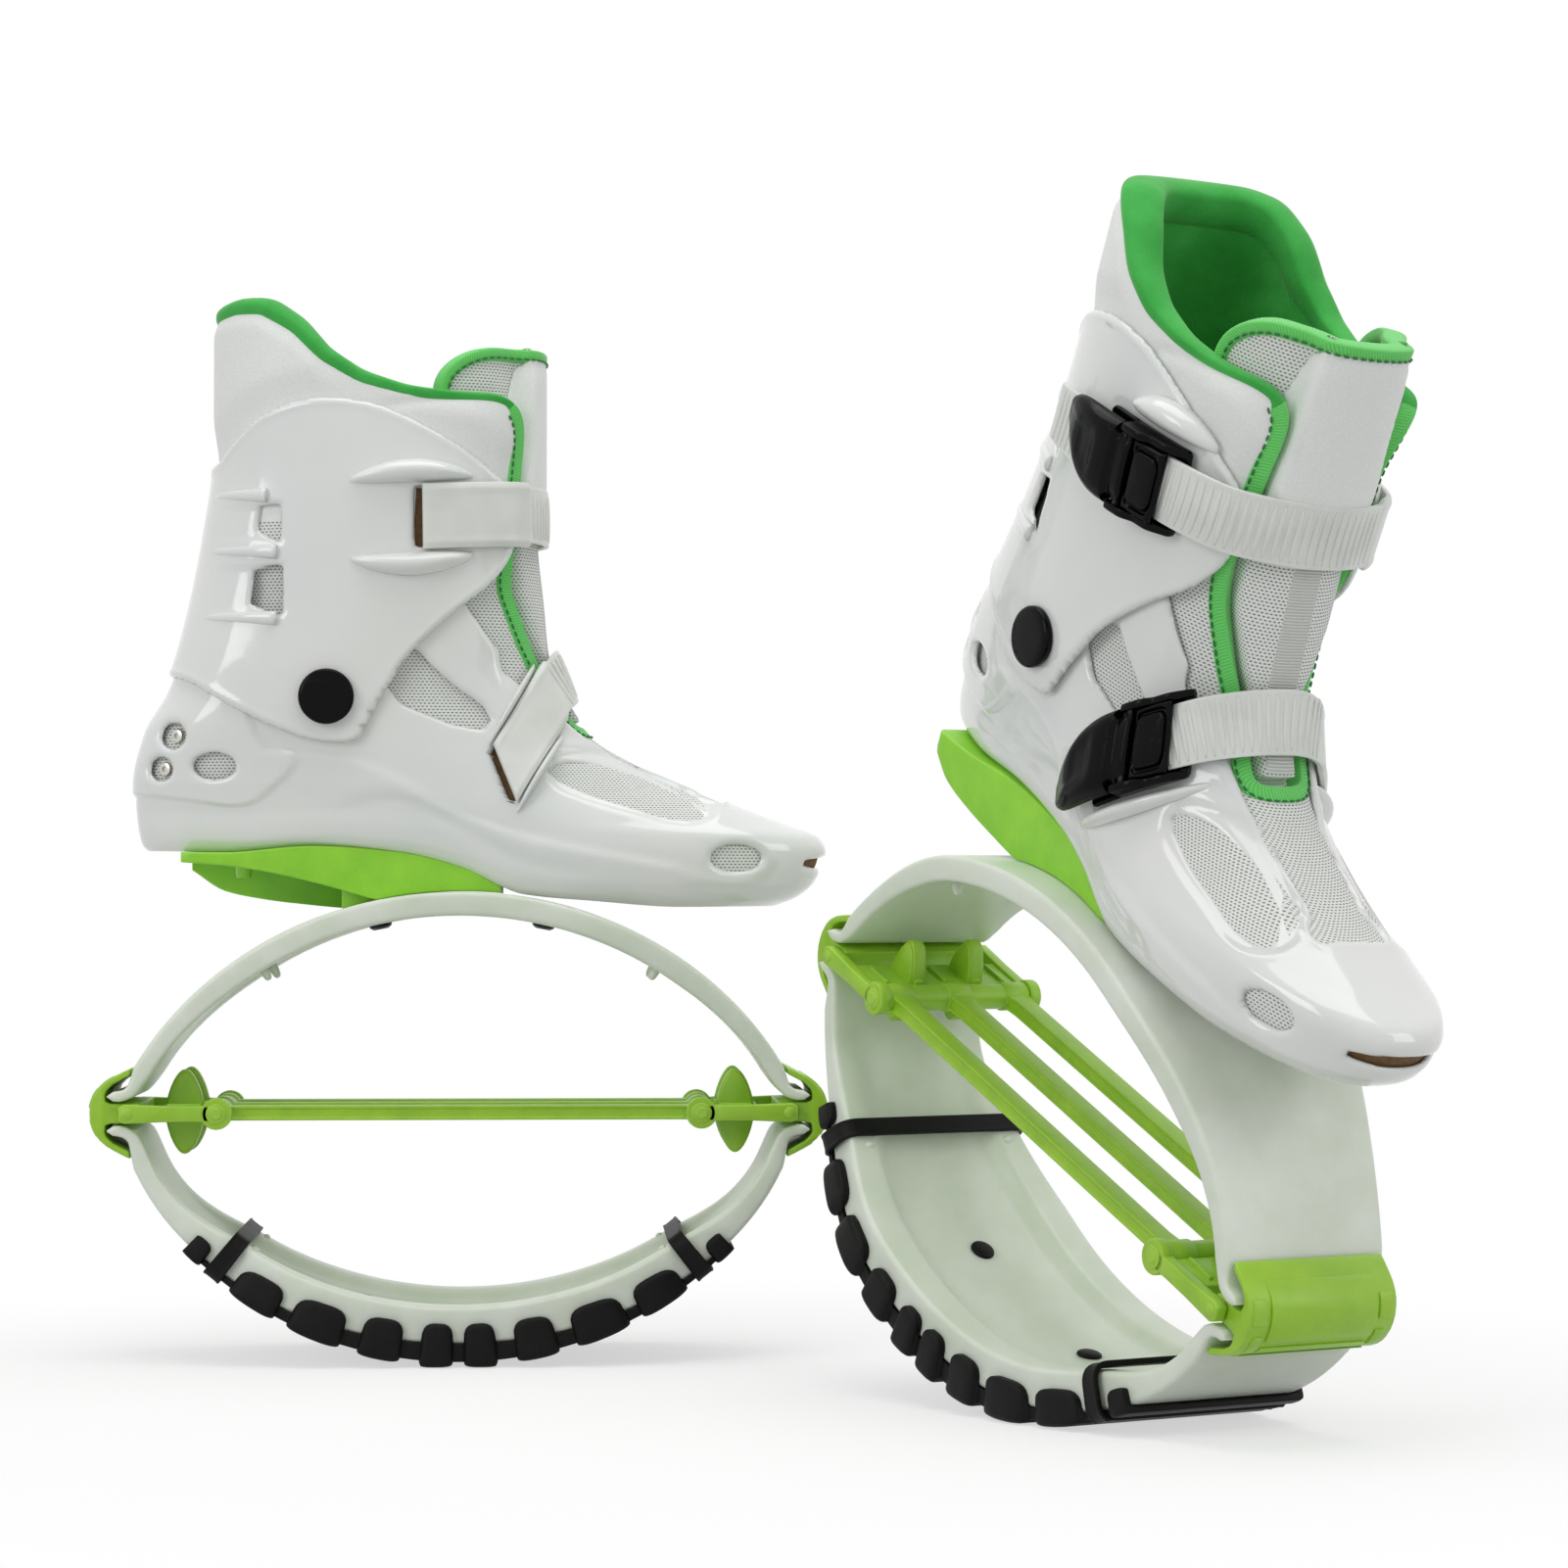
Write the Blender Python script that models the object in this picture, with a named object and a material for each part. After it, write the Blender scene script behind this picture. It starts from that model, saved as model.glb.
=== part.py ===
"""A pair of jumping shoes: two ankle boots, each on an oval spring of two plastic bows.

Each shoe is modelled in its own frame, toe along +X, lateral side along +Y, up along +Z,
with the origin on the ground under the middle of the spring. The left shoe stands level.
The right shoe is its mirror image, turned and rocked forward on its tread.
Lengths are in metres. Values whose name ends in share or shares are parts of other sizes.
"""
import math

import bmesh
import bpy
from mathutils import Matrix, Vector

for item in list(bpy.data.objects):
    bpy.data.objects.remove(item, do_unlink=True)

# Driving dimensions of the spring
hinge_height = 0.1125
bow_half_width = 0.0520
bow_end_half_width = 0.0385
upper_bow_reach = 0.1660
upper_bow_foot = 0.0502
lower_bow_reach = 0.1533
lower_bow_rise = 0.1118
tread_depth = 0.0101
upper_bow_thickness = 0.0108
lower_bow_thickness = 0.0165
bow_end_x = 0.1462
hook_x = 0.1580
hook_height = 0.0077
hook_thickness = 0.0044
trough_half_width = 0.0300
trough_slope = 0.0050
upper_trough_depth = 0.0030
lower_trough_depth = 0.0060
piece_gap = 0.0003

# Driving dimensions of the tread
tread_radius = lower_bow_reach * 1.1546
tread_web = 0.0018
lug_reach = 0.0032
lug_height = 0.0085
band_width = 0.0085
band_thickness = 0.0028
plug_radius = 0.0050
plug_head = 0.0022
plug_stem_radius = 0.0022
plug_spacing = 0.0900

# Driving dimensions of the hinges, end plates and tension bars
clamp_half_width = 0.0360
clamp_reach = 0.1660
clamp_half_height = 0.0203
clamp_web = 0.0044
clamp_pin_x = 0.1490
barrel_x = 0.1090
barrel_radius = 0.0070
arm_thickness = 0.0052
arm_half_height = 0.0036
end_plate_thickness = 0.0050
fin_x = 0.1250
fin_length = 0.0177
fin_half_height = 0.0192
fin_width = 0.0080
fin_spacing = 0.0300
bar_width = 0.0090
bar_half_height = 0.0033
bar_spacing = 0.0300
knuckle_radius = 0.0055
pin_radius = 0.0030
stud_radius = 0.0021
stud_depth = 0.0040
pin_clearance = 0.0003
fin_root_share = 0.62
fin_point_power = 1.3
fin_points = 10

# Driving dimensions of the boot
boot_length = 0.3168
heel_back = -0.1492
sole_height = 0.2060
bow_crown_rise = 0.0063
boot_height = 0.2720
heel_half_width = 0.0380
ball_half_width = 0.0500
shell_wall = 0.0030
sole_wall = 0.0060
cuff_wall = 0.0030
cuff_clearance = 0.0012
soft_gap = 0.0004
liner_wall = 0.0050
liner_sole = 0.0040
tongue_wing = 0.0042
footbed_thickness = 0.0040
arch_fade = 0.0560
pivot_x = -0.0600
pivot_height_share = 0.3456
pivot_cap_radius = 0.0125
pivot_cap_height = 0.0030
pivot_shank_radius = 0.0042
pivot_cap_taper_share = 0.93
bolt_spacing = 0.0720
bolt_head_radius = 0.0055
bolt_head_height = 0.0052
bolt_shank_radius = 0.0026
boss_radius = 0.0080
saddle_plate = 0.0030
saddle_wing = 0.0026
overrun = 0.0100

# Driving dimensions of the straps and buckles
strap_width = 0.0255
strap_thickness = 0.0024
buckle_base = 0.0020
buckle_half_width = 0.0168
cheek_thickness = 0.0024
buckle_pin_radius = 0.0016
lever_thickness = 0.0042
lever_rise = 0.0036
fin_reach = 0.0080
fin_thickness = 0.0036
fin_offset = 0.0028

# Heights that follow from the sole's height
upper_bow_crown = sole_height + bow_crown_rise
upper_bow_rise = upper_bow_crown - hinge_height + upper_bow_foot
pivot_z = sole_height + boot_height * pivot_height_share

# Where the two shoes stand
left_place = Vector((-0.1056, 0.1690, 0.0))
right_arc_place = Vector((0.1701, -0.0782, 0.0))
right_heading = math.radians(-60.9)
right_lean = math.radians(26.0)

# Resolution
bow_steps = 13
ring_count = 24
round_count = 12

made = {}


def finish_of(name, colour, roughness, metallic=0.0):
    """A plain material for one kind of surface."""
    material = bpy.data.materials.new(name)
    material.use_nodes = True
    shader = material.node_tree.nodes["Principled BSDF"]
    shader.inputs["Base Color"].default_value = (*colour, 1.0)
    shader.inputs["Roughness"].default_value = roughness
    shader.inputs["Metallic"].default_value = metallic
    material.diffuse_color = (*colour, 1.0)
    return material


bow_nylon = finish_of("bow_nylon", (0.78, 0.82, 0.74), 0.40)
lime_nylon = finish_of("lime_nylon", (0.27, 0.55, 0.05), 0.38)
tread_rubber = finish_of("tread_rubber", (0.012, 0.012, 0.012), 0.60)
shell_plastic = finish_of("shell_plastic", (0.76, 0.78, 0.76), 0.18)
strap_plastic = finish_of("strap_plastic", (0.72, 0.74, 0.70), 0.30)
buckle_plastic = finish_of("buckle_plastic", (0.008, 0.008, 0.008), 0.15)
liner_fabric = finish_of("liner_fabric", (0.73, 0.75, 0.74), 0.70)
lining_green = finish_of("lining_green", (0.04, 0.42, 0.07), 0.85)
steel = finish_of("steel", (0.55, 0.55, 0.55), 0.35, 1.0)


def solid_of(bm):
    """Turn a bmesh into a mesh with its faces pointing outwards."""
    bmesh.ops.recalc_face_normals(bm, faces=bm.faces)
    mesh = bpy.data.meshes.new("solid")
    bm.to_mesh(mesh)
    bm.free()
    return mesh


def skin(rings, strip_caps=False):
    """A closed solid through rings that have equally many points.

    With strip caps the ends may be arched, and each side face is split the same way in every layer.
    """
    bm = bmesh.new()
    rows = [[bm.verts.new(point) for point in ring] for ring in rings]
    count = len(rows[0])
    for low, high in zip(rows, rows[1:]):
        for k in range(count):
            after = (k + 1) % count
            if strip_caps:
                bm.faces.new((low[k], low[after], high[after]))
                bm.faces.new((low[k], high[after], high[k]))
            else:
                bm.faces.new((low[k], low[after], high[after], high[k]))
    for row in (rows[0], rows[-1]):
        if strip_caps:
            for k in range(count // 2 - 1):
                bm.faces.new((row[k], row[k + 1], row[count - 2 - k], row[count - 1 - k]))
        else:
            bm.faces.new(row)
    return solid_of(bm)


def side_prism(outline, low, high):
    """A side-view outline of (x, z) points, drawn out from y = low to y = high."""
    rings = [[Vector((x, y, z)) for x, z in outline] for y in (low, high)]
    return skin(rings)


def plan_prism(outline, low, high):
    """A plan outline of (x, y) points, drawn out from z = low to z = high."""
    rings = [[Vector((x, y, z)) for x, y in outline] for z in (low, high)]
    return skin(rings)


def block(low, high):
    """A box between two corners."""
    corners = ((low[0], low[1]), (high[0], low[1]), (high[0], high[1]), (low[0], high[1]))
    return plan_prism(corners, low[2], high[2])


def rod(start, end, radius, count=round_count, end_radius=None):
    """A round rod from start to end."""
    start = Vector(start)
    end = Vector(end)
    along = (end - start).normalized()
    side = along.orthogonal().normalized()
    other = along.cross(side)
    rings = []
    for centre, size in ((start, radius), (end, radius if end_radius is None else end_radius)):
        ring = []
        for k in range(count):
            turn = math.tau * (k + 0.5) / count
            ring.append(centre + side * (size * math.cos(turn)) + other * (size * math.sin(turn)))
        rings.append(ring)
    return skin(rings)


def combined(target, tool, operation):
    """The exact Boolean of two meshes."""
    body = bpy.data.objects.new("body", target)
    cutter = bpy.data.objects.new("cutter", tool)
    bpy.context.collection.objects.link(body)
    bpy.context.collection.objects.link(cutter)
    step = body.modifiers.new("step", "BOOLEAN")
    step.operation = operation
    step.object = cutter
    step.solver = "EXACT"
    bpy.context.view_layer.update()
    graph = bpy.context.evaluated_depsgraph_get()
    result = bpy.data.meshes.new_from_object(body.evaluated_get(graph))
    bpy.data.objects.remove(body, do_unlink=True)
    bpy.data.objects.remove(cutter, do_unlink=True)
    return result


def cut(target, *tools):
    """Take each tool away from the target."""
    for tool in tools:
        target = combined(target, tool, "DIFFERENCE")
    return target


def joined(target, *tools):
    """Add each tool to the target."""
    for tool in tools:
        target = combined(target, tool, "UNION")
    return target


def mirrored_x(mesh):
    """The same solid on the other side of the x = 0 plane."""
    copy = mesh.copy()
    copy.transform(Matrix.Diagonal((-1.0, 1.0, 1.0, 1.0)))
    copy.flip_normals()
    return copy


def blend(low, high, share):
    """The value at a share of the way from low to high."""
    return low + (high - low) * share


def eased(share):
    """A smooth step from 0 to 1."""
    share = min(max(share, 0.0), 1.0)
    return share * share * (3.0 - 2.0 * share)


def read_off(rows, x):
    """Read a broken line of (x, value) rows at x."""
    for (x0, v0), (x1, v1) in zip(rows, rows[1:]):
        if x <= x1:
            return blend(v0, v1, max(0.0, (x - x0) / (x1 - x0)))
    return rows[-1][1]


# The spring's two bows
lower_bow_bottom = tread_depth
hook_neck_shares = (
    (0.21, 1.62, 1.36), (0.38, 1.21, 1.18), (0.605, 1.026, 1.09), (0.80, 1.0, 1.14), (1.0, 1.0, 0.95),
)
bow_taper_start_share = 0.35
bow_end_thickness_share = 0.68
bow_tip_thickness_share = 1.9


def bow_arc(x, reach, rise):
    """How far the bow's outer face at x lies above the middle of its oval."""
    return rise * math.sqrt(max(0.0, 1.0 - (x / reach) ** 2))


def upper_bow_top(x):
    """Height of the upper bow's outer face at x."""
    return upper_bow_crown - upper_bow_rise + bow_arc(x, upper_bow_reach, upper_bow_rise)


def lower_bow_underside(x):
    """Height of the lower bow's outer face at x."""
    return lower_bow_bottom + lower_bow_rise - bow_arc(x, lower_bow_reach, lower_bow_rise)


def bow_half_width_at(x):
    """The bow narrows towards the hinges."""
    share = eased((abs(x) / bow_end_x - bow_taper_start_share) / (1.0 - bow_taper_start_share))
    return blend(bow_half_width, bow_end_half_width, share)


def bow_outline(height_of, thickness, up):
    """Stations (x, z, outward x, outward z, thickness) of one bow from rear hook to front hook."""
    half = []
    for k in range(bow_steps + 1):
        x = bow_end_x * math.sin(math.pi / 2 * k / bow_steps)
        near = bow_end_x * piece_gap
        slope = (height_of(x + near) - height_of(x - near)) / (2 * near)
        outward = Vector((-slope * up, up)).normalized()
        share = max(0.0, (x / bow_end_x - bow_end_thickness_share) / (1.0 - bow_end_thickness_share))
        thick = blend(thickness, hook_thickness * bow_tip_thickness_share, eased(share))
        half.append((Vector((x, height_of(x))), outward, thick))
    centre_x = half[-1][0].x - half[-1][1].x * half[-1][2] / 2
    path = []
    for along, rise, thick in hook_neck_shares:
        x = blend(centre_x, hook_x, along)
        path.append((Vector((x, hinge_height + up * hook_height * rise)), hook_thickness * thick))
    for k, (centre, thick) in enumerate(path):
        before = path[max(0, k - 1)][0]
        after = path[min(len(path) - 1, k + 1)][0]
        along = (after - before).normalized()
        outward = Vector((-along.y * up, along.x * up))
        if outward.y * up < 0:
            outward = -outward
        half.append((centre + outward * thick / 2, outward, thick))
    return half


def bow(height_of, thickness, trough, up):
    """One bow: a wide leaf with a trough along its inner face and a hook at each end."""
    half = bow_outline(height_of, thickness, up)
    stations = [(-1, row) for row in reversed(half[1:])] + [(1, row) for row in half]
    rings = []
    for side, (outer, outward, thick) in stations:
        x, z = outer.x * side, outer.y
        nx, nz = outward.x * side, outward.y
        width = bow_half_width_at(min(outer.x, bow_end_x))
        depth = trough * eased((bow_end_x - outer.x) / (bow_end_x * bow_taper_start_share))
        depth = max(depth, piece_gap)
        edge = trough_half_width * width / bow_half_width
        profile = (
            (-width, 0.0), (width, 0.0), (width, thick), (edge + trough_slope, thick),
            (edge, thick - depth), (-edge, thick - depth), (-edge - trough_slope, thick), (-width, thick),
        )
        rings.append([Vector((x - nx * down, y, z - nz * down)) for y, down in profile])
    return skin(rings)


# The tread and what holds it
knob_angles = tuple(math.radians(a) for a in (3.3, 11.8, 21.8, 31.9))
knob_half_angles = tuple(math.radians(a) for a in (2.25, 2.9, 4.0, 3.7))
end_pad_angles = tuple(math.radians(a) for a in (41.9, 44.6))
band_angle = math.radians(38.9)
knob_edge_angle = math.radians(0.5)
knob_waist_angle = math.radians(1.1)
knob_waist_share = 0.8
flat_angle = knob_angles[0] + knob_half_angles[0]
plug_taper_share = 0.8
web_side_share = 0.15
halvings = 40
least_radius_share = 0.5


def tread_stations():
    """Stations (angle, knob share) along half of the tread."""
    rows = [(0.0, 0.0)]
    for centre, half in zip(knob_angles, knob_half_angles):
        rows.append((centre - half - knob_edge_angle, 0.0))
        rows.append((centre - half, knob_waist_share))
        rows.append((centre - half + knob_waist_angle, 1.0))
        rows.append((centre + half - knob_waist_angle, 1.0))
        rows.append((centre + half, knob_waist_share))
        rows.append((centre + half + knob_edge_angle, 0.0))
    rows.append((end_pad_angles[0] - knob_edge_angle, 0.0))
    rows.append((end_pad_angles[0], knob_waist_share))
    rows.append((end_pad_angles[1], knob_waist_share))
    return rows


def arc_point(angle, radius):
    """A point on a circle about the tread's centre, in side view."""
    return Vector((radius * math.sin(angle), tread_radius - radius * math.cos(angle)))


def bow_radius_at(angle):
    """Distance from the tread's centre to the lower bow's outer face along one spoke."""
    low = tread_radius * least_radius_share
    high = tread_radius
    for _ in range(halvings):
        middle = (low + high) / 2
        point = arc_point(angle, middle)
        if point.y > lower_bow_underside(min(abs(point.x), lower_bow_reach)):
            low = middle
        else:
            high = middle
    return low


def tread():
    """The rubber tread: a web with knobs that lap up the sides of the lower bow."""
    half = tread_stations()
    stations = [(-angle, share) for angle, share in reversed(half[1:])] + half
    rings = []
    for angle, share in stations:
        bow_radius = bow_radius_at(abs(angle))
        inner = bow_radius + piece_gap
        outer = tread_radius - tread_web * (1.0 - share)
        if abs(angle) <= flat_angle:
            outer = outer / math.cos(angle)
        flank = bow_half_width_at(arc_point(abs(angle), bow_radius).x) + piece_gap
        side = flank + lug_reach * max(share, web_side_share)
        top = inner - lug_height * share - piece_gap
        profile = (
            (-side, outer), (side, outer), (side, top), (flank, top),
            (flank, inner), (-flank, inner), (-flank, top), (-side, top),
        )
        ring = []
        for y, radius in profile:
            point = arc_point(angle, radius)
            ring.append(Vector((point.x, y, point.y)))
        rings.append(ring)
    return joined(skin(rings), *tread_plugs())


def band(angle):
    """A rubber loop round the lower bow and the tread."""
    bow_radius = bow_radius_at(abs(angle))
    flank = bow_half_width_at(abs(arc_point(angle, bow_radius).x))
    clear = lug_reach * web_side_share + 5 * piece_gap
    inner_top = bow_radius - lower_bow_thickness - piece_gap
    inner_side = flank + clear
    inner_bottom = tread_radius - tread_web + piece_gap
    half_angle = band_width / 2 / bow_radius
    loops = []
    for extra in (0.0, band_thickness):
        top = inner_top - extra
        side = inner_side + extra
        bottom = inner_bottom + min(extra, tread_web - 2 * piece_gap)
        loops.append(((-side, bottom), (side, bottom), (side, top), (-side, top)))
    rings = []
    for loop, turn in ((0, -1), (0, 1), (1, 1), (1, -1)):
        ring = []
        for y, radius in loops[loop]:
            point = arc_point(angle + turn * half_angle, radius)
            ring.append(Vector((point.x, y, point.y)))
        rings.append(ring)
    bm = bmesh.new()
    rows = [[bm.verts.new(point) for point in ring] for ring in rings]
    for low, high in zip(rows, rows[1:] + rows[:1]):
        for k in range(4):
            after = (k + 1) % 4
            bm.faces.new((low[k], low[after], high[after], high[k]))
    return solid_of(bm)


def plug_places():
    """Where the tread's plugs cross the lower bow: (outer point, inward direction)."""
    places = []
    for side in (-1, 1):
        x = side * plug_spacing / 2
        near = piece_gap
        slope = (lower_bow_underside(x + near) - lower_bow_underside(x - near)) / (2 * near)
        inward = Vector((-slope, 0.0, 1.0)).normalized()
        places.append((Vector((x, 0.0, lower_bow_underside(x))), inward))
    return places


def tread_plugs():
    """The tread's pull-through studs: a stem through the bow and a head in its trough."""
    studs = []
    floor = lower_bow_thickness - lower_trough_depth
    for place, inward in plug_places():
        seat = place + inward * (floor + 2 * piece_gap)
        head = rod(seat, seat + inward * plug_head, plug_radius, end_radius=plug_radius * plug_taper_share)
        stem = rod(place - inward * tread_web, seat + inward * plug_head / 2, plug_stem_radius, 8)
        studs.append(joined(head, stem))
    return studs


def lower_bow():
    """The lower bow with the holes for the tread's plugs."""
    leaf = bow(lower_bow_underside, lower_bow_thickness, lower_trough_depth, -1)
    holes = []
    for place, inward in plug_places():
        start = place - inward * overrun
        end = place + inward * (lower_bow_thickness + overrun)
        holes.append(rod(start, end, plug_stem_radius + pin_clearance, 8))
    return cut(leaf, *holes)


# The hinges, the end plates and the tension bars
clamp_outer_shares = ((1.0, 0.0), (0.92, 0.345), (0.735, 0.591), (0.376, 0.813), (-0.06, 1.0))
clamp_inner_shares = ((-0.03, 0.84), (0.265, 0.709), (0.482, 0.586), (0.612, 0.404), (0.595, 0.26))
clamp_lip_share = 0.3
clamp_web_share = 0.30


def clamp():
    """The rear hinge: a curved block with a socket above and below for the bows' hooks."""
    reach = clamp_reach - clamp_pin_x
    tall = clamp_half_height
    outer = [(-(clamp_pin_x + reach * sx), tall * sz) for sx, sz in clamp_outer_shares]
    inner = [(-(clamp_pin_x + reach * sx), tall * sz) for sx, sz in clamp_inner_shares]
    lip_x = -(hook_x - hook_thickness * clamp_lip_share)
    web_x = -(clamp_pin_x - reach * clamp_web_share)
    upper = outer[1:] + inner + [(lip_x, clamp_web), (web_x, clamp_web)]
    lower = [(x, -z) for x, z in reversed(upper)]
    outline = [(x, hinge_height + z) for x, z in [outer[0]] + upper + lower]
    solid = side_prism(outline, -clamp_half_width, clamp_half_width)
    sockets = [stud(side, stud_radius + pin_clearance, stud_depth + piece_gap) for side in (-1, 1)]
    return cut(solid, *sockets)


def stud(side, radius, depth):
    """A stud of an end plate's arm, or the socket that it sits in."""
    start = clamp_half_width + piece_gap + arm_thickness / 2
    end = clamp_half_width + piece_gap - depth
    place = (-clamp_pin_x, side * start, hinge_height)
    return rod(place, (-clamp_pin_x, side * end, hinge_height), radius, 8)


def end_plate():
    """The rear end plate: a plate with two bump fins, and arms that hold the hinge and the spring."""
    arm_low = clamp_half_width + piece_gap
    arm_high = arm_low + arm_thickness
    arm_start = -(clamp_pin_x + arm_half_height)
    plate_start = -(fin_x + fin_length * fin_root_share)
    plate_end = -(barrel_x + knuckle_radius + 2 * piece_gap)
    pieces = []
    for side in (-1, 1):
        low, high = sorted((side * arm_low, side * arm_high))
        arm = block(
            (arm_start, low, hinge_height - arm_half_height),
            (-barrel_x, high, hinge_height + arm_half_height),
        )
        boss = rod((-barrel_x, low, hinge_height), (-barrel_x, high, hinge_height), barrel_radius, 16)
        pieces.extend((arm, boss, stud(side, stud_radius, stud_depth)))
    plate = block(
        (plate_start, -arm_low - piece_gap, hinge_height - end_plate_thickness / 2),
        (plate_end, arm_low + piece_gap, hinge_height + end_plate_thickness / 2),
    )
    solid = joined(plate, *pieces)
    for side in (-1, 1):
        middle = side * fin_spacing / 2
        outline = fin_outline()
        solid = joined(solid, side_prism(outline, middle - fin_width / 2, middle + fin_width / 2))
    return cut(solid, trunnion(-barrel_x, pin_radius + pin_clearance, overrun))


def fin_outline():
    """The pointed side view of a bump fin."""
    outline = []
    for k in range(fin_points):
        turn = math.tau * k / fin_points
        rise = math.copysign(abs(math.sin(turn)) ** fin_point_power, math.sin(turn))
        outline.append((-fin_x + fin_length / 2 * math.cos(turn), hinge_height + fin_half_height * rise))
    return outline


def trunnion(x, radius, extra):
    """The tension spring's round end journal across the arms, or the bore for it."""
    reach = clamp_half_width + piece_gap + arm_thickness + extra
    return rod((x, -reach, hinge_height), (x, reach, hinge_height), radius, 8)


def tension_spring():
    """The tension spring: three elastic bars between two barrels with journals at their ends."""
    reach = clamp_half_width
    pieces = []
    for x in (-barrel_x, barrel_x):
        barrel = rod((x, -reach, hinge_height), (x, reach, hinge_height), knuckle_radius, round_count)
        pieces.extend((barrel, trunnion(x, pin_radius, -piece_gap)))
    for row in (-1, 0, 1):
        low = row * bar_spacing - bar_width / 2
        pieces.append(block(
            (-barrel_x, low, hinge_height - bar_half_height),
            (barrel_x, low + bar_width, hinge_height + bar_half_height),
        ))
    return joined(*pieces)


# The last: the form that the shell, liner, cuff and tongue all follow
# Each row: height, rear end, front end, heel width and ball width
last_shares = (
    (0.000, 0.018, 0.925, 0.80, 0.80),
    (0.013, 0.011, 0.955, 0.88, 0.89),
    (0.040, 0.006, 0.983, 0.96, 0.97),
    (0.092, 0.002, 1.000, 1.00, 1.00),
    (0.115, 0.001, 0.990, 1.00, 0.99),
    (0.140, 0.000, 0.935, 1.00, 0.96),
    (0.202, 0.000, 0.800, 1.01, 0.88),
    (0.287, 0.016, 0.665, 1.08, 0.82),
    (0.357, 0.050, 0.622, 1.14, 0.80),
    (0.408, 0.066, 0.602, 1.16, 0.81),
    (0.511, 0.089, 0.592, 1.17, 0.84),
    (0.621, 0.107, 0.583, 1.19, 0.86),
    (0.750, 0.121, 0.582, 1.22, 0.88),
    (1.000, 0.121, 0.582, 1.27, 0.90),
)
last_roundness = 2.4
heel_zone_share = 0.30
ball_zone_share = 0.72
# The arch of the sole: distance along the boot from the heel, rise over the sole's height
arch_shares = (
    (0.000, 0.092), (0.132, 0.090), (0.260, 0.101), (0.388, 0.090),
    (0.480, 0.063), (0.529, 0.034), (0.560, 0.021), (0.660, 0.010), (0.790, 0.0), (1.000, 0.0),
)


def last_row(z):
    """The last's ends and half widths at height z."""
    share = (z - sole_height) / boot_height
    share = min(max(share, 0.0), 1.0)
    for low, high in zip(last_shares, last_shares[1:]):
        if share <= high[0]:
            part = (share - low[0]) / (high[0] - low[0])
            row = [blend(a, b, part) for a, b in zip(low, high)]
            break
    return (
        heel_back + boot_length * row[1], heel_back + boot_length * row[2],
        heel_half_width * row[3], ball_half_width * row[4],
    )


def width_profile(share, heel, ball):
    """Half width between heel and ball at a share of the length."""
    return blend(heel, ball, eased((share - heel_zone_share) / (ball_zone_share - heel_zone_share)))


def half_width(x, z, outset):
    """Half width of the last, grown by outset, at x and height z."""
    rear, front, heel, ball = last_row(z)
    middle = (rear + front) / 2
    reach = (front - rear) / 2 + outset
    off = abs(x - middle) / reach
    if off >= 1.0:
        return 0.0
    share = 0.5 + (x - middle) / reach / 2
    size = width_profile(share, heel, ball) + outset
    return size * (1.0 - off ** last_roundness) ** (1.0 / last_roundness)


def arch_rise(x):
    """How far the sole is arched up at x."""
    share = (x - heel_back) / boot_length
    return boot_height * read_off(arch_shares, share)


def arched(x, z):
    """Height of a point after the sole's arch is pressed in."""
    fade = max(0.0, 1.0 - max(0.0, z - sole_height) / arch_fade)
    return z + arch_rise(x) * fade


def last_ring(z, outset, count=ring_count):
    """The outline of the last at height z, grown by outset."""
    rear, front, heel, ball = last_row(z)
    middle = (rear + front) / 2
    reach = (front - rear) / 2 + outset
    power = 2.0 / last_roundness
    ring = []
    for k in range(count):
        turn = math.tau * (k + 0.5) / count
        along = math.copysign(abs(math.cos(turn)) ** power, math.cos(turn))
        across = math.copysign(abs(math.sin(turn)) ** power, math.sin(turn))
        size = width_profile(0.5 + along / 2, heel, ball) + outset
        x = middle + reach * along
        ring.append(Vector((x, size * across, arched(x, z))))
    return ring


def sole_floor(x):
    """Height of the shell's faceted underside at x."""
    ring = last_ring(sole_height, 0.0)
    half = [(point.x, point.z) for point in ring[: ring_count // 2]]
    return read_off(list(reversed(half)), x)


def last_heights(low, high):
    """The rows of the last between two heights, with both ends."""
    inside = [sole_height + boot_height * row[0] for row in last_shares]
    margin = 4 * piece_gap
    keep = [z for z in inside if low + margin < z < high - margin]
    return [low] + keep + [high]


def last_solid(low, high, outset_at):
    """A solid of the last between two heights; outset_at gives its growth at a height."""
    return skin([last_ring(z, outset_at(z)) for z in last_heights(low, high)], True)


shell_top_share = 0.511
shell_top = sole_height + boot_height * shell_top_share
throat_floor = sole_height + boot_height * 0.12
flank_window_share = 0.30
end_window_share = 0.12
liner_in_shell = shell_wall + soft_gap
liner_free = cuff_clearance - soft_gap


def along_boot(share):
    """x at a share of the boot's length from the heel."""
    return heel_back + boot_length * share


def up_boot(share):
    """z at a share of the boot's height above the sole."""
    return sole_height + boot_height * share


def boot_outline(shares):
    """Side-view points given as shares of the boot's length and height."""
    return [(along_boot(a), up_boot(b)) for a, b in shares]


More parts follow.
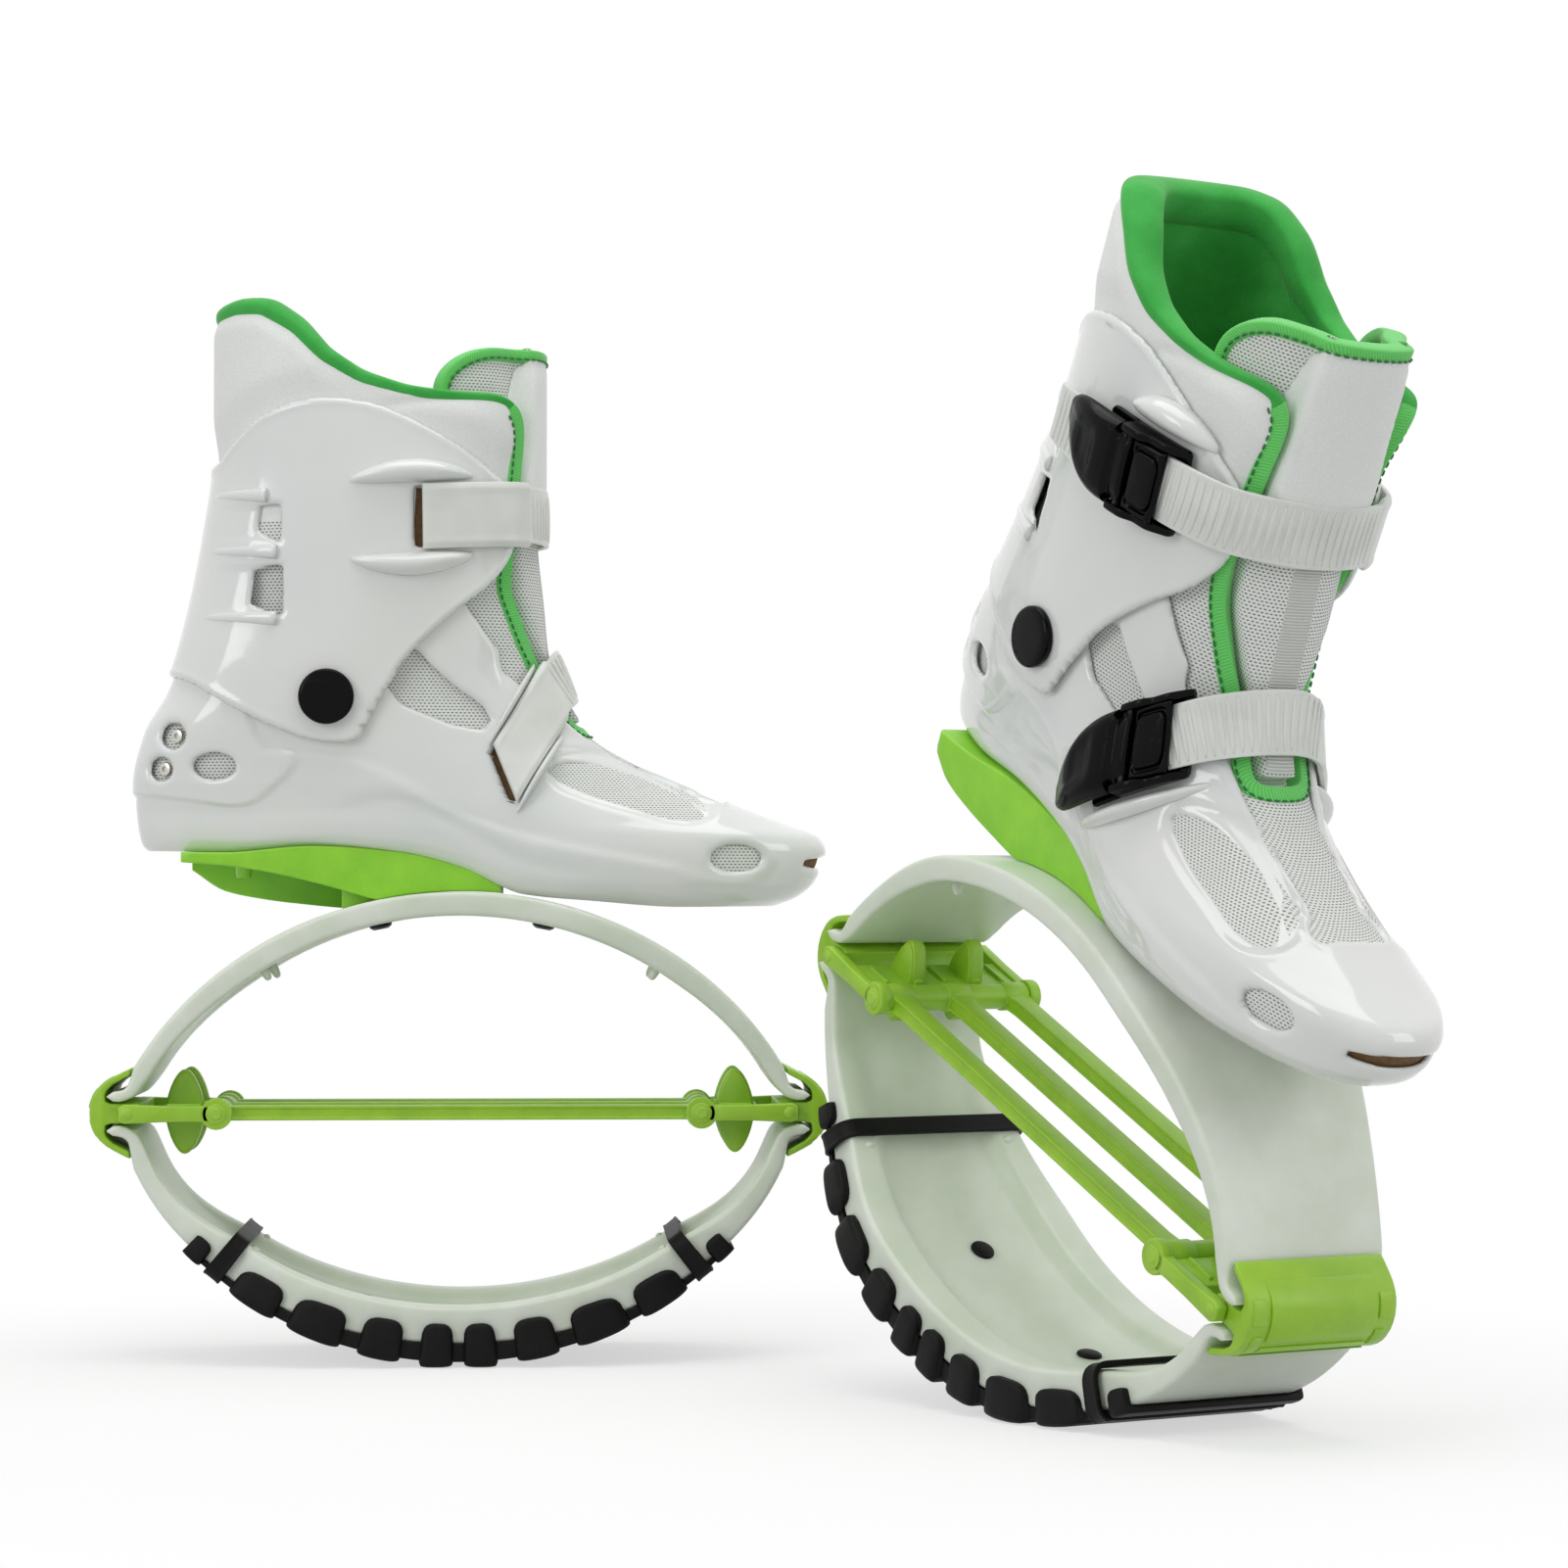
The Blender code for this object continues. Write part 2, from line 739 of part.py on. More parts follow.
# The edge of the shell under the cuff and up to the instep, rear to front
shell_edge_shares = (
    (-0.10, 0.425), (0.16, 0.435), (0.30, 0.475), (0.42, 0.500), (0.50, 0.509),
    (0.535, 0.500), (0.62, 0.400), (0.70, 0.400), (0.70, 0.60), (-0.10, 0.60),
)
ankle_window_shares = ((0.367, 0.355), (0.402, 0.424), (0.511, 0.322), (0.492, 0.296))
instep_window_shares = (
    (0.620, 0.249), (0.696, 0.242), (0.762, 0.211), (0.808, 0.172), (0.818, 0.158),
    (0.762, 0.153), (0.716, 0.171), (0.663, 0.184), (0.620, 0.215),
)
toe_window_shares = (0.867, 0.079, 0.036, 0.023)
heel_hole_shares = (
    (0.060, 0.283, 0.0178, 0.0206), (0.042, 0.228, 0.0162, 0.0188), (0.120, 0.232, 0.030, 0.0206),
)
throat_shares = (
    (0.45, 0.66), (0.515, 0.66), (0.585, 0.50), (0.615, 0.40), (0.665, 0.32), (0.77, 0.26),
    (0.815, 0.24), (0.820, 0.34), (0.845, 0.34), (0.850, 0.22),
)
liner_throat_shares = ((0.45, 0.58), (0.515, 0.58), (0.555, 0.50), (0.615, 0.37), (0.66, 0.29), (0.688, 0.25))
toe_slot_half_width = 0.0200
toe_slot_shares = (0.0625, 0.0775)
toe_slot_start_share = 0.93


def plan_throat(shares, inset):
    """A plan outline, symmetric about the boot's middle, from rows of length and width shares."""
    half = [(along_boot(a), ball_half_width * b - inset) for a, b in shares]
    return half + [(x, -y) for x, y in reversed(half)]


def oval(centre_x, centre_z, radius_x, radius_z, count=12):
    """A side-view oval."""
    points = []
    for k in range(count):
        turn = math.tau * k / count
        points.append((centre_x + radius_x * math.cos(turn), centre_z + radius_z * math.sin(turn)))
    return points


def both_sides(outline, inner, outer):
    """Two side-view prisms, one on each side of the boot."""
    return side_prism(outline, inner, outer), side_prism(outline, -outer, -inner)


def shell_windows():
    """Cutters for the openings in the shell's flanks."""
    outlines = [boot_outline(ankle_window_shares), boot_outline(instep_window_shares)]
    for a, b, ra, rb in (toe_window_shares,) + heel_hole_shares:
        outlines.append(oval(along_boot(a), up_boot(b), boot_length * ra, boot_height * rb))
    inner = [ball_half_width * flank_window_share] * 3 + [ball_half_width * end_window_share] * 3
    cutters = []
    for outline, start in zip(outlines, inner):
        cutters.extend(both_sides(outline, start, ball_half_width + overrun))
    return cutters


def pivot_half_width(outset):
    """Half width of the boot at the ankle pivot."""
    return half_width(pivot_x, pivot_z, outset)


def pivot_bore(reach):
    """The bore for the ankle rivets' shanks, right across the boot."""
    radius = pivot_shank_radius + pin_clearance
    return rod((pivot_x, -reach, pivot_z), (pivot_x, reach, pivot_z), radius, 10)


def boot_shell():
    """The hard shoe: a thin shell, open along the instep and at the ankle."""
    outer = last_solid(sole_height, shell_top + overrun / 2, lambda z: 0.0)
    inner = last_solid(sole_height + sole_wall, shell_top + overrun, lambda z: -shell_wall)
    edge = side_prism(boot_outline(shell_edge_shares), -ball_half_width * 2, ball_half_width * 2)
    throat = plan_prism(plan_throat(throat_shares, 0.0), throat_floor, shell_top + 2 * overrun)
    slot_low, slot_high = (up_boot(share) for share in toe_slot_shares)
    slot = block(
        (along_boot(toe_slot_start_share), -toe_slot_half_width, slot_low),
        (along_boot(1.0) + overrun, toe_slot_half_width, slot_high),
    )
    reach = pivot_half_width(0.0) + overrun
    pivot_hole = pivot_bore(reach)
    shell = cut(outer, inner, edge, throat, slot, pivot_hole, *shell_windows())
    shell = joined(shell, *shell_fins())
    front = bolt_spacing / 2
    boss_floor = upper_bow_top(front - boss_radius) + piece_gap
    boss = rod((front, 0.0, boss_floor), (front, 0.0, sole_floor(front) + sole_wall / 2), boss_radius)
    shell = joined(shell, boss)
    for x in (-front, front):
        start, end = bolt_ends(x)
        shell = cut(shell, rod(start, end + Vector((0, 0, overrun)), bolt_shank_radius + pin_clearance, 8))
    return shell


bolt_end_share = 0.4


def bolt_ends(x):
    """Start below the bow and end inside the sole of a sole bolt."""
    floor = upper_bow_top(x) - upper_bow_thickness + upper_trough_depth
    top = sole_floor(x) + sole_wall * bolt_end_share
    return Vector((x, 0.0, floor)), Vector((x, 0.0, top))


def sole_bolt(x):
    """A bolt that holds the upper bow and the saddle to the boot."""
    floor, top = bolt_ends(x)
    slant = abs(upper_bow_top(x + bolt_head_radius) - upper_bow_top(x - bolt_head_radius)) / 2
    seat = floor - Vector((0, 0, slant + 2 * piece_gap))
    head = rod(seat - Vector((0, 0, bolt_head_height - slant)), seat, bolt_head_radius)
    shank = rod(seat - Vector((0, 0, bolt_head_height / 3)), top, bolt_shank_radius, 8)
    return joined(head, shank)


def upper_bow():
    """The upper bow with the holes for the sole bolts."""
    leaf = bow(upper_bow_top, upper_bow_thickness, upper_trough_depth, 1)
    holes = []
    for x in (-bolt_spacing / 2, bolt_spacing / 2):
        floor, top = bolt_ends(x)
        reach = Vector((0, 0, overrun))
        holes.append(rod(floor - reach, top + reach, bolt_shank_radius + pin_clearance, 8))
    return cut(leaf, *holes)


# The saddle between the boot and the bow, rear to front
saddle_start_share = 0.073
saddle_end_share = 0.529
saddle_steps = 10
saddle_half_width_share = 0.84
saddle_least_share = 0.05
keel_start_share = 0.75
keel_width_share = 0.8
keel_steps = 7
medial_wing_shares = ((0.073, 0.072), (0.20, 0.055), (0.36, 0.008), (0.42, 0.0))
lateral_wing_shares = ((0.073, 0.060), (0.12, 0.025), (0.22, 0.004), (0.33, -0.006), (0.42, 0.0))


def saddle_profile(x):
    """Half width, top and wing bottoms of the saddle at x."""
    share = (x - heel_back) / boot_length
    bottom_ring = width_profile(share, heel_half_width, ball_half_width)
    width = bottom_ring * saddle_half_width_share
    top = sole_floor(x) - piece_gap
    bow_top = upper_bow_top(x) + 2 * piece_gap
    floor = top - saddle_plate
    medial = max(bow_top, min(floor, up_boot(read_off(medial_wing_shares, share))))
    lateral = max(bow_top, min(floor, up_boot(read_off(lateral_wing_shares, share))))
    return width, top, min(medial, floor), min(lateral, floor)


def saddle():
    """The green saddle: a plate under the sole with a wing on each side and a keel block."""
    rings = []
    start = along_boot(saddle_start_share)
    end = along_boot(saddle_end_share)
    least = saddle_plate * saddle_least_share
    bends = sorted(point.x for point in last_ring(sole_height, 0.0)[: ring_count // 2])
    places = sorted({blend(start, end, k / saddle_steps) for k in range(saddle_steps + 1)})
    places = sorted(places + [x for x in bends if start < x < end])
    for x in places:
        width, top, medial, lateral = saddle_profile(x)
        limit = upper_bow_top(x) + 2 * piece_gap
        floor = max(top - saddle_plate, limit)
        medial = max(min(medial, floor - least), limit - least)
        lateral = max(min(lateral, floor - least), limit - least)
        floor = max(floor, medial + least, lateral + least)
        wing = width - saddle_wing
        profile = (
            (-width, top), (-width, medial), (-wing, medial), (-wing, floor),
            (wing, floor), (wing, lateral), (width, lateral), (width, top),
        )
        rings.append([Vector((x, y, z)) for y, z in profile])
    solid = skin(rings)
    keel_start = -bolt_spacing * keel_start_share
    keel_points = []
    for k in range(keel_steps + 1):
        x = blend(keel_start, end - saddle_plate, k / keel_steps)
        keel_points.append((x, upper_bow_top(x) + piece_gap))
    back = [(x, sole_floor(x) - saddle_plate / 2) for x, z in reversed(keel_points)]
    keel_half = trough_half_width * keel_width_share
    solid = joined(solid, side_prism(keel_points + back, -keel_half, keel_half))
    low, high = bolt_ends(-bolt_spacing / 2)
    return cut(solid, rod(low, high + Vector((0, 0, overrun)), bolt_shank_radius + pin_clearance, 8))


# The straps, which follow the boot's surface in a slanted plane on each side
class Strap:
    """One ladder strap: where it crosses the middle, and how each side runs down from there."""

    def __init__(self, crown, crown_angle, angles, surface, runs, buckle_front):
        self.crown_z = crown
        self.crown_angle = crown_angle
        self.angles = dict(zip((-1, 1), angles))
        self.surface = surface
        self.runs = dict(zip((-1, 1), runs))
        self.buckle_front = buckle_front
        self.lines = {}
        for side in (-1, 1):
            for edge in (-1, 0, 1):
                self.lines[side, edge] = self.trace(side, edge * strap_width / 2)

    def outset(self, side, drop):
        """Distance from the last to the middle of the strap."""
        lift = self.surface + strap_clearance + strap_thickness / 2
        if side > 0:
            lift += buckle_base + buckle_gap
        return blend(crown_lift + strap_thickness / 2, lift, eased(drop / strap_ease))

    def trace(self, side, across):
        """Points along one line of the strap on one side, from the crown down."""
        angle = self.angles[side]
        down = Vector((-math.cos(angle), -math.sin(angle)))
        height = self.crown_z + across * math.cos(self.crown_angle)
        front = last_row(height)[1] + crown_lift + strap_thickness / 2
        rows = [Vector((front, 0.0, height))]
        for k in range(1, strap_samples + 1):
            drop = self.runs[side] * (k / strap_samples) ** 2
            x = front + down.x * drop
            z = height + down.y * drop
            rows.append(Vector((x, side * half_width(x, z, self.outset(side, drop)), z)))
        return rows

    def frame_at(self, distance):
        """Point, width direction and outward direction at a distance from the crown."""
        side = 1 if distance >= 0 else -1
        low, middle, high = (self.lines[side, edge] for edge in (-1, 0, 1))
        left = abs(distance)
        last = len(middle) - 2
        for k in range(len(middle) - 1):
            length = (middle[k + 1] - middle[k]).length
            if left <= length or k == last:
                break
            left -= length
        part = left / length
        point = middle[k].lerp(middle[k + 1], part)
        edge_low = low[k].lerp(low[k + 1], min(part, 1.0))
        edge_high = high[k].lerp(high[k + 1], min(part, 1.0))
        across = (edge_high - edge_low).normalized()
        along = (middle[k + 1] - middle[k]).normalized() * side
        along = Vector((0.0, 1.0, 0.0)).lerp(along, min(1.0, abs(distance) / strap_ease)).normalized()
        outward = along.cross(across).normalized()
        hollow = ((edge_low + edge_high) / 2 - point).dot(outward)
        return point + outward * max(0.0, hollow), across, outward

    def length(self, side):
        """Length of the middle line on one side."""
        rows = self.lines[side, 0]
        return sum((b - a).length for a, b in zip(rows, rows[1:]))

    def place(self, distance, across, outward):
        """A point by distance along, distance across and distance out from the middle line."""
        point, side, out = self.frame_at(distance)
        return point + side * across + out * outward


strap_ease = 0.0150
strap_samples = 40
upper_strap_z = up_boot(0.6544)
lower_strap_z = up_boot(0.3860)
strap_clearance = 0.0020
strap_foot = 0.0008
strap_foot_length = 0.0120
base_foot = 0.0012
base_foot_radius = 0.0045
buckle_gap = 0.0007
upper_crown_angle = math.radians(0.0)
lower_crown_angle = math.radians(34.0)
# Angles and runs are given for the medial side, then for the lateral side
upper_angles = (math.radians(3.0), math.radians(-3.0))
lower_angles = (math.radians(60.0), math.radians(40.0))
upper_runs = (0.0550, 0.1160)
lower_runs = (0.0520, 0.0860)
upper_buckle_front = 0.0640
lower_buckle_front = 0.0390
crown_lift = 0.0016
strap_steps = 24
strap_tail_share = 0.7
strap_foot_end_share = 0.01
strap_taper_share = 0.96
cuff_surface = cuff_clearance + cuff_wall

upper = Strap(
    upper_strap_z, upper_crown_angle, upper_angles, cuff_surface, upper_runs, upper_buckle_front
)
lower = Strap(lower_strap_z, lower_crown_angle, lower_angles, 0.0, lower_runs, lower_buckle_front)


def strap_loft(strap, rows, steps):
    """A solid along a strap; each row holds a distance and the (across, out) points of its section."""
    rings = []
    for k in range(steps + 1):
        share = k / steps
        distance = read_off([(row[0], row[1]) for row in rows], share)
        ring = []
        for point in range(2, len(rows[0])):
            across = read_off([(row[0], row[point][0]) for row in rows], share)
            out = read_off([(row[0], row[point][1]) for row in rows], share)
            ring.append(strap.place(distance, across, out))
        rings.append(ring)
    return skin(rings)


def strap_bar(strap, spans, steps):
    """A solid along a strap from rows (share, distance, low across, high across, low out, high out)."""
    rows = []
    for share, distance, low, high, inner, outer in spans:
        rows.append((share, distance, (low, inner), (high, inner), (high, outer), (low, outer)))
    return strap_loft(strap, rows, steps)


def strap_solid(strap):
    """The ladder strap: one band from its plate on the medial side to its tail."""
    medial = -strap.length(-1)
    lateral = strap.length(1)
    half = strap_width / 2
    thick = strap_thickness / 2
    tail = half * strap_tail_share
    foot_end = medial + strap_foot_length
    foot_share = strap_foot_length / (lateral - medial)
    spans = (
        (0.0, medial, -half, half, -thick - strap_foot, thick),
        (foot_share, foot_end, -half, half, -thick - strap_foot, thick),
        (foot_share + strap_foot_end_share, foot_end + strap_thickness, -half, half, -thick, thick),
        (strap_taper_share, blend(medial, lateral, strap_taper_share), -half, half, -thick, thick),
        (1.0, lateral, -tail, tail, -thick, thick),
    )
    return strap_bar(strap, spans, strap_steps)


# The buckle, in distances along its strap from the front of its base towards the tail
buckle_pin_ahead = 0.0260
buckle_length = 0.0550
lever_tail_half_width = 0.0060
pawl_length = 0.0140


def buckle_levels():
    """Distances out from the strap's middle line: base floor and top, deck, pin."""
    floor = -(strap_thickness / 2 + buckle_gap + buckle_base)
    deck = strap_thickness / 2 + piece_gap + tooth_room
    return floor, floor + buckle_base, deck


tooth_room = 0.0012
buckle_base_share = 0.86
cheek_past_share = 0.08
knuckle_share = 0.55
pawl_gap_share = 0.80
lever_past_share = 0.10
lever_end_share = 1.12
cheek_rise_share = 0.4
cheek_fall_share = 0.06
lever_step_share = 0.02
lever_crown_share = 0.45
lever_taper_share = 0.80
lever_narrow_share = 0.85
lever_slope_share = 0.7
lever_top_share = 0.9
pawl_nose_share = 0.25
pawl_edge_share = 0.45
pawl_thick_share = 0.8


def buckle_pin_line(strap):
    """The two ends of the lever's pin and its middle."""
    deck = buckle_levels()[2]
    at = strap.buckle_front + buckle_pin_ahead
    out = deck + lever_thickness / 2
    middle = strap.place(at, 0.0, out)
    side = strap.frame_at(at)[1]
    reach = buckle_half_width - piece_gap
    return middle - side * reach, middle + side * reach, middle


def base_stud(strap):
    """The round foot on which the base is riveted to the wall."""
    floor = buckle_levels()[0]
    at = strap.buckle_front + buckle_length / 2
    foot = strap.place(at, 0.0, floor - base_foot)
    return rod(foot, strap.place(at, 0.0, floor + buckle_base / 2), base_foot_radius, 10)


def buckle_base_solid(strap):
    """The fixed base: a plate under the strap with a cheek at each edge."""
    floor, top, deck = buckle_levels()
    wide = buckle_half_width
    inside = wide - cheek_thickness
    end = strap.buckle_front + buckle_length * buckle_base_share
    cheek_end = strap.buckle_front + buckle_pin_ahead + buckle_length * cheek_past_share
    part = (cheek_end - strap.buckle_front) / (end - strap.buckle_front)
    rows = []
    heights = (
        (0.0, deck), (cheek_rise_share, deck + lever_thickness), (part, deck + lever_thickness),
        (part + cheek_fall_share, top + piece_gap), (1.0, top + piece_gap),
    )
    for share, high in heights:
        rows.append((
            share, blend(strap.buckle_front, end, share), (-wide, floor), (wide, floor), (wide, high),
            (inside, high), (inside, top), (-inside, top), (-inside, high), (-wide, high),
        ))
    solid = joined(strap_loft(strap, rows, 10), base_stud(strap))
    start, finish, middle = buckle_pin_line(strap)
    along = (finish - start).normalized() * overrun
    return cut(solid, rod(start - along, finish + along, buckle_pin_radius + pin_clearance, 8))


def buckle_pin(strap):
    """The steel pin of the lever."""
    start, finish, middle = buckle_pin_line(strap)
    return rod(start, finish, buckle_pin_radius, 8)


def buckle_lever(strap):
    """The lever: a knuckle on the pin and a long pad over the strap's tail."""
    deck = buckle_levels()[2]
    pin_at = strap.buckle_front + buckle_pin_ahead
    knuckle = buckle_half_width - cheek_thickness - 3 * piece_gap
    wide = buckle_half_width
    start = pin_at - lever_thickness * knuckle_share
    past = pin_at + buckle_length * lever_past_share
    end = strap.buckle_front + buckle_length * lever_end_share
    low = deck
    high = deck + lever_thickness
    step = (past - start) / (end - start)
    rows = (
        (0.0, start, knuckle, low, high),
        (step, past, knuckle, low, high),
        (step + lever_step_share, past + piece_gap, wide, low, high),
        (lever_crown_share, blend(start, end, lever_crown_share), wide, low, high + lever_rise),
        (lever_taper_share, blend(start, end, lever_taper_share), wide * lever_narrow_share, low,
         high + lever_rise * lever_slope_share),
        (1.0, end, lever_tail_half_width, low + piece_gap, low + lever_rise),
    )
    rings = []
    for share, distance, half, inner, outer in rows:
        rings.append([
            strap.place(distance, -half, inner), strap.place(distance, half, inner),
            strap.place(distance, half * lever_top_share, outer),
            strap.place(distance, -half * lever_top_share, outer),
        ])
    solid = skin(rings)
    start, finish, middle = buckle_pin_line(strap)
    along = (finish - start).normalized() * overrun
    return cut(solid, rod(start - along, finish + along, buckle_pin_radius + pin_clearance, 8))


def buckle_pawl(strap):
    """The sprung release plate in front of the lever."""
    deck = buckle_levels()[2]
    wide = buckle_half_width - cheek_thickness - piece_gap
    end = strap.buckle_front + buckle_pin_ahead - lever_thickness * pawl_gap_share - piece_gap
    start = end - pawl_length
    edge = deck + lever_thickness * pawl_edge_share
    high = deck + lever_thickness * pawl_thick_share
    nose = blend(start, end, pawl_nose_share)
    spans = (
        (0.0, start, -wide, wide, deck, edge),
        (pawl_nose_share, nose, -wide, wide, deck, high),
        (1.0, end, -wide, wide, deck, high),
    )
    return strap_bar(strap, spans, 4)


fin_rise_shares = ((0.0, 0.05), (0.15, 0.55), (0.35, 0.85), (0.65, 1.0), (0.85, 0.75), (1.0, 0.05))
fin_front_share = 0.52
cuff_fin_rear_share = 1.35
lateral_fin_start_share = 0.30
lateral_fin_end_share = 0.85


def guard_fin(strap, start, end, across, surface, wall):
    """A curved fin beside a strap, standing on the wall under it."""
    side = 1 if start > 0 else -1
    rings = []
    for share, rise in fin_rise_shares:
        distance = blend(start, end, share)
        low = strap.place(distance, across - fin_thickness / 2, 0.0)
        high = strap.place(distance, across + fin_thickness / 2, 0.0)
        ring = []
        crest = fin_reach * rise
        for point, out in ((low, -wall / 2), (high, -wall / 2), (high, crest), (low, crest)):
            y = half_width(point.x, point.z, surface + min(out, 0.0)) + max(out, 0.0)
            ring.append(Vector((point.x, side * y, point.z)))
        rings.append(ring)
    return skin(rings)


def shell_fins():
    """The fins beside the lower strap: two on the medial side and one on the lateral side."""
    across = strap_width / 2 + fin_offset + fin_thickness / 2
    medial = -lower.length(-1)
    fins = []
    for side in (-1, 1):
        fins.append(guard_fin(lower, medial, medial * fin_front_share, side * across, 0.0, shell_wall))
    lateral_across = -(buckle_half_width + fin_offset + fin_thickness / 2)
    lateral = lower.length(1)
    start = lateral * lateral_fin_start_share
    end = lateral * lateral_fin_end_share
    fins.append(guard_fin(lower, start, end, lateral_across, 0.0, shell_wall))
    return fins


# The cuff round the ankle
cuff_outline_shares = (
    (-0.05, 0.395), (0.058, 0.390), (0.136, 0.334), (0.203, 0.296), (0.260, 0.272), (0.321, 0.269),
    (0.331, 0.280), (0.354, 0.334), (0.370, 0.364), (0.393, 0.410), (0.432, 0.456), (0.471, 0.495),
    (0.517, 0.533), (0.551, 0.590), (0.553, 0.660), (0.545, 0.697), (0.506, 0.735), (0.461, 0.769),
    (0.394, 0.804), (0.341, 0.821), (0.263, 0.826), (0.188, 0.805), (0.140, 0.756), (0.114, 0.727),
    (-0.05, 0.727),
)
cuff_window_shares = (((0.178, 0.608), (0.212, 0.663)), ((0.168, 0.486), (0.216, 0.562)))
cuff_rib_shares = ((0.115, 0.680), (0.120, 0.590), (0.115, 0.478))
cuff_rib_length_share = 0.085
cuff_rib_height = 0.0040
cuff_rib_reach = 0.0030
cuff_rib_rises = ((0.0, 0.1), (0.5, 0.8), (1.0, 1.0))
cuff_rib_tip_share = 0.4
cuff_rib_top_share = 0.5
cuff_floor_share = 0.24
cuff_ceiling_share = 0.86
cuff_window_start_share = 0.4


def cuff_rib(share, side):
    """A raised rib beside the cuff's windows."""
    start = along_boot(share[0])
    end = start + boot_length * cuff_rib_length_share
    z = up_boot(share[1])
    rings = []
    for part, rise in cuff_rib_rises:
        x = blend(start, end, part)
        wall = half_width(x, z, cuff_surface)
        inner = wall - cuff_wall / 2
        outer = wall + cuff_rib_reach * rise
        high = cuff_rib_height * blend(cuff_rib_tip_share, 1.0, part) / 2
        top = high * cuff_rib_top_share
        rings.append([
            Vector((x, side * inner, z - high)), Vector((x, side * inner, z + high)),
            Vector((x, side * outer, z + top)), Vector((x, side * outer, z - top)),
        ])
    return skin(rings)


def cuff():
    """The cuff: a thin collar, open in front, that swings on the ankle pivots."""
    low = up_boot(cuff_floor_share)
    high = up_boot(cuff_ceiling_share)
    outer = last_solid(low, high, lambda z: cuff_surface)
    inner = last_solid(low - overrun, high + overrun, lambda z: cuff_clearance)
    ring = cut(outer, inner)
    outline = boot_outline(cuff_outline_shares)
    collar = combined(ring, side_prism(outline, -ball_half_width * 2, ball_half_width * 2), "INTERSECT")
    windows = []
    for (a0, b0), (a1, b1) in cuff_window_shares:
        corners = boot_outline(((a0, b0), (a1, b0), (a1, b1), (a0, b1)))
        start = ball_half_width * cuff_window_start_share
        windows.extend(both_sides(corners, start, ball_half_width + 2 * overrun))
    collar = cut(collar, *windows)
    ribs = [cuff_rib(share, side) for share in cuff_rib_shares for side in (-1, 1)]
    across = strap_width / 2 + fin_offset + fin_thickness / 2
    medial = -upper.length(-1)
    fins = []
    for side in (-1, 1):
        start = medial * cuff_fin_rear_share
        end = medial * fin_front_share
        fins.append(guard_fin(upper, start, end, side * across, cuff_surface, cuff_wall))
    collar = joined(collar, *ribs, *fins)
    reach = pivot_half_width(cuff_surface) + overrun
    return cut(collar, pivot_bore(reach))


def pivot_rivet(side):
    """An ankle rivet: a round cap outside and a shank through cuff and shell."""
    face = 0.0
    for dx, dz in ((0, 0), (1, 0), (-1, 0), (0, 1), (0, -1)):
        x = pivot_x + dx * pivot_cap_radius
        z = pivot_z + dz * pivot_cap_radius
        face = max(face, half_width(x, z, cuff_surface))
    face += piece_gap
    inside = pivot_half_width(0.0) - shell_wall + piece_gap
    cap = rod(
        (pivot_x, side * face, pivot_z), (pivot_x, side * (face + pivot_cap_height), pivot_z),
        pivot_cap_radius, 20, pivot_cap_radius * pivot_cap_taper_share,
    )
    shank = rod(
        (pivot_x, side * inside, pivot_z), (pivot_x, side * (face + pivot_cap_height / 2), pivot_z),
        pivot_shank_radius, 10,
    )
    return joined(cap, shank)


# The soft boot inside
collar_edge_shares = (
    (-0.10, 0.985), (0.122, 0.985), (0.138, 1.0), (0.187, 0.997), (0.234, 0.963), (0.275, 0.915),
    (0.330, 0.878), (0.393, 0.858), (0.460, 0.850), (0.545, 0.846), (0.560, 0.832), (0.72, 0.832),
    (0.72, 1.10), (-0.10, 1.10),
)
tongue_edge_shares = (
    (0.30, 0.885), (0.46, 0.886), (0.49, 0.914), (0.53, 0.925), (0.70, 0.925), (0.70, 1.10), (0.30, 1.10),
)
tongue_wing_wall_share = 0.98
liner_throat_floor_share = 0.24
tongue_floor_share = 0.252
tongue_wing_floor_share = 0.63
tongue_wing_start_share = 0.464
tongue_plan_shares = ((0.515, 0.58), (0.555, 0.50), (0.615, 0.37), (0.66, 0.29), (0.688, 0.25))
liner_step_shares = (0.518, 0.600)


def liner_outset(z):
    """The liner fills the shell below and the cuff above."""
    low, high = (up_boot(share) for share in liner_step_shares)
    return blend(-liner_in_shell, liner_free, eased((z - low) / (high - low)))


def liner_heights(low, high):
    """Ring heights for the liner, with the step from shell to cuff."""
    rows = last_heights(low, high)
    rows += [up_boot(share) for share in liner_step_shares]
    return sorted(rows)


def liner():
    """The soft boot: a thick-walled sock, open at the top and down the front."""
    low = sole_height + sole_wall + soft_gap
    high = up_boot(1.0) + overrun / 2
    outer = skin([last_ring(z, liner_outset(z)) for z in liner_heights(low, high)], True)
    inner_rows = liner_heights(low + liner_sole, high + overrun)
    inner = skin([last_ring(z, liner_outset(z) - liner_wall) for z in inner_rows], True)
    edge = side_prism(boot_outline(collar_edge_shares), -ball_half_width * 2, ball_half_width * 2)
    floor = up_boot(liner_throat_floor_share)
    throat = plan_prism(plan_throat(liner_throat_shares, 0.0), floor, high + 2 * overrun)
    return cut(outer, inner, edge, throat)


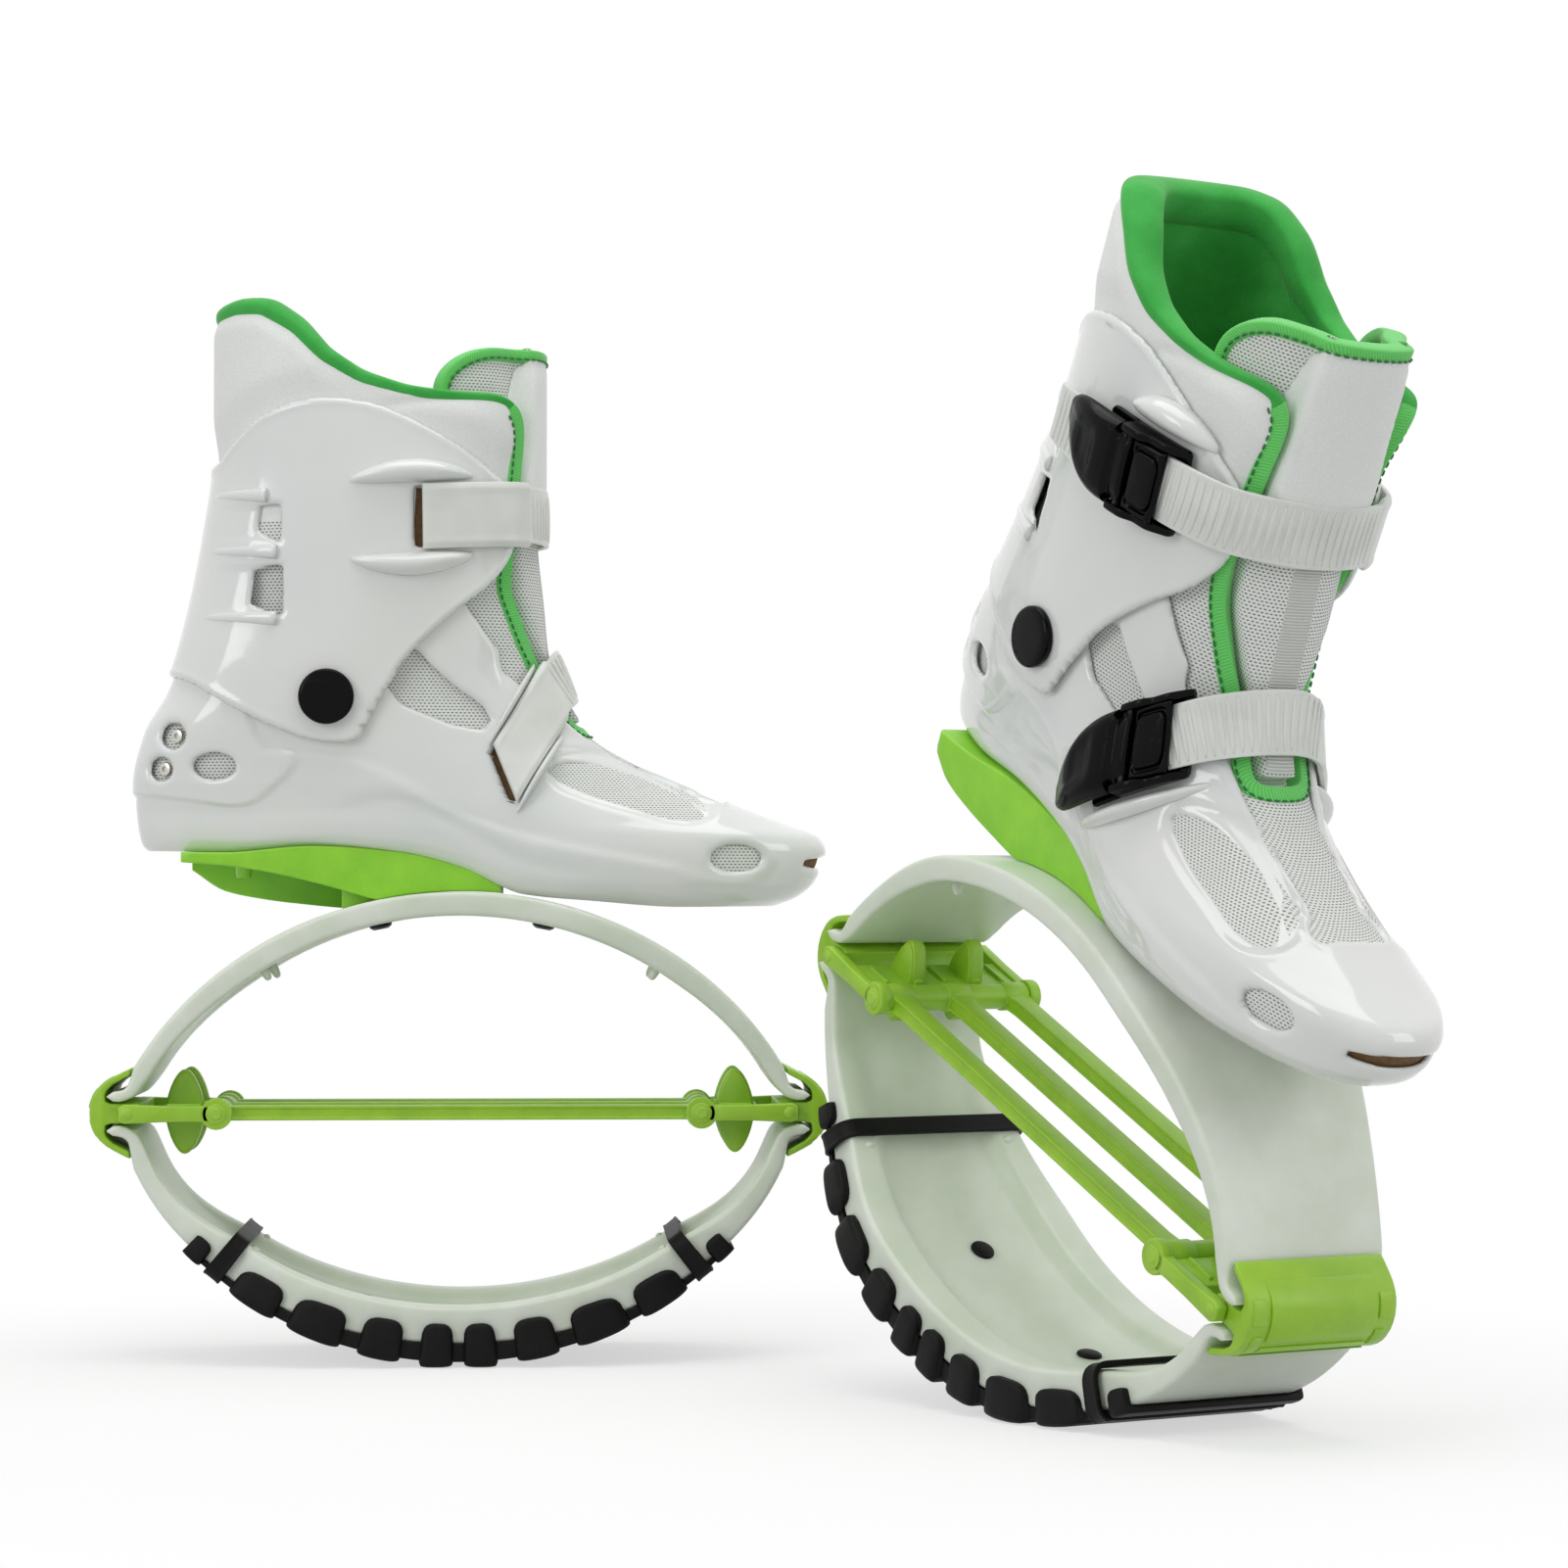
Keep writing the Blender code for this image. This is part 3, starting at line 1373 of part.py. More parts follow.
def tongue():
    """The padded tongue: a strip in the liner's front opening, with wings under the liner's flaps."""
    low = up_boot(tongue_floor_share)
    high = up_boot(1.0)
    back = liner_wall - liner_free + soft_gap
    outer = last_solid(low, high, lambda z: 0.0)
    inner = last_solid(low - overrun, high + overrun, lambda z: -back - tongue_wing)
    plan = plan_throat(tongue_plan_shares, soft_gap)
    strip = combined(cut(outer, inner), plan_prism(plan, low - overrun, high + overrun), "INTERSECT")
    wing_low = up_boot(tongue_wing_floor_share)
    start = along_boot(tongue_wing_start_share)
    wing_outer = last_solid(wing_low, high, lambda z: -back)
    wing_back = back + tongue_wing * tongue_wing_wall_share
    wing_inner = last_solid(wing_low - overrun, high + overrun, lambda z: -wing_back)
    room = block(
        (start, -ball_half_width, wing_low - overrun), (along_boot(1.0), ball_half_width, high + overrun)
    )
    wings = combined(cut(wing_outer, wing_inner), room, "INTERSECT")
    edge = side_prism(boot_outline(tongue_edge_shares), -ball_half_width * 2, ball_half_width * 2)
    return cut(joined(strip, wings), edge)


def footbed():
    """The insole that lies in the liner."""
    low = sole_height + sole_wall + liner_sole + 3 * soft_gap
    outset = -(liner_in_shell + liner_wall + 2 * soft_gap)
    return skin([last_ring(z, outset) for z in (low, low + footbed_thickness)], True)


# Where each body of a shoe turns or slides, in the shoe's frame
body_places = {
    "lower": Vector((0.0, 0.0, 0.0)),
    "link": Vector((0.0, 0.0, hinge_height)),
    "upper": Vector((0.0, 0.0, sole_height)),
    "cuff": Vector((pivot_x, 0.0, pivot_z)),
    "upper_strap": upper.place(upper_buckle_front, 0.0, 0.0),
    "lower_strap": lower.place(lower_buckle_front, 0.0, 0.0),
    "upper_lever": buckle_pin_line(upper)[2],
    "lower_lever": buckle_pin_line(lower)[2],
    "upper_pawl": buckle_pin_line(upper)[2],
    "lower_pawl": buckle_pin_line(lower)[2],
}
body_parents = {
    "lower": None, "link": "lower", "upper": "lower", "cuff": "upper",
    "upper_strap": "cuff", "lower_strap": "upper", "upper_lever": "cuff", "lower_lever": "upper",
    "upper_pawl": "cuff", "lower_pawl": "upper",
}


def shoe_pieces():
    """Every piece of the left shoe: name, body, mesh and material."""
    rear_clamp = clamp()
    rear_plate = end_plate()
    rows = [
        ("lower_bow", "lower", lower_bow(), bow_nylon),
        ("tread", "lower", tread(), tread_rubber),
        ("rear_band", "lower", band(-band_angle), tread_rubber),
        ("front_band", "lower", band(band_angle), tread_rubber),
        ("rear_hinge", "link", rear_clamp, lime_nylon),
        ("front_hinge", "link", mirrored_x(rear_clamp), lime_nylon),
        ("rear_end_plate", "link", rear_plate, lime_nylon),
        ("front_end_plate", "link", mirrored_x(rear_plate), lime_nylon),
        ("tension_spring", "link", tension_spring(), lime_nylon),
        ("upper_bow", "upper", upper_bow(), bow_nylon),
        ("saddle", "upper", saddle(), lime_nylon),
        ("rear_sole_bolt", "upper", sole_bolt(-bolt_spacing / 2), buckle_plastic),
        ("front_sole_bolt", "upper", sole_bolt(bolt_spacing / 2), buckle_plastic),
        ("boot_shell", "upper", boot_shell(), shell_plastic),
        ("liner", "upper", liner(), liner_fabric),
        ("tongue", "upper", tongue(), liner_fabric),
        ("footbed", "upper", footbed(), lining_green),
        ("cuff", "cuff", cuff(), shell_plastic),
        ("medial_pivot_rivet", "upper", pivot_rivet(-1), buckle_plastic),
        ("lateral_pivot_rivet", "upper", pivot_rivet(1), buckle_plastic),
    ]
    for place, strap, carrier in (("upper", upper, "cuff"), ("lower", lower, "upper")):
        rows += [
            (place + "_strap", place + "_strap", strap_solid(strap), strap_plastic),
            (place + "_buckle_base", carrier, buckle_base_solid(strap), buckle_plastic),
            (place + "_buckle_lever", place + "_lever", buckle_lever(strap), buckle_plastic),
            (place + "_buckle_pawl", place + "_pawl", buckle_pawl(strap), buckle_plastic),
            (place + "_buckle_pin", carrier, buckle_pin(strap), steel),
        ]
    return rows


def empty(name, parent, place):
    """An empty that carries the pieces of one body."""
    item = bpy.data.objects.new(name, None)
    item.empty_display_size = pivot_cap_radius
    bpy.context.collection.objects.link(item)
    item.parent = parent
    item.location = place
    return item


def add_shoe(side, pieces, matrix):
    """Place one shoe; the right one is the mirror image of the left one."""
    flip = Matrix.Diagonal((1.0, 1.0 if side == "left" else -1.0, 1.0, 1.0))
    root = empty(side + "_shoe", None, (0.0, 0.0, 0.0))
    root.matrix_world = matrix
    carriers = {}
    for body, place in body_places.items():
        parent = carriers[body_parents[body]] if body_parents[body] else root
        origin = body_places[body_parents[body]] if body_parents[body] else Vector((0.0, 0.0, 0.0))
        carriers[body] = empty(side + "_" + body + "_axis", parent, flip @ (place - origin))
    for name, body, mesh, material in pieces:
        copy = mesh.copy()
        copy.transform(Matrix.Translation(-body_places[body]))
        if side == "right":
            copy.transform(flip)
            copy.flip_normals()
        copy.materials.clear()
        copy.materials.append(material)
        item = bpy.data.objects.new(side + "_" + name, copy)
        bpy.context.collection.objects.link(item)
        item.parent = carriers[body]
        copy.shade_smooth()
        copy.set_sharp_from_angle(angle=math.radians(35.0))


def right_matrix():
    """The right shoe rocks about the tread's centre, which stays at its radius above the ground."""
    turn = Matrix.Rotation(right_heading, 4, "Z") @ Matrix.Rotation(right_lean, 4, "Y")
    centre = right_arc_place + Vector((0.0, 0.0, tread_radius))
    start = centre - (turn @ Vector((0.0, 0.0, tread_radius)))
    return Matrix.Translation(start) @ turn


pieces = shoe_pieces()
add_shoe("left", pieces, Matrix.Translation(left_place))
add_shoe("right", pieces, right_matrix())
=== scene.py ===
import math

import bmesh
import bpy
import numpy as np
from mathutils import Matrix, Vector


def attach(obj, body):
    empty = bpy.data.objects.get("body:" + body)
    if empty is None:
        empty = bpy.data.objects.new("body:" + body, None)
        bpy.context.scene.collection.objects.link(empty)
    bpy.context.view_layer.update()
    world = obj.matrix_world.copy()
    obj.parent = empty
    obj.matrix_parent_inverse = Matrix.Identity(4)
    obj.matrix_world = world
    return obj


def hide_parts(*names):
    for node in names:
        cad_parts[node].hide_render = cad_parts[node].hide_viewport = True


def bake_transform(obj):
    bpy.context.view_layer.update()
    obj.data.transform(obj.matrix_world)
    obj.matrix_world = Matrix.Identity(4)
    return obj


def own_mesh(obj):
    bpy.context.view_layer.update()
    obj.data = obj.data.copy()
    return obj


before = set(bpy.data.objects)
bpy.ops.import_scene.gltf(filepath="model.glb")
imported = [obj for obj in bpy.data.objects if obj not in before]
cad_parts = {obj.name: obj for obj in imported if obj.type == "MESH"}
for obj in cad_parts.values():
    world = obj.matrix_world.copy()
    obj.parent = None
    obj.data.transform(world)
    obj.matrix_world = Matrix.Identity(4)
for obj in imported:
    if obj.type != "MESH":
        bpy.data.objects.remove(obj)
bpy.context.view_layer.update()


# Studio
# A plain pale floor that runs on into a white background, lit by large soft lamps from above
# and from the camera's side, with the camera at the photograph's place.

def hex_colour(code):
    """An sRGB hex colour as the linear colour that a shader takes."""
    parts = [int(code[k:k + 2], 16) / 255 for k in (1, 3, 5)]
    return (*[p / 12.92 if p <= 0.04045 else ((p + 0.055) / 1.055) ** 2.4 for p in parts], 1.0)


def add(tree, kind, inputs=None, **settings):
    """Add one node with its settings; an input is given a value or joined to a socket."""
    node = tree.nodes.new(kind)
    for name, value in settings.items():
        setattr(node, name, value)
    for name, value in (inputs or {}).items():
        if isinstance(value, bpy.types.NodeSocket):
            tree.links.new(value, node.inputs[name])
        else:
            node.inputs[name].default_value = value
    return node


def new_finish(name):
    """An empty material, with its node tree and its shader."""
    material = bpy.data.materials.new(name)
    material.use_nodes = True
    return material, material.node_tree, material.node_tree.nodes["Principled BSDF"]


def background_seen(tree):
    """1 for the rays that show the background: from the camera, off gloss and through clear parts."""
    path = add(tree, "ShaderNodeLightPath")
    straight = add(tree, "ShaderNodeMath", {
        0: path.outputs["Is Camera Ray"], 1: path.outputs["Is Glossy Ray"]}, operation="MAXIMUM")
    every = add(tree, "ShaderNodeMath", {
        0: straight.outputs[0], 1: path.outputs["Is Transmission Ray"]}, operation="MAXIMUM")
    return every.outputs[0]


def painted_floor():
    """Matt studio paint: near white to the camera, a little darker to the object, and lost in the
    white background some way behind it."""
    material, tree, shader = new_finish("painted_studio_floor")
    seen = background_seen(tree)
    mix = add(tree, "ShaderNodeMix", {0: seen, 6: hex_colour("#C9CACA"), 7: hex_colour("#FEFEFE")},
              data_type="RGBA")
    tree.links.new(mix.outputs[2], shader.inputs["Base Color"])
    shader.inputs["Roughness"].default_value = 0.9
    shader.inputs["Specular IOR Level"].default_value = 0.1
    place = add(tree, "ShaderNodeTexCoord")
    far = add(tree, "ShaderNodeVectorMath", {0: place.outputs["Object"]}, operation="LENGTH")
    fade = add(tree, "ShaderNodeMapRange", {"Value": far.outputs["Value"], "From Min": 0.30, "From Max": 0.58,
                                           "To Min": 0.60}, interpolation_type="SMOOTHSTEP")
    part = add(tree, "ShaderNodeMath", {0: fade.outputs["Result"], 1: seen}, operation="MULTIPLY")
    white = add(tree, "ShaderNodeEmission", {"Color": hex_colour("#FFFFFF"), "Strength": 1.0})
    both = add(tree, "ShaderNodeMixShader", {0: part.outputs[0], 1: shader.outputs[0], 2: white.outputs[0]})
    tree.links.new(both.outputs[0], tree.nodes["Material Output"].inputs["Surface"])
    return material


floor_half = 30.0
floor_mesh = bpy.data.meshes.new("studio_floor")
floor_mesh.from_pydata(
    [(-floor_half, -floor_half, -0.0002), (floor_half, -floor_half, -0.0002),
     (floor_half, floor_half, -0.0002), (-floor_half, floor_half, -0.0002)], [], [(0, 1, 2, 3)])
floor_mesh.materials.append(painted_floor())
studio_floor = bpy.data.objects.new("studio_floor", floor_mesh)
bpy.context.scene.collection.objects.link(studio_floor)

world = bpy.data.worlds.new("white_studio")
bpy.context.scene.world = world
world.use_nodes = True
background = world.node_tree.nodes["Background"]
world_strength = add(world.node_tree, "ShaderNodeMapRange", {
    "Value": background_seen(world.node_tree), "To Min": 0.50, "To Max": 1.0})
background.inputs["Color"].default_value = hex_colour("#FFFFFF")
world.node_tree.links.new(world_strength.outputs["Result"], background.inputs["Strength"])


def soft_lamp(name, place, target, size, power):
    """A square softbox that points at a place."""
    light = bpy.data.lights.new(name, "AREA")
    light.shape = "SQUARE"
    light.size = size
    light.energy = power
    lamp = bpy.data.objects.new(name, light)
    lamp.location = place
    lamp.rotation_euler = (Vector(target) - Vector(place)).to_track_quat("-Z", "Y").to_euler()
    bpy.context.scene.collection.objects.link(lamp)


soft_lamp("overhead_softbox", (0.1, -0.2, 2.2), (0.0, 0.0, 0.2), 1.8, 20.0)
soft_lamp("left_softbox", (-1.9, -1.7, 1.3), (0.0, 0.0, 0.25), 1.2, 15.0)
soft_lamp("right_softbox", (2.0, -1.3, 0.9), (0.0, 0.0, 0.2), 1.0, 7.0)

camera_data = bpy.data.cameras.new("photo_camera")
camera_data.lens = 96.7
camera_data.sensor_width = 36.0
photo_camera = bpy.data.objects.new("photo_camera", camera_data)
photo_camera.location = (-0.0576, -1.776, 0.209)
photo_camera.rotation_euler = Vector((0.0515, 0.9983, 0.0273)).to_track_quat("-Z", "Y").to_euler()
bpy.context.scene.collection.objects.link(photo_camera)
bpy.context.scene.camera = photo_camera
bpy.context.scene.view_settings.view_transform = "Standard"


# Lower bow
# A wide leaf of natural nylon, injection moulded, with a trough along its inner face, rolled side
# edges and a hooked lip at each end that the hinge blocks grip.

left_stand = Matrix.Translation((-0.1056, 0.1690, 0.0))
tread_radius = 0.1770
right_turn = Matrix.Rotation(math.radians(-60.9), 4, "Z") @ Matrix.Rotation(math.radians(26.0), 4, "Y")
right_stand = (
    Matrix.Translation(Vector((0.1701, -0.0782, tread_radius)) - right_turn @ Vector((0, 0, tread_radius)))
    @ right_turn @ Matrix.Diagonal((1.0, -1.0, 1.0, 1.0))
)
stands = {"left": left_stand, "right": right_stand}


def mesh_of(points, faces, finish_index=None, flat_map=None):
    """A smooth mesh; flat_map gives each point a place in millimetres for patterns that follow it."""
    mesh = bpy.data.meshes.new("piece")
    mesh.from_pydata([tuple(map(float, p)) for p in points], [], [tuple(map(int, f)) for f in faces])
    if finish_index is not None:
        mesh.polygons.foreach_set("material_index", [int(i) for i in finish_index])
    if flat_map is not None:
        layer = mesh.uv_layers.new(name="surface_mm")
        corners = np.empty(len(mesh.loops), dtype=np.int64)
        mesh.loops.foreach_get("vertex_index", corners)
        layer.data.foreach_set("uv", np.asarray(flat_map, dtype=float)[corners].reshape(-1))
    mesh.shade_smooth()
    return mesh


def add_pieces(name, body, mesh, finishes, replaced=()):
    """Put a piece of the left shoe, and its mirror image, on the two shoes. Its body is a name, or
    two names and two places, which are not used: such a piece is fixed where it stands and does not bend."""
    made = []
    for side, stand in stands.items():
        copy = mesh.copy()
        copy.transform(stand)
        if side == "right":
            copy.flip_normals()
        for finish in finishes:
            copy.materials.append(finish)
        item = bpy.data.objects.new(side + "_" + name, copy)
        bpy.context.scene.collection.objects.link(item)
        if isinstance(body, str):
            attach(item, side + "_" + body)
        else:
            below, above, start, end = body
            tuple(stand @ Vector(start))
            tuple(stand @ Vector(end))
            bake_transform(item)
        if replaced:
            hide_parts(*[side + "_" + node for node in replaced])
        made.append((side, item))
    return made


def loft(rings, closed=True, capped=True):
    """Faces and points through rings of equally many points."""
    count = len(rings[0])
    points = [p for ring in rings for p in ring]
    faces = []
    for k in range(len(rings) - 1):
        for m in range(count if closed else count - 1):
            n = (m + 1) % count
            faces.append((k * count + m, k * count + n, (k + 1) * count + n, (k + 1) * count + m))
    if capped:
        faces.append(tuple(reversed(range(count))))
        faces.append(tuple((len(rings) - 1) * count + m for m in range(count)))
    return points, faces


def outward(mesh, merge=0.00002):
    """Merge doubles and turn every face outwards."""
    bm = bmesh.new()
    bm.from_mesh(mesh)
    bmesh.ops.remove_doubles(bm, verts=bm.verts, dist=merge)
    bmesh.ops.recalc_face_normals(bm, faces=bm.faces)
    bm.to_mesh(mesh)
    bm.free()
    return mesh


def eased(share):
    """A smooth step from 0 to 1."""
    share = min(max(float(share), 0.0), 1.0)
    return share * share * (3.0 - 2.0 * share)


def curve_through(rows, steps):
    """A smooth curve through rows of numbers, with even steps along it."""
    rows = np.array(rows, dtype=float)
    ends = np.vstack([2 * rows[0] - rows[1], rows, 2 * rows[-1] - rows[-2]])
    dense = []
    for k in range(1, len(ends) - 2):
        for t in np.linspace(0, 1, 12, endpoint=False):
            a, b, c, d = ends[k - 1:k + 3]
            dense.append(0.5 * (2 * b + (c - a) * t + (2 * a - 5 * b + 4 * c - d) * t ** 2
                                + (3 * b - a - 3 * c + d) * t ** 3))
    dense.append(rows[-1])
    dense = np.array(dense)
    gone = np.concatenate([[0], np.cumsum(np.linalg.norm(np.diff(dense[:, :3], axis=0), axis=1))])
    at = np.linspace(0, gone[-1], steps)
    return np.column_stack([np.interp(at, gone, column) for column in dense.T])


def soft_corners(outline, radii, steps=3):
    """Round each corner of a closed outline by its radius."""
    outline = [np.array(p, dtype=float) for p in outline]
    count = len(outline)
    done = []
    for k, point in enumerate(outline):
        before, after = outline[k - 1], outline[(k + 1) % count]
        radius = radii[k] if isinstance(radii, (list, tuple)) else radii
        room_a = np.linalg.norm(before - point) * 0.45
        room_b = np.linalg.norm(after - point) * 0.45
        start = point + (before - point) / max(np.linalg.norm(before - point), 1e-9) * min(radius, room_a)
        end = point + (after - point) / max(np.linalg.norm(after - point), 1e-9) * min(radius, room_b)
        for t in np.linspace(0, 1, steps + 1):
            done.append((1 - t) ** 2 * start + 2 * t * (1 - t) * point + t ** 2 * end)
    return done


hinge_height = 0.1125
bow_end_x = 0.1462
hook_x = 0.1580


def upper_bow_top(x):
    """Height of the upper bow's outer face at x."""
    return 0.0623 + 0.1500 * math.sqrt(max(0.0, 1.0 - (x / 0.1660) ** 2))


def lower_bow_underside(x):
    """Height of the lower bow's outer face at x."""
    return 0.1219 - 0.1118 * math.sqrt(max(0.0, 1.0 - (x / 0.1533) ** 2))


def bow_half_width(x):
    """The leaf narrows towards the hinges."""
    return 0.0520 - 0.0135 * eased((abs(x) / bow_end_x - 0.35) / 0.65)


def bow_leaf(height_of, thickness, trough, up):
    """A bow from hook to hook, with a rounded rim and a trough along its inner face."""
    half = []
    for k in range(19):
        x = bow_end_x * math.sin(math.pi / 2 * k / 18)
        near = 0.00005
        slope = (height_of(x + near) - height_of(x - near)) / (2 * near)
        out = Vector((-slope * up, up)).normalized()
        thick = thickness + (0.00836 - thickness) * eased(max(0.0, x / bow_end_x - 0.68) / 0.32)
        deep = trough * eased((bow_end_x - x) / (bow_end_x * 0.35))
        half.append((x - out.x * thick / 2, height_of(x) - out.y * thick / 2, 0.0, thick, bow_half_width(x), deep))
    centre_x = half[-1][0]
    for along, rise, thick in ((0.21, 1.62, 1.36), (0.38, 1.21, 1.18), (0.605, 1.026, 1.09), (0.80, 1.0, 1.14),
                               (1.0, 1.0, 0.95)):
        half.append((centre_x + (hook_x - centre_x) * along, hinge_height + up * 0.0077 * rise, 0.0,
                     0.0044 * thick, 0.0385, 0.0))
    rows = [(-r[0], *r[1:]) for r in reversed(half[1:])] + half
    rows = curve_through(rows, 150)
    tangents = np.gradient(rows[:, :2], axis=0)
    rings = []
    for k, (x, z, _, thick, wide, deep) in enumerate(rows):
        along = Vector(tangents[k]).normalized()
        out = Vector((-along.y, along.x))
        if out.y * up < 0 and abs(x) < 0.1:
            out = -out
        if abs(x) >= 0.1:
            out = Vector((-along.y, along.x)) * up
        tip = min(k, len(rows) - 1 - k)
        closing = math.sqrt(1.0 - (1.0 - min(tip / 2.0, 1.0)) ** 2) * 0.85 + 0.15 if tip < 2 else 1.0
        top, low = thick / 2 * closing, -thick / 2 * closing
        rim = min(0.0024, thick * 0.38)
        edge = 0.0300 * wide / 0.0520
        outline = [(-wide, top), (wide, top), (wide, low), (edge + 0.006, low), (edge, low + deep),
                   (-edge, low + deep), (-edge - 0.006, low), (-wide, low)]
        section = soft_corners(outline, [rim, rim, rim, 0.003, 0.003, 0.003, 0.003, rim], 4)
        rings.append([(x + out.x * q, y, z + out.y * q) for y, q in section])
    points, faces = loft(rings)
    return outward(mesh_of(points, faces))


def natural_nylon():
    """Natural nylon 6, injection moulded: milky and slightly translucent, greener and darker where it
    is thick, with a satin skin and faint flow marks some centimetres long."""
    material, tree, shader = new_finish("natural_moulded_nylon")
    place = add(tree, "ShaderNodeTexCoord")
    flow = add(tree, "ShaderNodeTexNoise", {
        "Vector": add(tree, "ShaderNodeMapping", {"Vector": place.outputs["Object"], "Scale": (1.0, 0.35, 1.0)}
                      ).outputs[0], "Scale": 38.0, "Detail": 4.0, "Roughness": 0.55})
    tone = add(tree, "ShaderNodeValToRGB", {"Fac": flow.outputs["Fac"]})
    tone.color_ramp.elements[0].position = 0.30
    tone.color_ramp.elements[0].color = hex_colour("#D9E2D0")
    tone.color_ramp.elements[1].position = 0.70
    tone.color_ramp.elements[1].color = hex_colour("#E9EEE4")
    tree.links.new(tone.outputs["Color"], shader.inputs["Base Color"])
    grain = add(tree, "ShaderNodeTexNoise", {"Vector": place.outputs["Object"], "Scale": 1400.0, "Detail": 2.0})
    wave = add(tree, "ShaderNodeTexNoise", {"Vector": place.outputs["Object"], "Scale": 120.0, "Detail": 1.0})
    gloss = add(tree, "ShaderNodeMapRange", {"Value": flow.outputs["Fac"], "To Min": 0.30, "To Max": 0.44})
    tree.links.new(gloss.outputs["Result"], shader.inputs["Roughness"])
    low = add(tree, "ShaderNodeBump", {"Height": wave.outputs["Fac"], "Strength": 0.10, "Distance": 0.0006})
    fine = add(tree, "ShaderNodeBump", {"Height": grain.outputs["Fac"], "Strength": 0.06, "Distance": 0.0002,
                                        "Normal": low.outputs["Normal"]})
    tree.links.new(fine.outputs["Normal"], shader.inputs["Normal"])
    shader.inputs["IOR"].default_value = 1.53
    shader.inputs["Subsurface Weight"].default_value = 0.25
    shader.inputs["Subsurface Radius"].default_value = (0.8, 1.0, 0.6)
    shader.inputs["Subsurface Scale"].default_value = 0.004
    return material


bow_nylon = natural_nylon()
lower_leaf = bow_leaf(lower_bow_underside, 0.0165, 0.0060, -1)


def nib(place, length, width, height, lean=0.0):
    """A small rounded stop moulded on a face, standing up along z before it is turned."""
    rings = []
    for share, size in ((0.0, 1.0), (0.55, 0.92), (0.85, 0.72), (1.0, 0.40)):
        ring = []
        for k in range(12):
            turn = math.tau * k / 12
            point = Vector((math.cos(turn) * length / 2 * size, math.sin(turn) * width / 2 * size, height * share))
            ring.append(Vector(place) + Matrix.Rotation(lean, 3, "Y") @ point)
        rings.append(ring)
    return loft(rings)


def joined_parts(parts):
    """One mesh of several lofted parts."""
    points, faces = [], []
    for part_points, part_faces in parts:
        start = len(points)
        points += list(part_points)
        faces += [tuple(start + i for i in f) for f in part_faces]
    return points, faces


band_stops = []
for side in (-1, 1):
    for across in (-1, 1):
        x = side * 0.0935
        z = lower_bow_underside(x) + 0.0150
        band_stops.append(nib((x, across * 0.036, z), 0.0045, 0.0060, 0.0048, side * -0.62))
lower_stops = outward(mesh_of(*joined_parts(band_stops)))

for side, item in add_pieces("lower_bow_leaf", "lower", lower_leaf, [bow_nylon], ["lower_bow"]):
    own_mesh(item)
for side, item in add_pieces("band_stops", "lower", lower_stops, [bow_nylon], ()):
    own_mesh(item)


# Upper bow
# The second leaf, thinner and flatter on top where the boot is bolted to it, moulded in the same
# nylon, with small stops on its inner face.

upper_leaf = bow_leaf(upper_bow_top, 0.0108, 0.0030, 1)
upper_stop_parts = []
for side in (-1, 1):
    for across in (-1, 1):
        x = side * 0.0890
        upper_stop_parts.append(nib((x, across * 0.030, upper_bow_top(x) - 0.0110), 0.0045, 0.0050, -0.0062, side * 0.5))
upper_stops = outward(mesh_of(*joined_parts(upper_stop_parts)))


def squash_on_bounce(item):
    """Give the piece its own mesh; the bow is not flattened."""
    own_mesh(item)


for name, mesh, nodes in (("upper_bow_leaf", upper_leaf, ["upper_bow"]), ("upper_bow_stops", upper_stops, ())):
    for side, item in add_pieces(name, "upper", mesh, [bow_nylon], nodes):
        squash_on_bounce(item)


# Tread
# One strip of black rubber, compression moulded: a thin web with square knobs that lap up the sides
# of the lower bow, and studs pulled through two holes so that it stays on.

lower_bow_thickness = 0.0165
knob_rows = [(math.radians(a), math.radians(h)) for a, h in ((3.3, 2.5), (11.8, 3.2), (21.8, 4.2), (31.9, 3.9))]


def bow_radius_at(angle):
    """Distance from the tread's centre to the lower bow's outer face along one spoke."""
    low, high = tread_radius * 0.5, tread_radius
    for _ in range(30):
        middle = (low + high) / 2
        x, z = middle * math.sin(angle), tread_radius - middle * math.cos(angle)
        if z > lower_bow_underside(min(abs(x), 0.1533)):
            low = middle
        else:
            high = middle
    return low


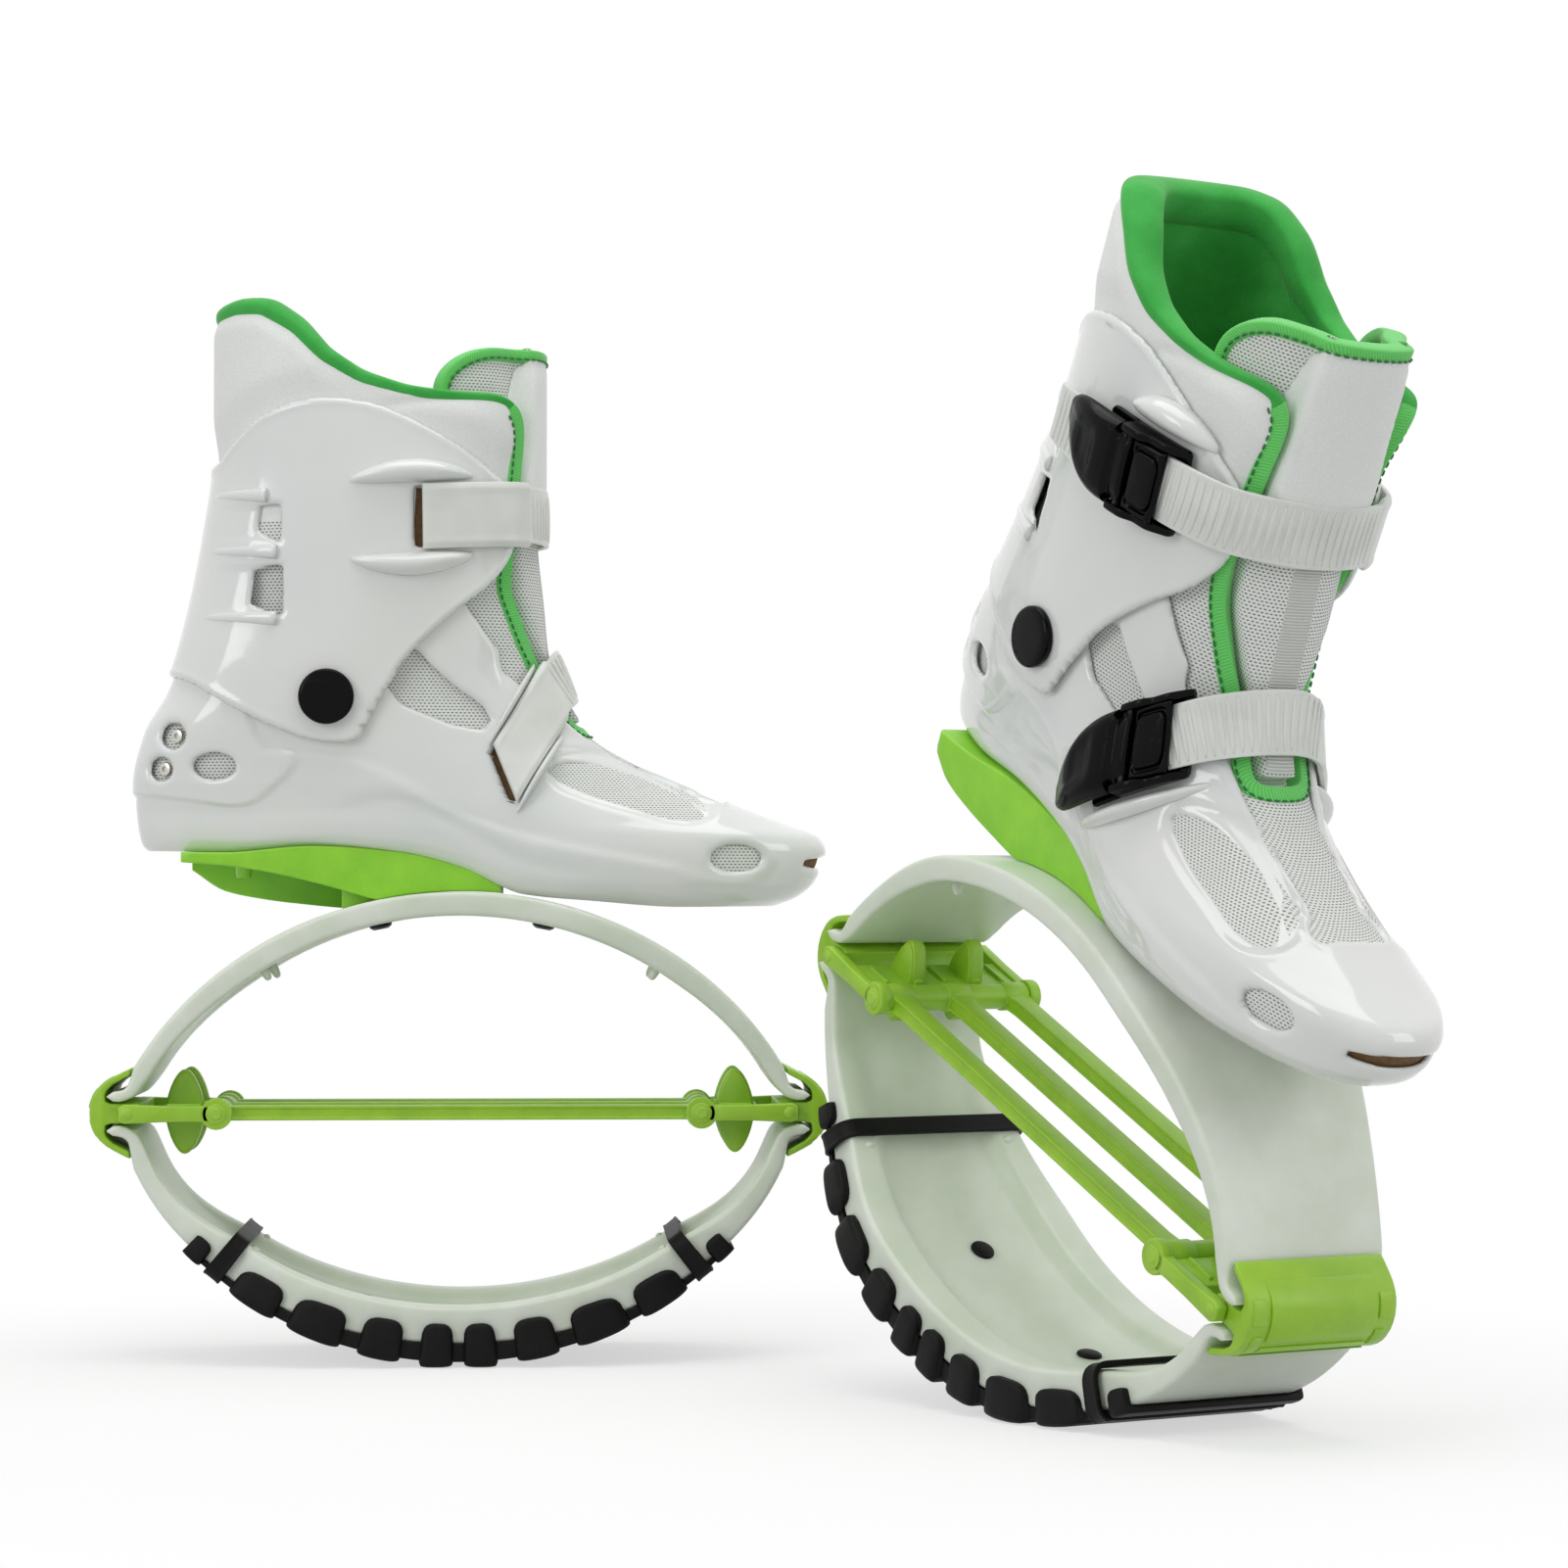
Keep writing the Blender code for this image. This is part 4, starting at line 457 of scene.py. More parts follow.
def tread_strip():
    """The web and its knobs, lofted along the tread's arc."""
    stations = []
    limit = math.radians(44.6)
    knobs = [(s * a, h) for a, h in knob_rows for s in (-1, 1)]
    pads = [(-math.radians(43.2), math.radians(1.9)), (math.radians(43.2), math.radians(1.9))]
    marks = set(np.linspace(-limit, limit, 60))
    for centre, half in knobs + pads:
        for s in np.linspace(-1.0, 1.0, 13):
            marks.add(max(-limit, min(limit, centre + half * math.sin(s * math.pi / 2))))
        for s in (-1.06, 1.06):
            marks.add(max(-limit, min(limit, centre + half * s)))
    for angle in sorted(marks):
        share = 0.0
        for centre, half in knobs + pads:
            off = abs(angle - centre) / half
            if off < 1.0:
                share = max(share, (1.0 - off ** 3.2) ** (1 / 3.2) * (1.0 if (centre, half) in knobs else 0.8))
        stations.append((angle, share))
    rings = []
    for angle, share in stations:
        bow_radius = bow_radius_at(abs(angle))
        inner = bow_radius + 0.0002
        outer = tread_radius - 0.0022 * (1.0 - share)
        if abs(angle) <= math.radians(5.7):
            outer = outer / math.cos(angle) - 0.0
        flank = bow_half_width(bow_radius * math.sin(abs(angle))) + 0.0002
        side = flank + 0.0006 + 0.0038 * share
        top = inner - 0.0090 * share - 0.0004
        outline = [(-side, outer), (side, outer), (side, top), (flank, top), (flank, inner), (-flank, inner),
                   (-flank, top), (-side, top)]
        soft = 0.0006 + 0.0022 * share
        section = soft_corners(outline, [soft, soft, soft, 0.0004, 0.0003, 0.0003, 0.0004, soft], 4)
        rings.append([(r * math.sin(angle), y, tread_radius - r * math.cos(angle)) for y, r in section])
    return loft(rings)


def plug_heads():
    """The flat mushroom heads of the tread's studs, in the bow's trough."""
    parts = []
    for side in (-1, 1):
        x = side * 0.0450
        slope = (lower_bow_underside(x + 1e-4) - lower_bow_underside(x - 1e-4)) / 2e-4
        inward = Vector((-slope, 0.0, 1.0)).normalized()
        seat = Vector((x, 0.0, lower_bow_underside(x))) + inward * 0.0103
        rings = []
        for rise, size in ((0.0, 0.0046), (0.0006, 0.0053), (0.0014, 0.0051), (0.0020, 0.0040), (0.0023, 0.0015)):
            ring = []
            for k in range(20):
                turn = math.tau * k / 20
                across = inward.cross(Vector((0, 1, 0)))
                ring.append(seat + inward * rise + across * (size * math.cos(turn))
                            + Vector((0, 1, 0)) * (size * math.sin(turn)))
            rings.append(ring)
        parts.append(loft(rings))
    return parts


def tread_rubber():
    """Black vulcanised rubber, moulded: nearly matt, with the mould's fine blasted grain and a
    little pale dust rubbed into it."""
    material, tree, shader = new_finish("black_moulded_rubber")
    place = add(tree, "ShaderNodeTexCoord")
    dust = add(tree, "ShaderNodeTexNoise", {"Vector": place.outputs["Object"], "Scale": 70.0, "Detail": 6.0,
                                            "Roughness": 0.7})
    tone = add(tree, "ShaderNodeValToRGB", {"Fac": dust.outputs["Fac"]})
    tone.color_ramp.elements[0].position = 0.42
    tone.color_ramp.elements[0].color = hex_colour("#060606")
    tone.color_ramp.elements[1].position = 0.78
    tone.color_ramp.elements[1].color = hex_colour("#121211")
    tree.links.new(tone.outputs["Color"], shader.inputs["Base Color"])
    grain = add(tree, "ShaderNodeTexNoise", {"Vector": place.outputs["Object"], "Scale": 1800.0, "Detail": 2.0})
    bump = add(tree, "ShaderNodeBump", {"Height": grain.outputs["Fac"], "Strength": 0.25, "Distance": 0.0003})
    tree.links.new(bump.outputs["Normal"], shader.inputs["Normal"])
    gloss = add(tree, "ShaderNodeMapRange", {"Value": dust.outputs["Fac"], "To Min": 0.42, "To Max": 0.62})
    tree.links.new(gloss.outputs["Result"], shader.inputs["Roughness"])
    shader.inputs["IOR"].default_value = 1.52
    shader.inputs["Specular IOR Level"].default_value = 0.15
    return material


black_rubber = tread_rubber()


def squash_on_link(item):
    """Give the piece its own mesh; the lower bow and what lies on it are not flattened."""
    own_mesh(item)


tread_mesh = outward(mesh_of(*tread_strip()))
for side, item in add_pieces("tread_strip", "lower", tread_mesh, [black_rubber], ["tread"]):
    squash_on_link(item)
for side, item in add_pieces("tread_studs", "lower", outward(mesh_of(*joined_parts(plug_heads()))), [black_rubber],
                             ()):
    squash_on_link(item)


# Tread bands
# Two loops of the same rubber, stretched round the lower bow and the tread near the tread's ends.

def band_loop(angle):
    """A flat loop with a raised rim on each edge."""
    bow_radius = bow_radius_at(abs(angle))
    flank = bow_half_width(bow_radius * math.sin(abs(angle)))
    side, bottom, top = flank + 0.0020, tread_radius - 0.0016, bow_radius - lower_bow_thickness - 0.0003
    path = soft_corners([(-side, bottom), (side, bottom), (side, top), (-side, top)], 0.0060, 6)
    middle = np.mean(path, axis=0)
    rings = []
    count = len(path)
    section = soft_corners([(-0.0043, 0.0), (0.0043, 0.0), (0.0043, 0.0027), (0.0026, 0.0022), (-0.0026, 0.0022),
                            (-0.0043, 0.0027)], [0.0004, 0.0004, 0.0012, 0.0006, 0.0006, 0.0012], 3)
    for k, point in enumerate(path):
        along = path[(k + 1) % count] - path[k - 1]
        out = np.array((along[1], -along[0]))
        out = out / np.linalg.norm(out)
        if np.dot(out, point - middle) < 0:
            out = -out
        ring = []
        for turn, lift in section:
            lowest = min(lift, 0.0015) if out[1] > 0.9 else lift
            y, r = point + out * lowest
            here = angle + turn / bow_radius
            ring.append((r * math.sin(here), y, tread_radius - r * math.cos(here)))
        rings.append(ring)
    return loft(rings + [rings[0]], capped=False)


for name, angle in (("rear_band", -38.9), ("front_band", 38.9)):
    mesh = outward(mesh_of(*band_loop(math.radians(angle))))
    for side, item in add_pieces(name + "_loop", "lower", mesh, [black_rubber], [name]):
        squash_on_link(item)


# Hinge blocks
# Curved blocks of bright green nylon, injection moulded, whose two jaws hold the hooked ends of the
# bows; the outer face has a raised panel between two flanges.

def bevelled(mesh, width, segments=2, angle=30.0):
    """The mesh with its sharp edges rounded."""
    item = bpy.data.objects.new("bevelled", mesh)
    bpy.context.scene.collection.objects.link(item)
    bevel = item.modifiers.new("rounding", "BEVEL")
    bevel.width = width
    bevel.segments = segments
    bevel.limit_method = "ANGLE"
    bevel.angle_limit = math.radians(angle)
    bevel.harden_normals = False
    bpy.context.view_layer.update()
    graph = bpy.context.evaluated_depsgraph_get()
    result = bpy.data.meshes.new_from_object(item.evaluated_get(graph))
    bpy.data.objects.remove(item, do_unlink=True)
    result.shade_smooth()
    result.set_sharp_from_angle(angle=math.radians(50.0))
    return result


def side_slab(outline, low, high):
    """A slab with a side-view outline of (x, z) points between two y levels."""
    return loft([[(x, low, z) for x, z in outline], [(x, high, z) for x, z in outline]])


def box_part(low, high):
    """A box between two corners."""
    outline = [(low[0], low[2]), (high[0], low[2]), (high[0], high[2]), (low[0], high[2])]
    return side_slab(outline, low[1], high[1])


def drum(start, end, profile, count=28):
    """A turned form from start to end; the profile has rows of (share of the way, radius)."""
    start, end = Vector(start), Vector(end)
    along = (end - start).normalized()
    across = along.orthogonal().normalized()
    other = along.cross(across)
    rings = []
    for share, radius in profile:
        centre = start.lerp(end, share)
        rings.append([centre + across * (radius * math.cos(math.tau * k / count))
                      + other * (radius * math.sin(math.tau * k / count)) for k in range(count)])
    return loft(rings)


def solid_part(part, width, segments=2):
    """One bevelled, outward-facing part as points and faces."""
    mesh = bevelled(outward(mesh_of(*part)), width, segments)
    points = [v.co.copy() for v in mesh.vertices]
    faces = [tuple(p.vertices) for p in mesh.polygons]
    bpy.data.meshes.remove(mesh)
    return points, faces


def green_nylon(name, dark, light):
    """Bright green nylon, injection moulded: satin, a touch mottled by the pigment, paler on worn
    edges and with a very fine spark-eroded grain; the spring's batch is yellower than the saddle's."""
    material, tree, shader = new_finish(name)
    place = add(tree, "ShaderNodeTexCoord")
    cloud = add(tree, "ShaderNodeTexNoise", {"Vector": place.outputs["Object"], "Scale": 55.0, "Detail": 5.0,
                                             "Roughness": 0.6})
    tone = add(tree, "ShaderNodeValToRGB", {"Fac": cloud.outputs["Fac"]})
    tone.color_ramp.elements[0].position = 0.32
    tone.color_ramp.elements[0].color = hex_colour(dark)
    tone.color_ramp.elements[1].position = 0.70
    tone.color_ramp.elements[1].color = hex_colour(light)
    edge = add(tree, "ShaderNodeNewGeometry")
    worn = add(tree, "ShaderNodeMapRange", {"Value": edge.outputs["Pointiness"], "From Min": 0.52, "From Max": 0.60,
                                            "To Min": 0.0, "To Max": 0.45})
    mix = add(tree, "ShaderNodeMix", data_type="RGBA")
    tree.links.new(worn.outputs["Result"], mix.inputs[0])
    tree.links.new(tone.outputs["Color"], mix.inputs[6])
    mix.inputs[7].default_value = hex_colour("#B4EA62")
    tree.links.new(mix.outputs[2], shader.inputs["Base Color"])
    grain = add(tree, "ShaderNodeTexNoise", {"Vector": place.outputs["Object"], "Scale": 1500.0, "Detail": 2.0})
    bump = add(tree, "ShaderNodeBump", {"Height": grain.outputs["Fac"], "Strength": 0.10, "Distance": 0.0002})
    tree.links.new(bump.outputs["Normal"], shader.inputs["Normal"])
    gloss = add(tree, "ShaderNodeMapRange", {"Value": cloud.outputs["Fac"], "To Min": 0.32, "To Max": 0.46})
    tree.links.new(gloss.outputs["Result"], shader.inputs["Roughness"])
    shader.inputs["IOR"].default_value = 1.53
    shader.inputs["Subsurface Weight"].default_value = 0.12
    shader.inputs["Subsurface Radius"].default_value = (0.5, 1.0, 0.2)
    shader.inputs["Subsurface Scale"].default_value = 0.003
    return material


lime_nylon = green_nylon("yellow_green_moulded_nylon", "#8CBE1A", "#A2CF2A")


def hinge_parts(side):
    """A hinge block: side = -1 at the rear and 1 in front."""
    reach, tall = 0.0170, 0.0203
    outer = [(0.1490 + reach * a, tall * b) for a, b in (
        (1.0, 0.0), (0.985, 0.16), (0.92, 0.345), (0.84, 0.48), (0.735, 0.591), (0.56, 0.72), (0.376, 0.813),
        (0.15, 0.915), (-0.06, 1.0))]
    inner = [(0.1490 + reach * a, tall * b) for a, b in (
        (-0.03, 0.84), (0.12, 0.775), (0.265, 0.709), (0.40, 0.65), (0.482, 0.586), (0.575, 0.50), (0.612, 0.404),
        (0.595, 0.26))]
    upper = outer[1:] + inner + [(hook_x - 0.0013, 0.0044), (0.1439, 0.0044)]
    outline = [outer[0]] + upper + [(x, -z) for x, z in reversed(upper)]
    outline = [(side * x, hinge_height + z) for x, z in outline]
    parts = [solid_part(side_slab(outline, -0.0358, 0.0358), 0.0006)]
    # the raised panel follows the block's outer face between the flanges
    def follow(low, high, extra):
        rows = [p for p in curve_through([(x, z, 0.0) for x, z in outer], 24)]
        rows = [(x, -z) for x, z, _ in reversed(rows[1:])] + [(x, z) for x, z, _ in rows]
        keep = [(x, z) for x, z in rows if low <= z <= high]
        back = [(x - 0.0020, z) for x, z in reversed(keep)]
        return [(side * (x + extra), hinge_height + z) for x, z in keep] + [
            (side * x, hinge_height + z) for x, z in back]
    parts.append(solid_part(side_slab(follow(-0.0060, 0.0165, 0.0012), -0.0255, 0.0255), 0.0006))
    parts.append(solid_part(side_slab(follow(-0.0178, -0.0140, 0.0010), -0.0300, 0.0300), 0.0005))
    parts.append(solid_part(side_slab(follow(-0.0118, -0.0085, 0.0008), -0.0255, 0.0255), 0.0004))
    for across in (-1, 1):
        low, high = sorted((across * 0.0272, across * 0.0340))
        parts.append(solid_part(side_slab(follow(0.0020, 0.0125, 0.0008), low, high), 0.0005))
        low, high = sorted((across * 0.0272, across * 0.0320))
        parts.append(solid_part(side_slab(follow(-0.0110, -0.0020, 0.0007), low, high), 0.0005))
    return parts


for name, side_sign in (("rear_hinge", -1), ("front_hinge", 1)):
    mesh = mesh_of(*joined_parts(hinge_parts(side_sign)))
    mesh.set_sharp_from_angle(angle=math.radians(45.0))
    add_pieces(name + "_block", "link", mesh, [lime_nylon], [name])


# End plates
# Moulded in the same green nylon: two side arms reach from the hinge to the tension spring, and the
# plate between them carries two lens-shaped bump fins.

def fin_part(x, y, side):
    """A bump fin: a lens in side view, thick, with a raised rim line."""
    parts = []
    for wide, size in ((0.0080, 0.94), (0.0060, 1.0)):
        outline = []
        for k in range(36):
            turn = math.tau * k / 36
            up = math.sin(turn)
            across = math.cos(turn)
            outline.append((side * x + size * 0.00885 * across * (1.0 - 0.25 * abs(up) ** 2) ** 0.5,
                            hinge_height + size * 0.0192 * math.copysign(abs(up) ** 1.22, up)))
        parts.append(solid_part(side_slab(outline, y - wide / 2, y + wide / 2), 0.0007))
    return parts


def end_plate_parts(side):
    """Arms, cross plate, fins and barrel seats at one end."""
    parts = []
    for across in (-1, 1):
        low, high = sorted((across * 0.0363, across * 0.0415))
        arm = []
        for k, (x, half) in enumerate(((0.1526, 0.0030), (0.1500, 0.0043), (0.1420, 0.0040), (0.1330, 0.0036),
                                       (0.1200, 0.0035), (0.1120, 0.0037))):
            arm.append((x, half))
        outline = [(side * x, hinge_height + h) for x, h in arm] + [(side * x, hinge_height - h) for x, h in
                                                                     reversed(arm)]
        parts.append(solid_part(side_slab(outline, low, high), 0.0006))
        parts.append(drum((side * 0.1090, low, hinge_height), (side * 0.1090, high, hinge_height), (
            (0.0, 0.0060), (0.02, 0.0068), (0.12, 0.0071), (0.88, 0.0071), (0.98, 0.0068), (1.0, 0.0060)), 36))
        outer = across * 0.0415
        parts.append(drum((side * 0.1090, outer - across * 0.001, hinge_height),
                          (side * 0.1090, outer + across * 0.0005, hinge_height),
                          ((0.0, 0.0046), (0.8, 0.0046), (1.0, 0.0041)), 28))
        parts.append(drum((side * 0.1490, outer - across * 0.001, hinge_height),
                          (side * 0.1490, outer + across * 0.0006, hinge_height),
                          ((0.0, 0.0026), (0.7, 0.0026), (1.0, 0.0020)), 20))
    near, far = sorted((side * 0.1355, side * 0.1152))
    parts.append(solid_part(box_part((near, -0.0365, hinge_height - 0.0025), (far, 0.0365, hinge_height + 0.0025)),
                            0.0006))
    for y in (-0.0150, 0.0150):
        parts += fin_part(0.1250, y, side)
        low, high = sorted((side * 0.1190, side * 0.1152))
        parts.append(solid_part(box_part((low, y - 0.0020, hinge_height - 0.0048), (high, y + 0.0020,
                                                                                  hinge_height + 0.0048)), 0.0004))
    for y in (-0.0300, 0.0, 0.0300):
        low, high = sorted((side * 0.1320, side * 0.1170))
        parts.append(solid_part(box_part((low, y - 0.0008, hinge_height + 0.0020), (high, y + 0.0008,
                                                                                  hinge_height + 0.0040)), 0.0003))
    return parts


for name, side_sign in (("rear_end_plate", -1), ("front_end_plate", 1)):
    mesh = mesh_of(*joined_parts(end_plate_parts(side_sign)))
    mesh.set_sharp_from_angle(angle=math.radians(45.0))
    add_pieces(name + "_moulding", "link", mesh, [lime_nylon], [name])


# Tension spring
# Three bars of green elastomer between two barrels, moulded in one: it pulls the ends of the bows
# together. Each bar has a rounded rim along its top and bottom edges.

def tension_parts():
    """Bars with rims, and the barrels they end in."""
    parts = []
    for y in (-0.0300, 0.0, 0.0300):
        section = soft_corners([(-0.0045, -0.0033), (0.0045, -0.0033), (0.0045, -0.0022), (0.0039, -0.0018),
                                (0.0039, 0.0018), (0.0045, 0.0022), (0.0045, 0.0033), (-0.0045, 0.0033),
                                (-0.0045, 0.0022), (-0.0039, 0.0018), (-0.0039, -0.0018), (-0.0045, -0.0022)],
                               0.0005, 2)
        rings = []
        for x in np.linspace(-0.1070, 0.1070, 41):
            flare = 1.0 + 0.30 * eased((abs(x) - 0.0960) / 0.0110)
            rings.append([(x, y + a * flare, hinge_height + b) for a, b in section])
        parts.append(loft(rings))
    for side in (-1, 1):
        x = side * 0.1090
        parts.append(drum((x, -0.0358, hinge_height), (x, 0.0358, hinge_height), (
            (0.0, 0.0046), (0.008, 0.0054), (0.5, 0.0056), (0.992, 0.0054), (1.0, 0.0046)), 32))
        for y in (-0.0300, 0.0, 0.0300):
            parts.append(drum((x, y - 0.0062, hinge_height), (x, y + 0.0062, hinge_height), (
                (0.0, 0.0056), (0.06, 0.0062), (0.94, 0.0062), (1.0, 0.0056)), 32))
        for across in (-1, 1):
            parts.append(drum((x, across * 0.0340, hinge_height), (x, across * 0.0424, hinge_height), (
                (0.0, 0.0029), (0.93, 0.0029), (1.0, 0.0023)), 24))
    return parts


tension_mesh = outward(mesh_of(*joined_parts(tension_parts())), 0.000005)
tension_mesh.set_sharp_from_angle(angle=math.radians(40.0))
add_pieces("tension_bars", "link", tension_mesh, [lime_nylon], ["tension_spring"])


# Saddle
# A green nylon bracket under the boot's arched sole, injection moulded: a plate with a deep wing on
# each side and a block in the middle that stands on the upper bow and takes the rear bolt.

sole_height, boot_height = 0.2060, 0.2720
heel_back, boot_length = -0.1492, 0.3168
heel_half_width, ball_half_width = 0.0380, 0.0500
last_shares = (
    (0.000, 0.018, 0.925, 0.80, 0.80), (0.013, 0.011, 0.955, 0.88, 0.89), (0.040, 0.006, 0.983, 0.96, 0.97),
    (0.092, 0.002, 1.000, 1.00, 1.00), (0.115, 0.001, 0.990, 1.00, 0.99), (0.140, 0.000, 0.935, 1.00, 0.96),
    (0.202, 0.000, 0.800, 1.01, 0.88), (0.287, 0.016, 0.665, 1.08, 0.82), (0.357, 0.050, 0.622, 1.14, 0.80),
    (0.408, 0.066, 0.602, 1.16, 0.81), (0.511, 0.089, 0.592, 1.17, 0.84), (0.621, 0.107, 0.583, 1.19, 0.86),
    (0.750, 0.121, 0.582, 1.22, 0.88), (1.000, 0.121, 0.582, 1.27, 0.90),
)
arch_shares = (
    (0.000, 0.092), (0.132, 0.090), (0.260, 0.101), (0.388, 0.090), (0.480, 0.063), (0.529, 0.034),
    (0.560, 0.021), (0.660, 0.010), (0.790, 0.0), (1.000, 0.0),
)
roundness = 2.4


def read_smooth(rows, at):
    """Read rows of (place, values) along a smooth curve that never overshoots them."""
    rows = np.array(rows, dtype=float)
    at = np.asarray(at, dtype=float)
    place, step = rows[:, 0], np.diff(rows[:, 0])
    k = np.clip(np.searchsorted(place, at) - 1, 0, len(step) - 1)
    t = np.clip((at - place[k]) / step[k], 0.0, 1.0)
    columns = []
    for column in rows[:, 1:].T:
        slope = np.diff(column) / step
        tangent = np.zeros(len(place))
        tangent[0], tangent[-1] = slope[0], slope[-1]
        for m in range(1, len(place) - 1):
            if slope[m - 1] * slope[m] > 0:
                a, b = 2 * step[m] + step[m - 1], step[m] + 2 * step[m - 1]
                tangent[m] = (a + b) / (a / slope[m - 1] + b / slope[m])
        columns.append((2 * t ** 3 - 3 * t ** 2 + 1) * column[k] + (t ** 3 - 2 * t ** 2 + t) * step[k] * tangent[k]
                       + (3 * t ** 2 - 2 * t ** 3) * column[k + 1] + (t ** 3 - t ** 2) * step[k] * tangent[k + 1])
    return columns


def last_row(z):
    """Rear and front ends, heel and ball half widths of the boot's form at height z."""
    rear, front, heel, ball = read_smooth(last_shares, (np.asarray(z) - sole_height) / boot_height)
    return heel_back + boot_length * rear, heel_back + boot_length * front, heel_half_width * heel, ball_half_width * ball


def width_profile(share, heel, ball):
    """Half width between heel and ball at a share of the length."""
    share = np.clip((share - 0.30) / 0.42, 0.0, 1.0)
    return heel + (ball - heel) * share * share * (3 - 2 * share)


def half_width(x, z, outset):
    """Half width of the form, grown by outset, at x and height z."""
    rear, front, heel, ball = last_row(z)
    middle, reach = (rear + front) / 2, (front - rear) / 2 + outset
    off = np.minimum(np.abs(x - middle) / reach, 1.0)
    size = width_profile(0.5 + (x - middle) / reach / 2, heel, ball) + outset
    return size * (1.0 - off ** roundness) ** (1.0 / roundness)


def arched(x, z):
    """Height after the sole's arch is pressed in."""
    rise = boot_height * read_smooth(arch_shares, (np.asarray(x) - heel_back) / boot_length)[0]
    return z + rise * np.clip(1.0 - (z - sole_height) / 0.056, 0.0, 1.0)


def form_points(turn, z, outset):
    """Points of the form's surface, grown by outset, at turns round it and at heights."""
    rear, front, heel, ball = last_row(z)
    middle, reach = (rear + front) / 2, (front - rear) / 2 + outset
    along = np.sign(np.cos(turn)) * np.abs(np.cos(turn)) ** (2 / roundness)
    across = np.sign(np.sin(turn)) * np.abs(np.sin(turn)) ** (2 / roundness)
    x = middle + reach * along
    y = (width_profile(0.5 + along / 2, heel, ball) + outset) * across
    return np.stack([x, y, arched(x, z)], axis=-1)


def up_boot(share):
    """z at a share of the boot's height above the sole."""
    return sole_height + boot_height * share


def along_boot(share):
    """x at a share of the boot's length from the heel."""
    return heel_back + boot_length * share


def saddle_parts():
    """Plate and wings as one loft, and the block on the bow."""
    start, end = along_boot(0.073), along_boot(0.529)
    medial_rows = ((0.073, 0.072), (0.14, 0.066), (0.20, 0.055), (0.28, 0.033), (0.36, 0.008), (0.42, 0.0), (0.6, 0.0))
    lateral_rows = ((0.073, 0.060), (0.12, 0.025), (0.17, 0.012), (0.22, 0.004), (0.33, -0.006), (0.42, 0.0), (0.6, 0.0))
    rings = []
    for x in np.linspace(start, end, 60):
        share = (x - heel_back) / boot_length
        width = float(width_profile(share, heel_half_width, ball_half_width)) * 0.84
        top = float(arched(x, sole_height)) - 0.0003
        limit = upper_bow_top(x) + 0.0005
        floor = max(top - 0.0030, limit)
        medial = max(min(float(up_boot(read_smooth(medial_rows, share)[0])), floor - 0.0002), limit - 0.0002)
        lateral = max(min(float(up_boot(read_smooth(lateral_rows, share)[0])), floor - 0.0002), limit - 0.0002)
        tip = min(1.0, (x - start) / 0.0030, (end - x) / 0.0030)
        width = width - 0.0012 * (1 - math.sqrt(max(0.0, 1 - (1 - tip) ** 2)))
        wing = width - 0.0030
        outline = [(-width, top), (-width, medial), (-wing, medial), (-wing, floor), (wing, floor), (wing, lateral),
                   (width, lateral), (width, top)]
        section = soft_corners(outline, [0.0012, 0.0010, 0.0008, 0.0010, 0.0010, 0.0008, 0.0010, 0.0012], 3)
        rings.append([(x, y, z) for y, z in section])
    parts = [loft(rings)]
    under = np.linspace(-0.0540, end - 0.0030, 12)
    outline = [(x, upper_bow_top(x) + 0.0003) for x in under] + [
        (x, float(arched(x, sole_height)) - 0.0015) for x in reversed(under)]
    parts.append(solid_part(side_slab(outline, -0.0240, 0.0240), 0.0008))
    for x in (-0.1000, -0.0780):
        z = float(arched(x, sole_height))
        parts.append(drum((x, 0.0, z - 0.0120), (x, 0.0, z - 0.0020), ((0, 0.0030), (0.1, 0.0036), (1, 0.0042)), 24))
    for y in (-0.0130, 0.0130):
        rib = [(along_boot(0.09), float(arched(along_boot(0.09), sole_height)) - 0.0025),
               (along_boot(0.31), float(arched(along_boot(0.31), sole_height)) - 0.0025),
               (along_boot(0.31), float(arched(along_boot(0.31), sole_height)) - 0.0100),
               (along_boot(0.20), float(arched(along_boot(0.20), sole_height)) - 0.0085),
               (along_boot(0.11), float(arched(along_boot(0.11), sole_height)) - 0.0040)]
        parts.append(solid_part(side_slab(rib, y - 0.0009, y + 0.0009), 0.0003))
    return parts


saddle_mesh = outward(mesh_of(*joined_parts(saddle_parts())), 0.000005)
saddle_mesh.set_sharp_from_angle(angle=math.radians(40.0))
saddle_nylon = green_nylon("green_moulded_nylon", "#84CE1E", "#9ADF2F")
add_pieces("saddle_bracket", "upper", saddle_mesh, [saddle_nylon], ["saddle"])


# Sole bolts
# Two black-oxidised button-head screws with hexagon sockets, put up through the upper bow.

def oxidised_steel():
    """Steel with a black oxide coat: dark, satin, a little lighter where a tool has rubbed it."""
    material, tree, shader = new_finish("black_oxidised_steel")
    place = add(tree, "ShaderNodeTexCoord")
    rub = add(tree, "ShaderNodeTexNoise", {"Vector": place.outputs["Object"], "Scale": 500.0, "Detail": 4.0})
    tone = add(tree, "ShaderNodeValToRGB", {"Fac": rub.outputs["Fac"]})
    tone.color_ramp.elements[0].position, tone.color_ramp.elements[1].position = 0.45, 0.75
    tone.color_ramp.elements[0].color = hex_colour("#16161A")
    tone.color_ramp.elements[1].color = hex_colour("#3A3A3E")
    tree.links.new(tone.outputs["Color"], shader.inputs["Base Color"])
    gloss = add(tree, "ShaderNodeMapRange", {"Value": rub.outputs["Fac"], "To Min": 0.30, "To Max": 0.50})
    tree.links.new(gloss.outputs["Result"], shader.inputs["Roughness"])
    shader.inputs["Metallic"].default_value = 0.8
    return material


bolt_steel = oxidised_steel()


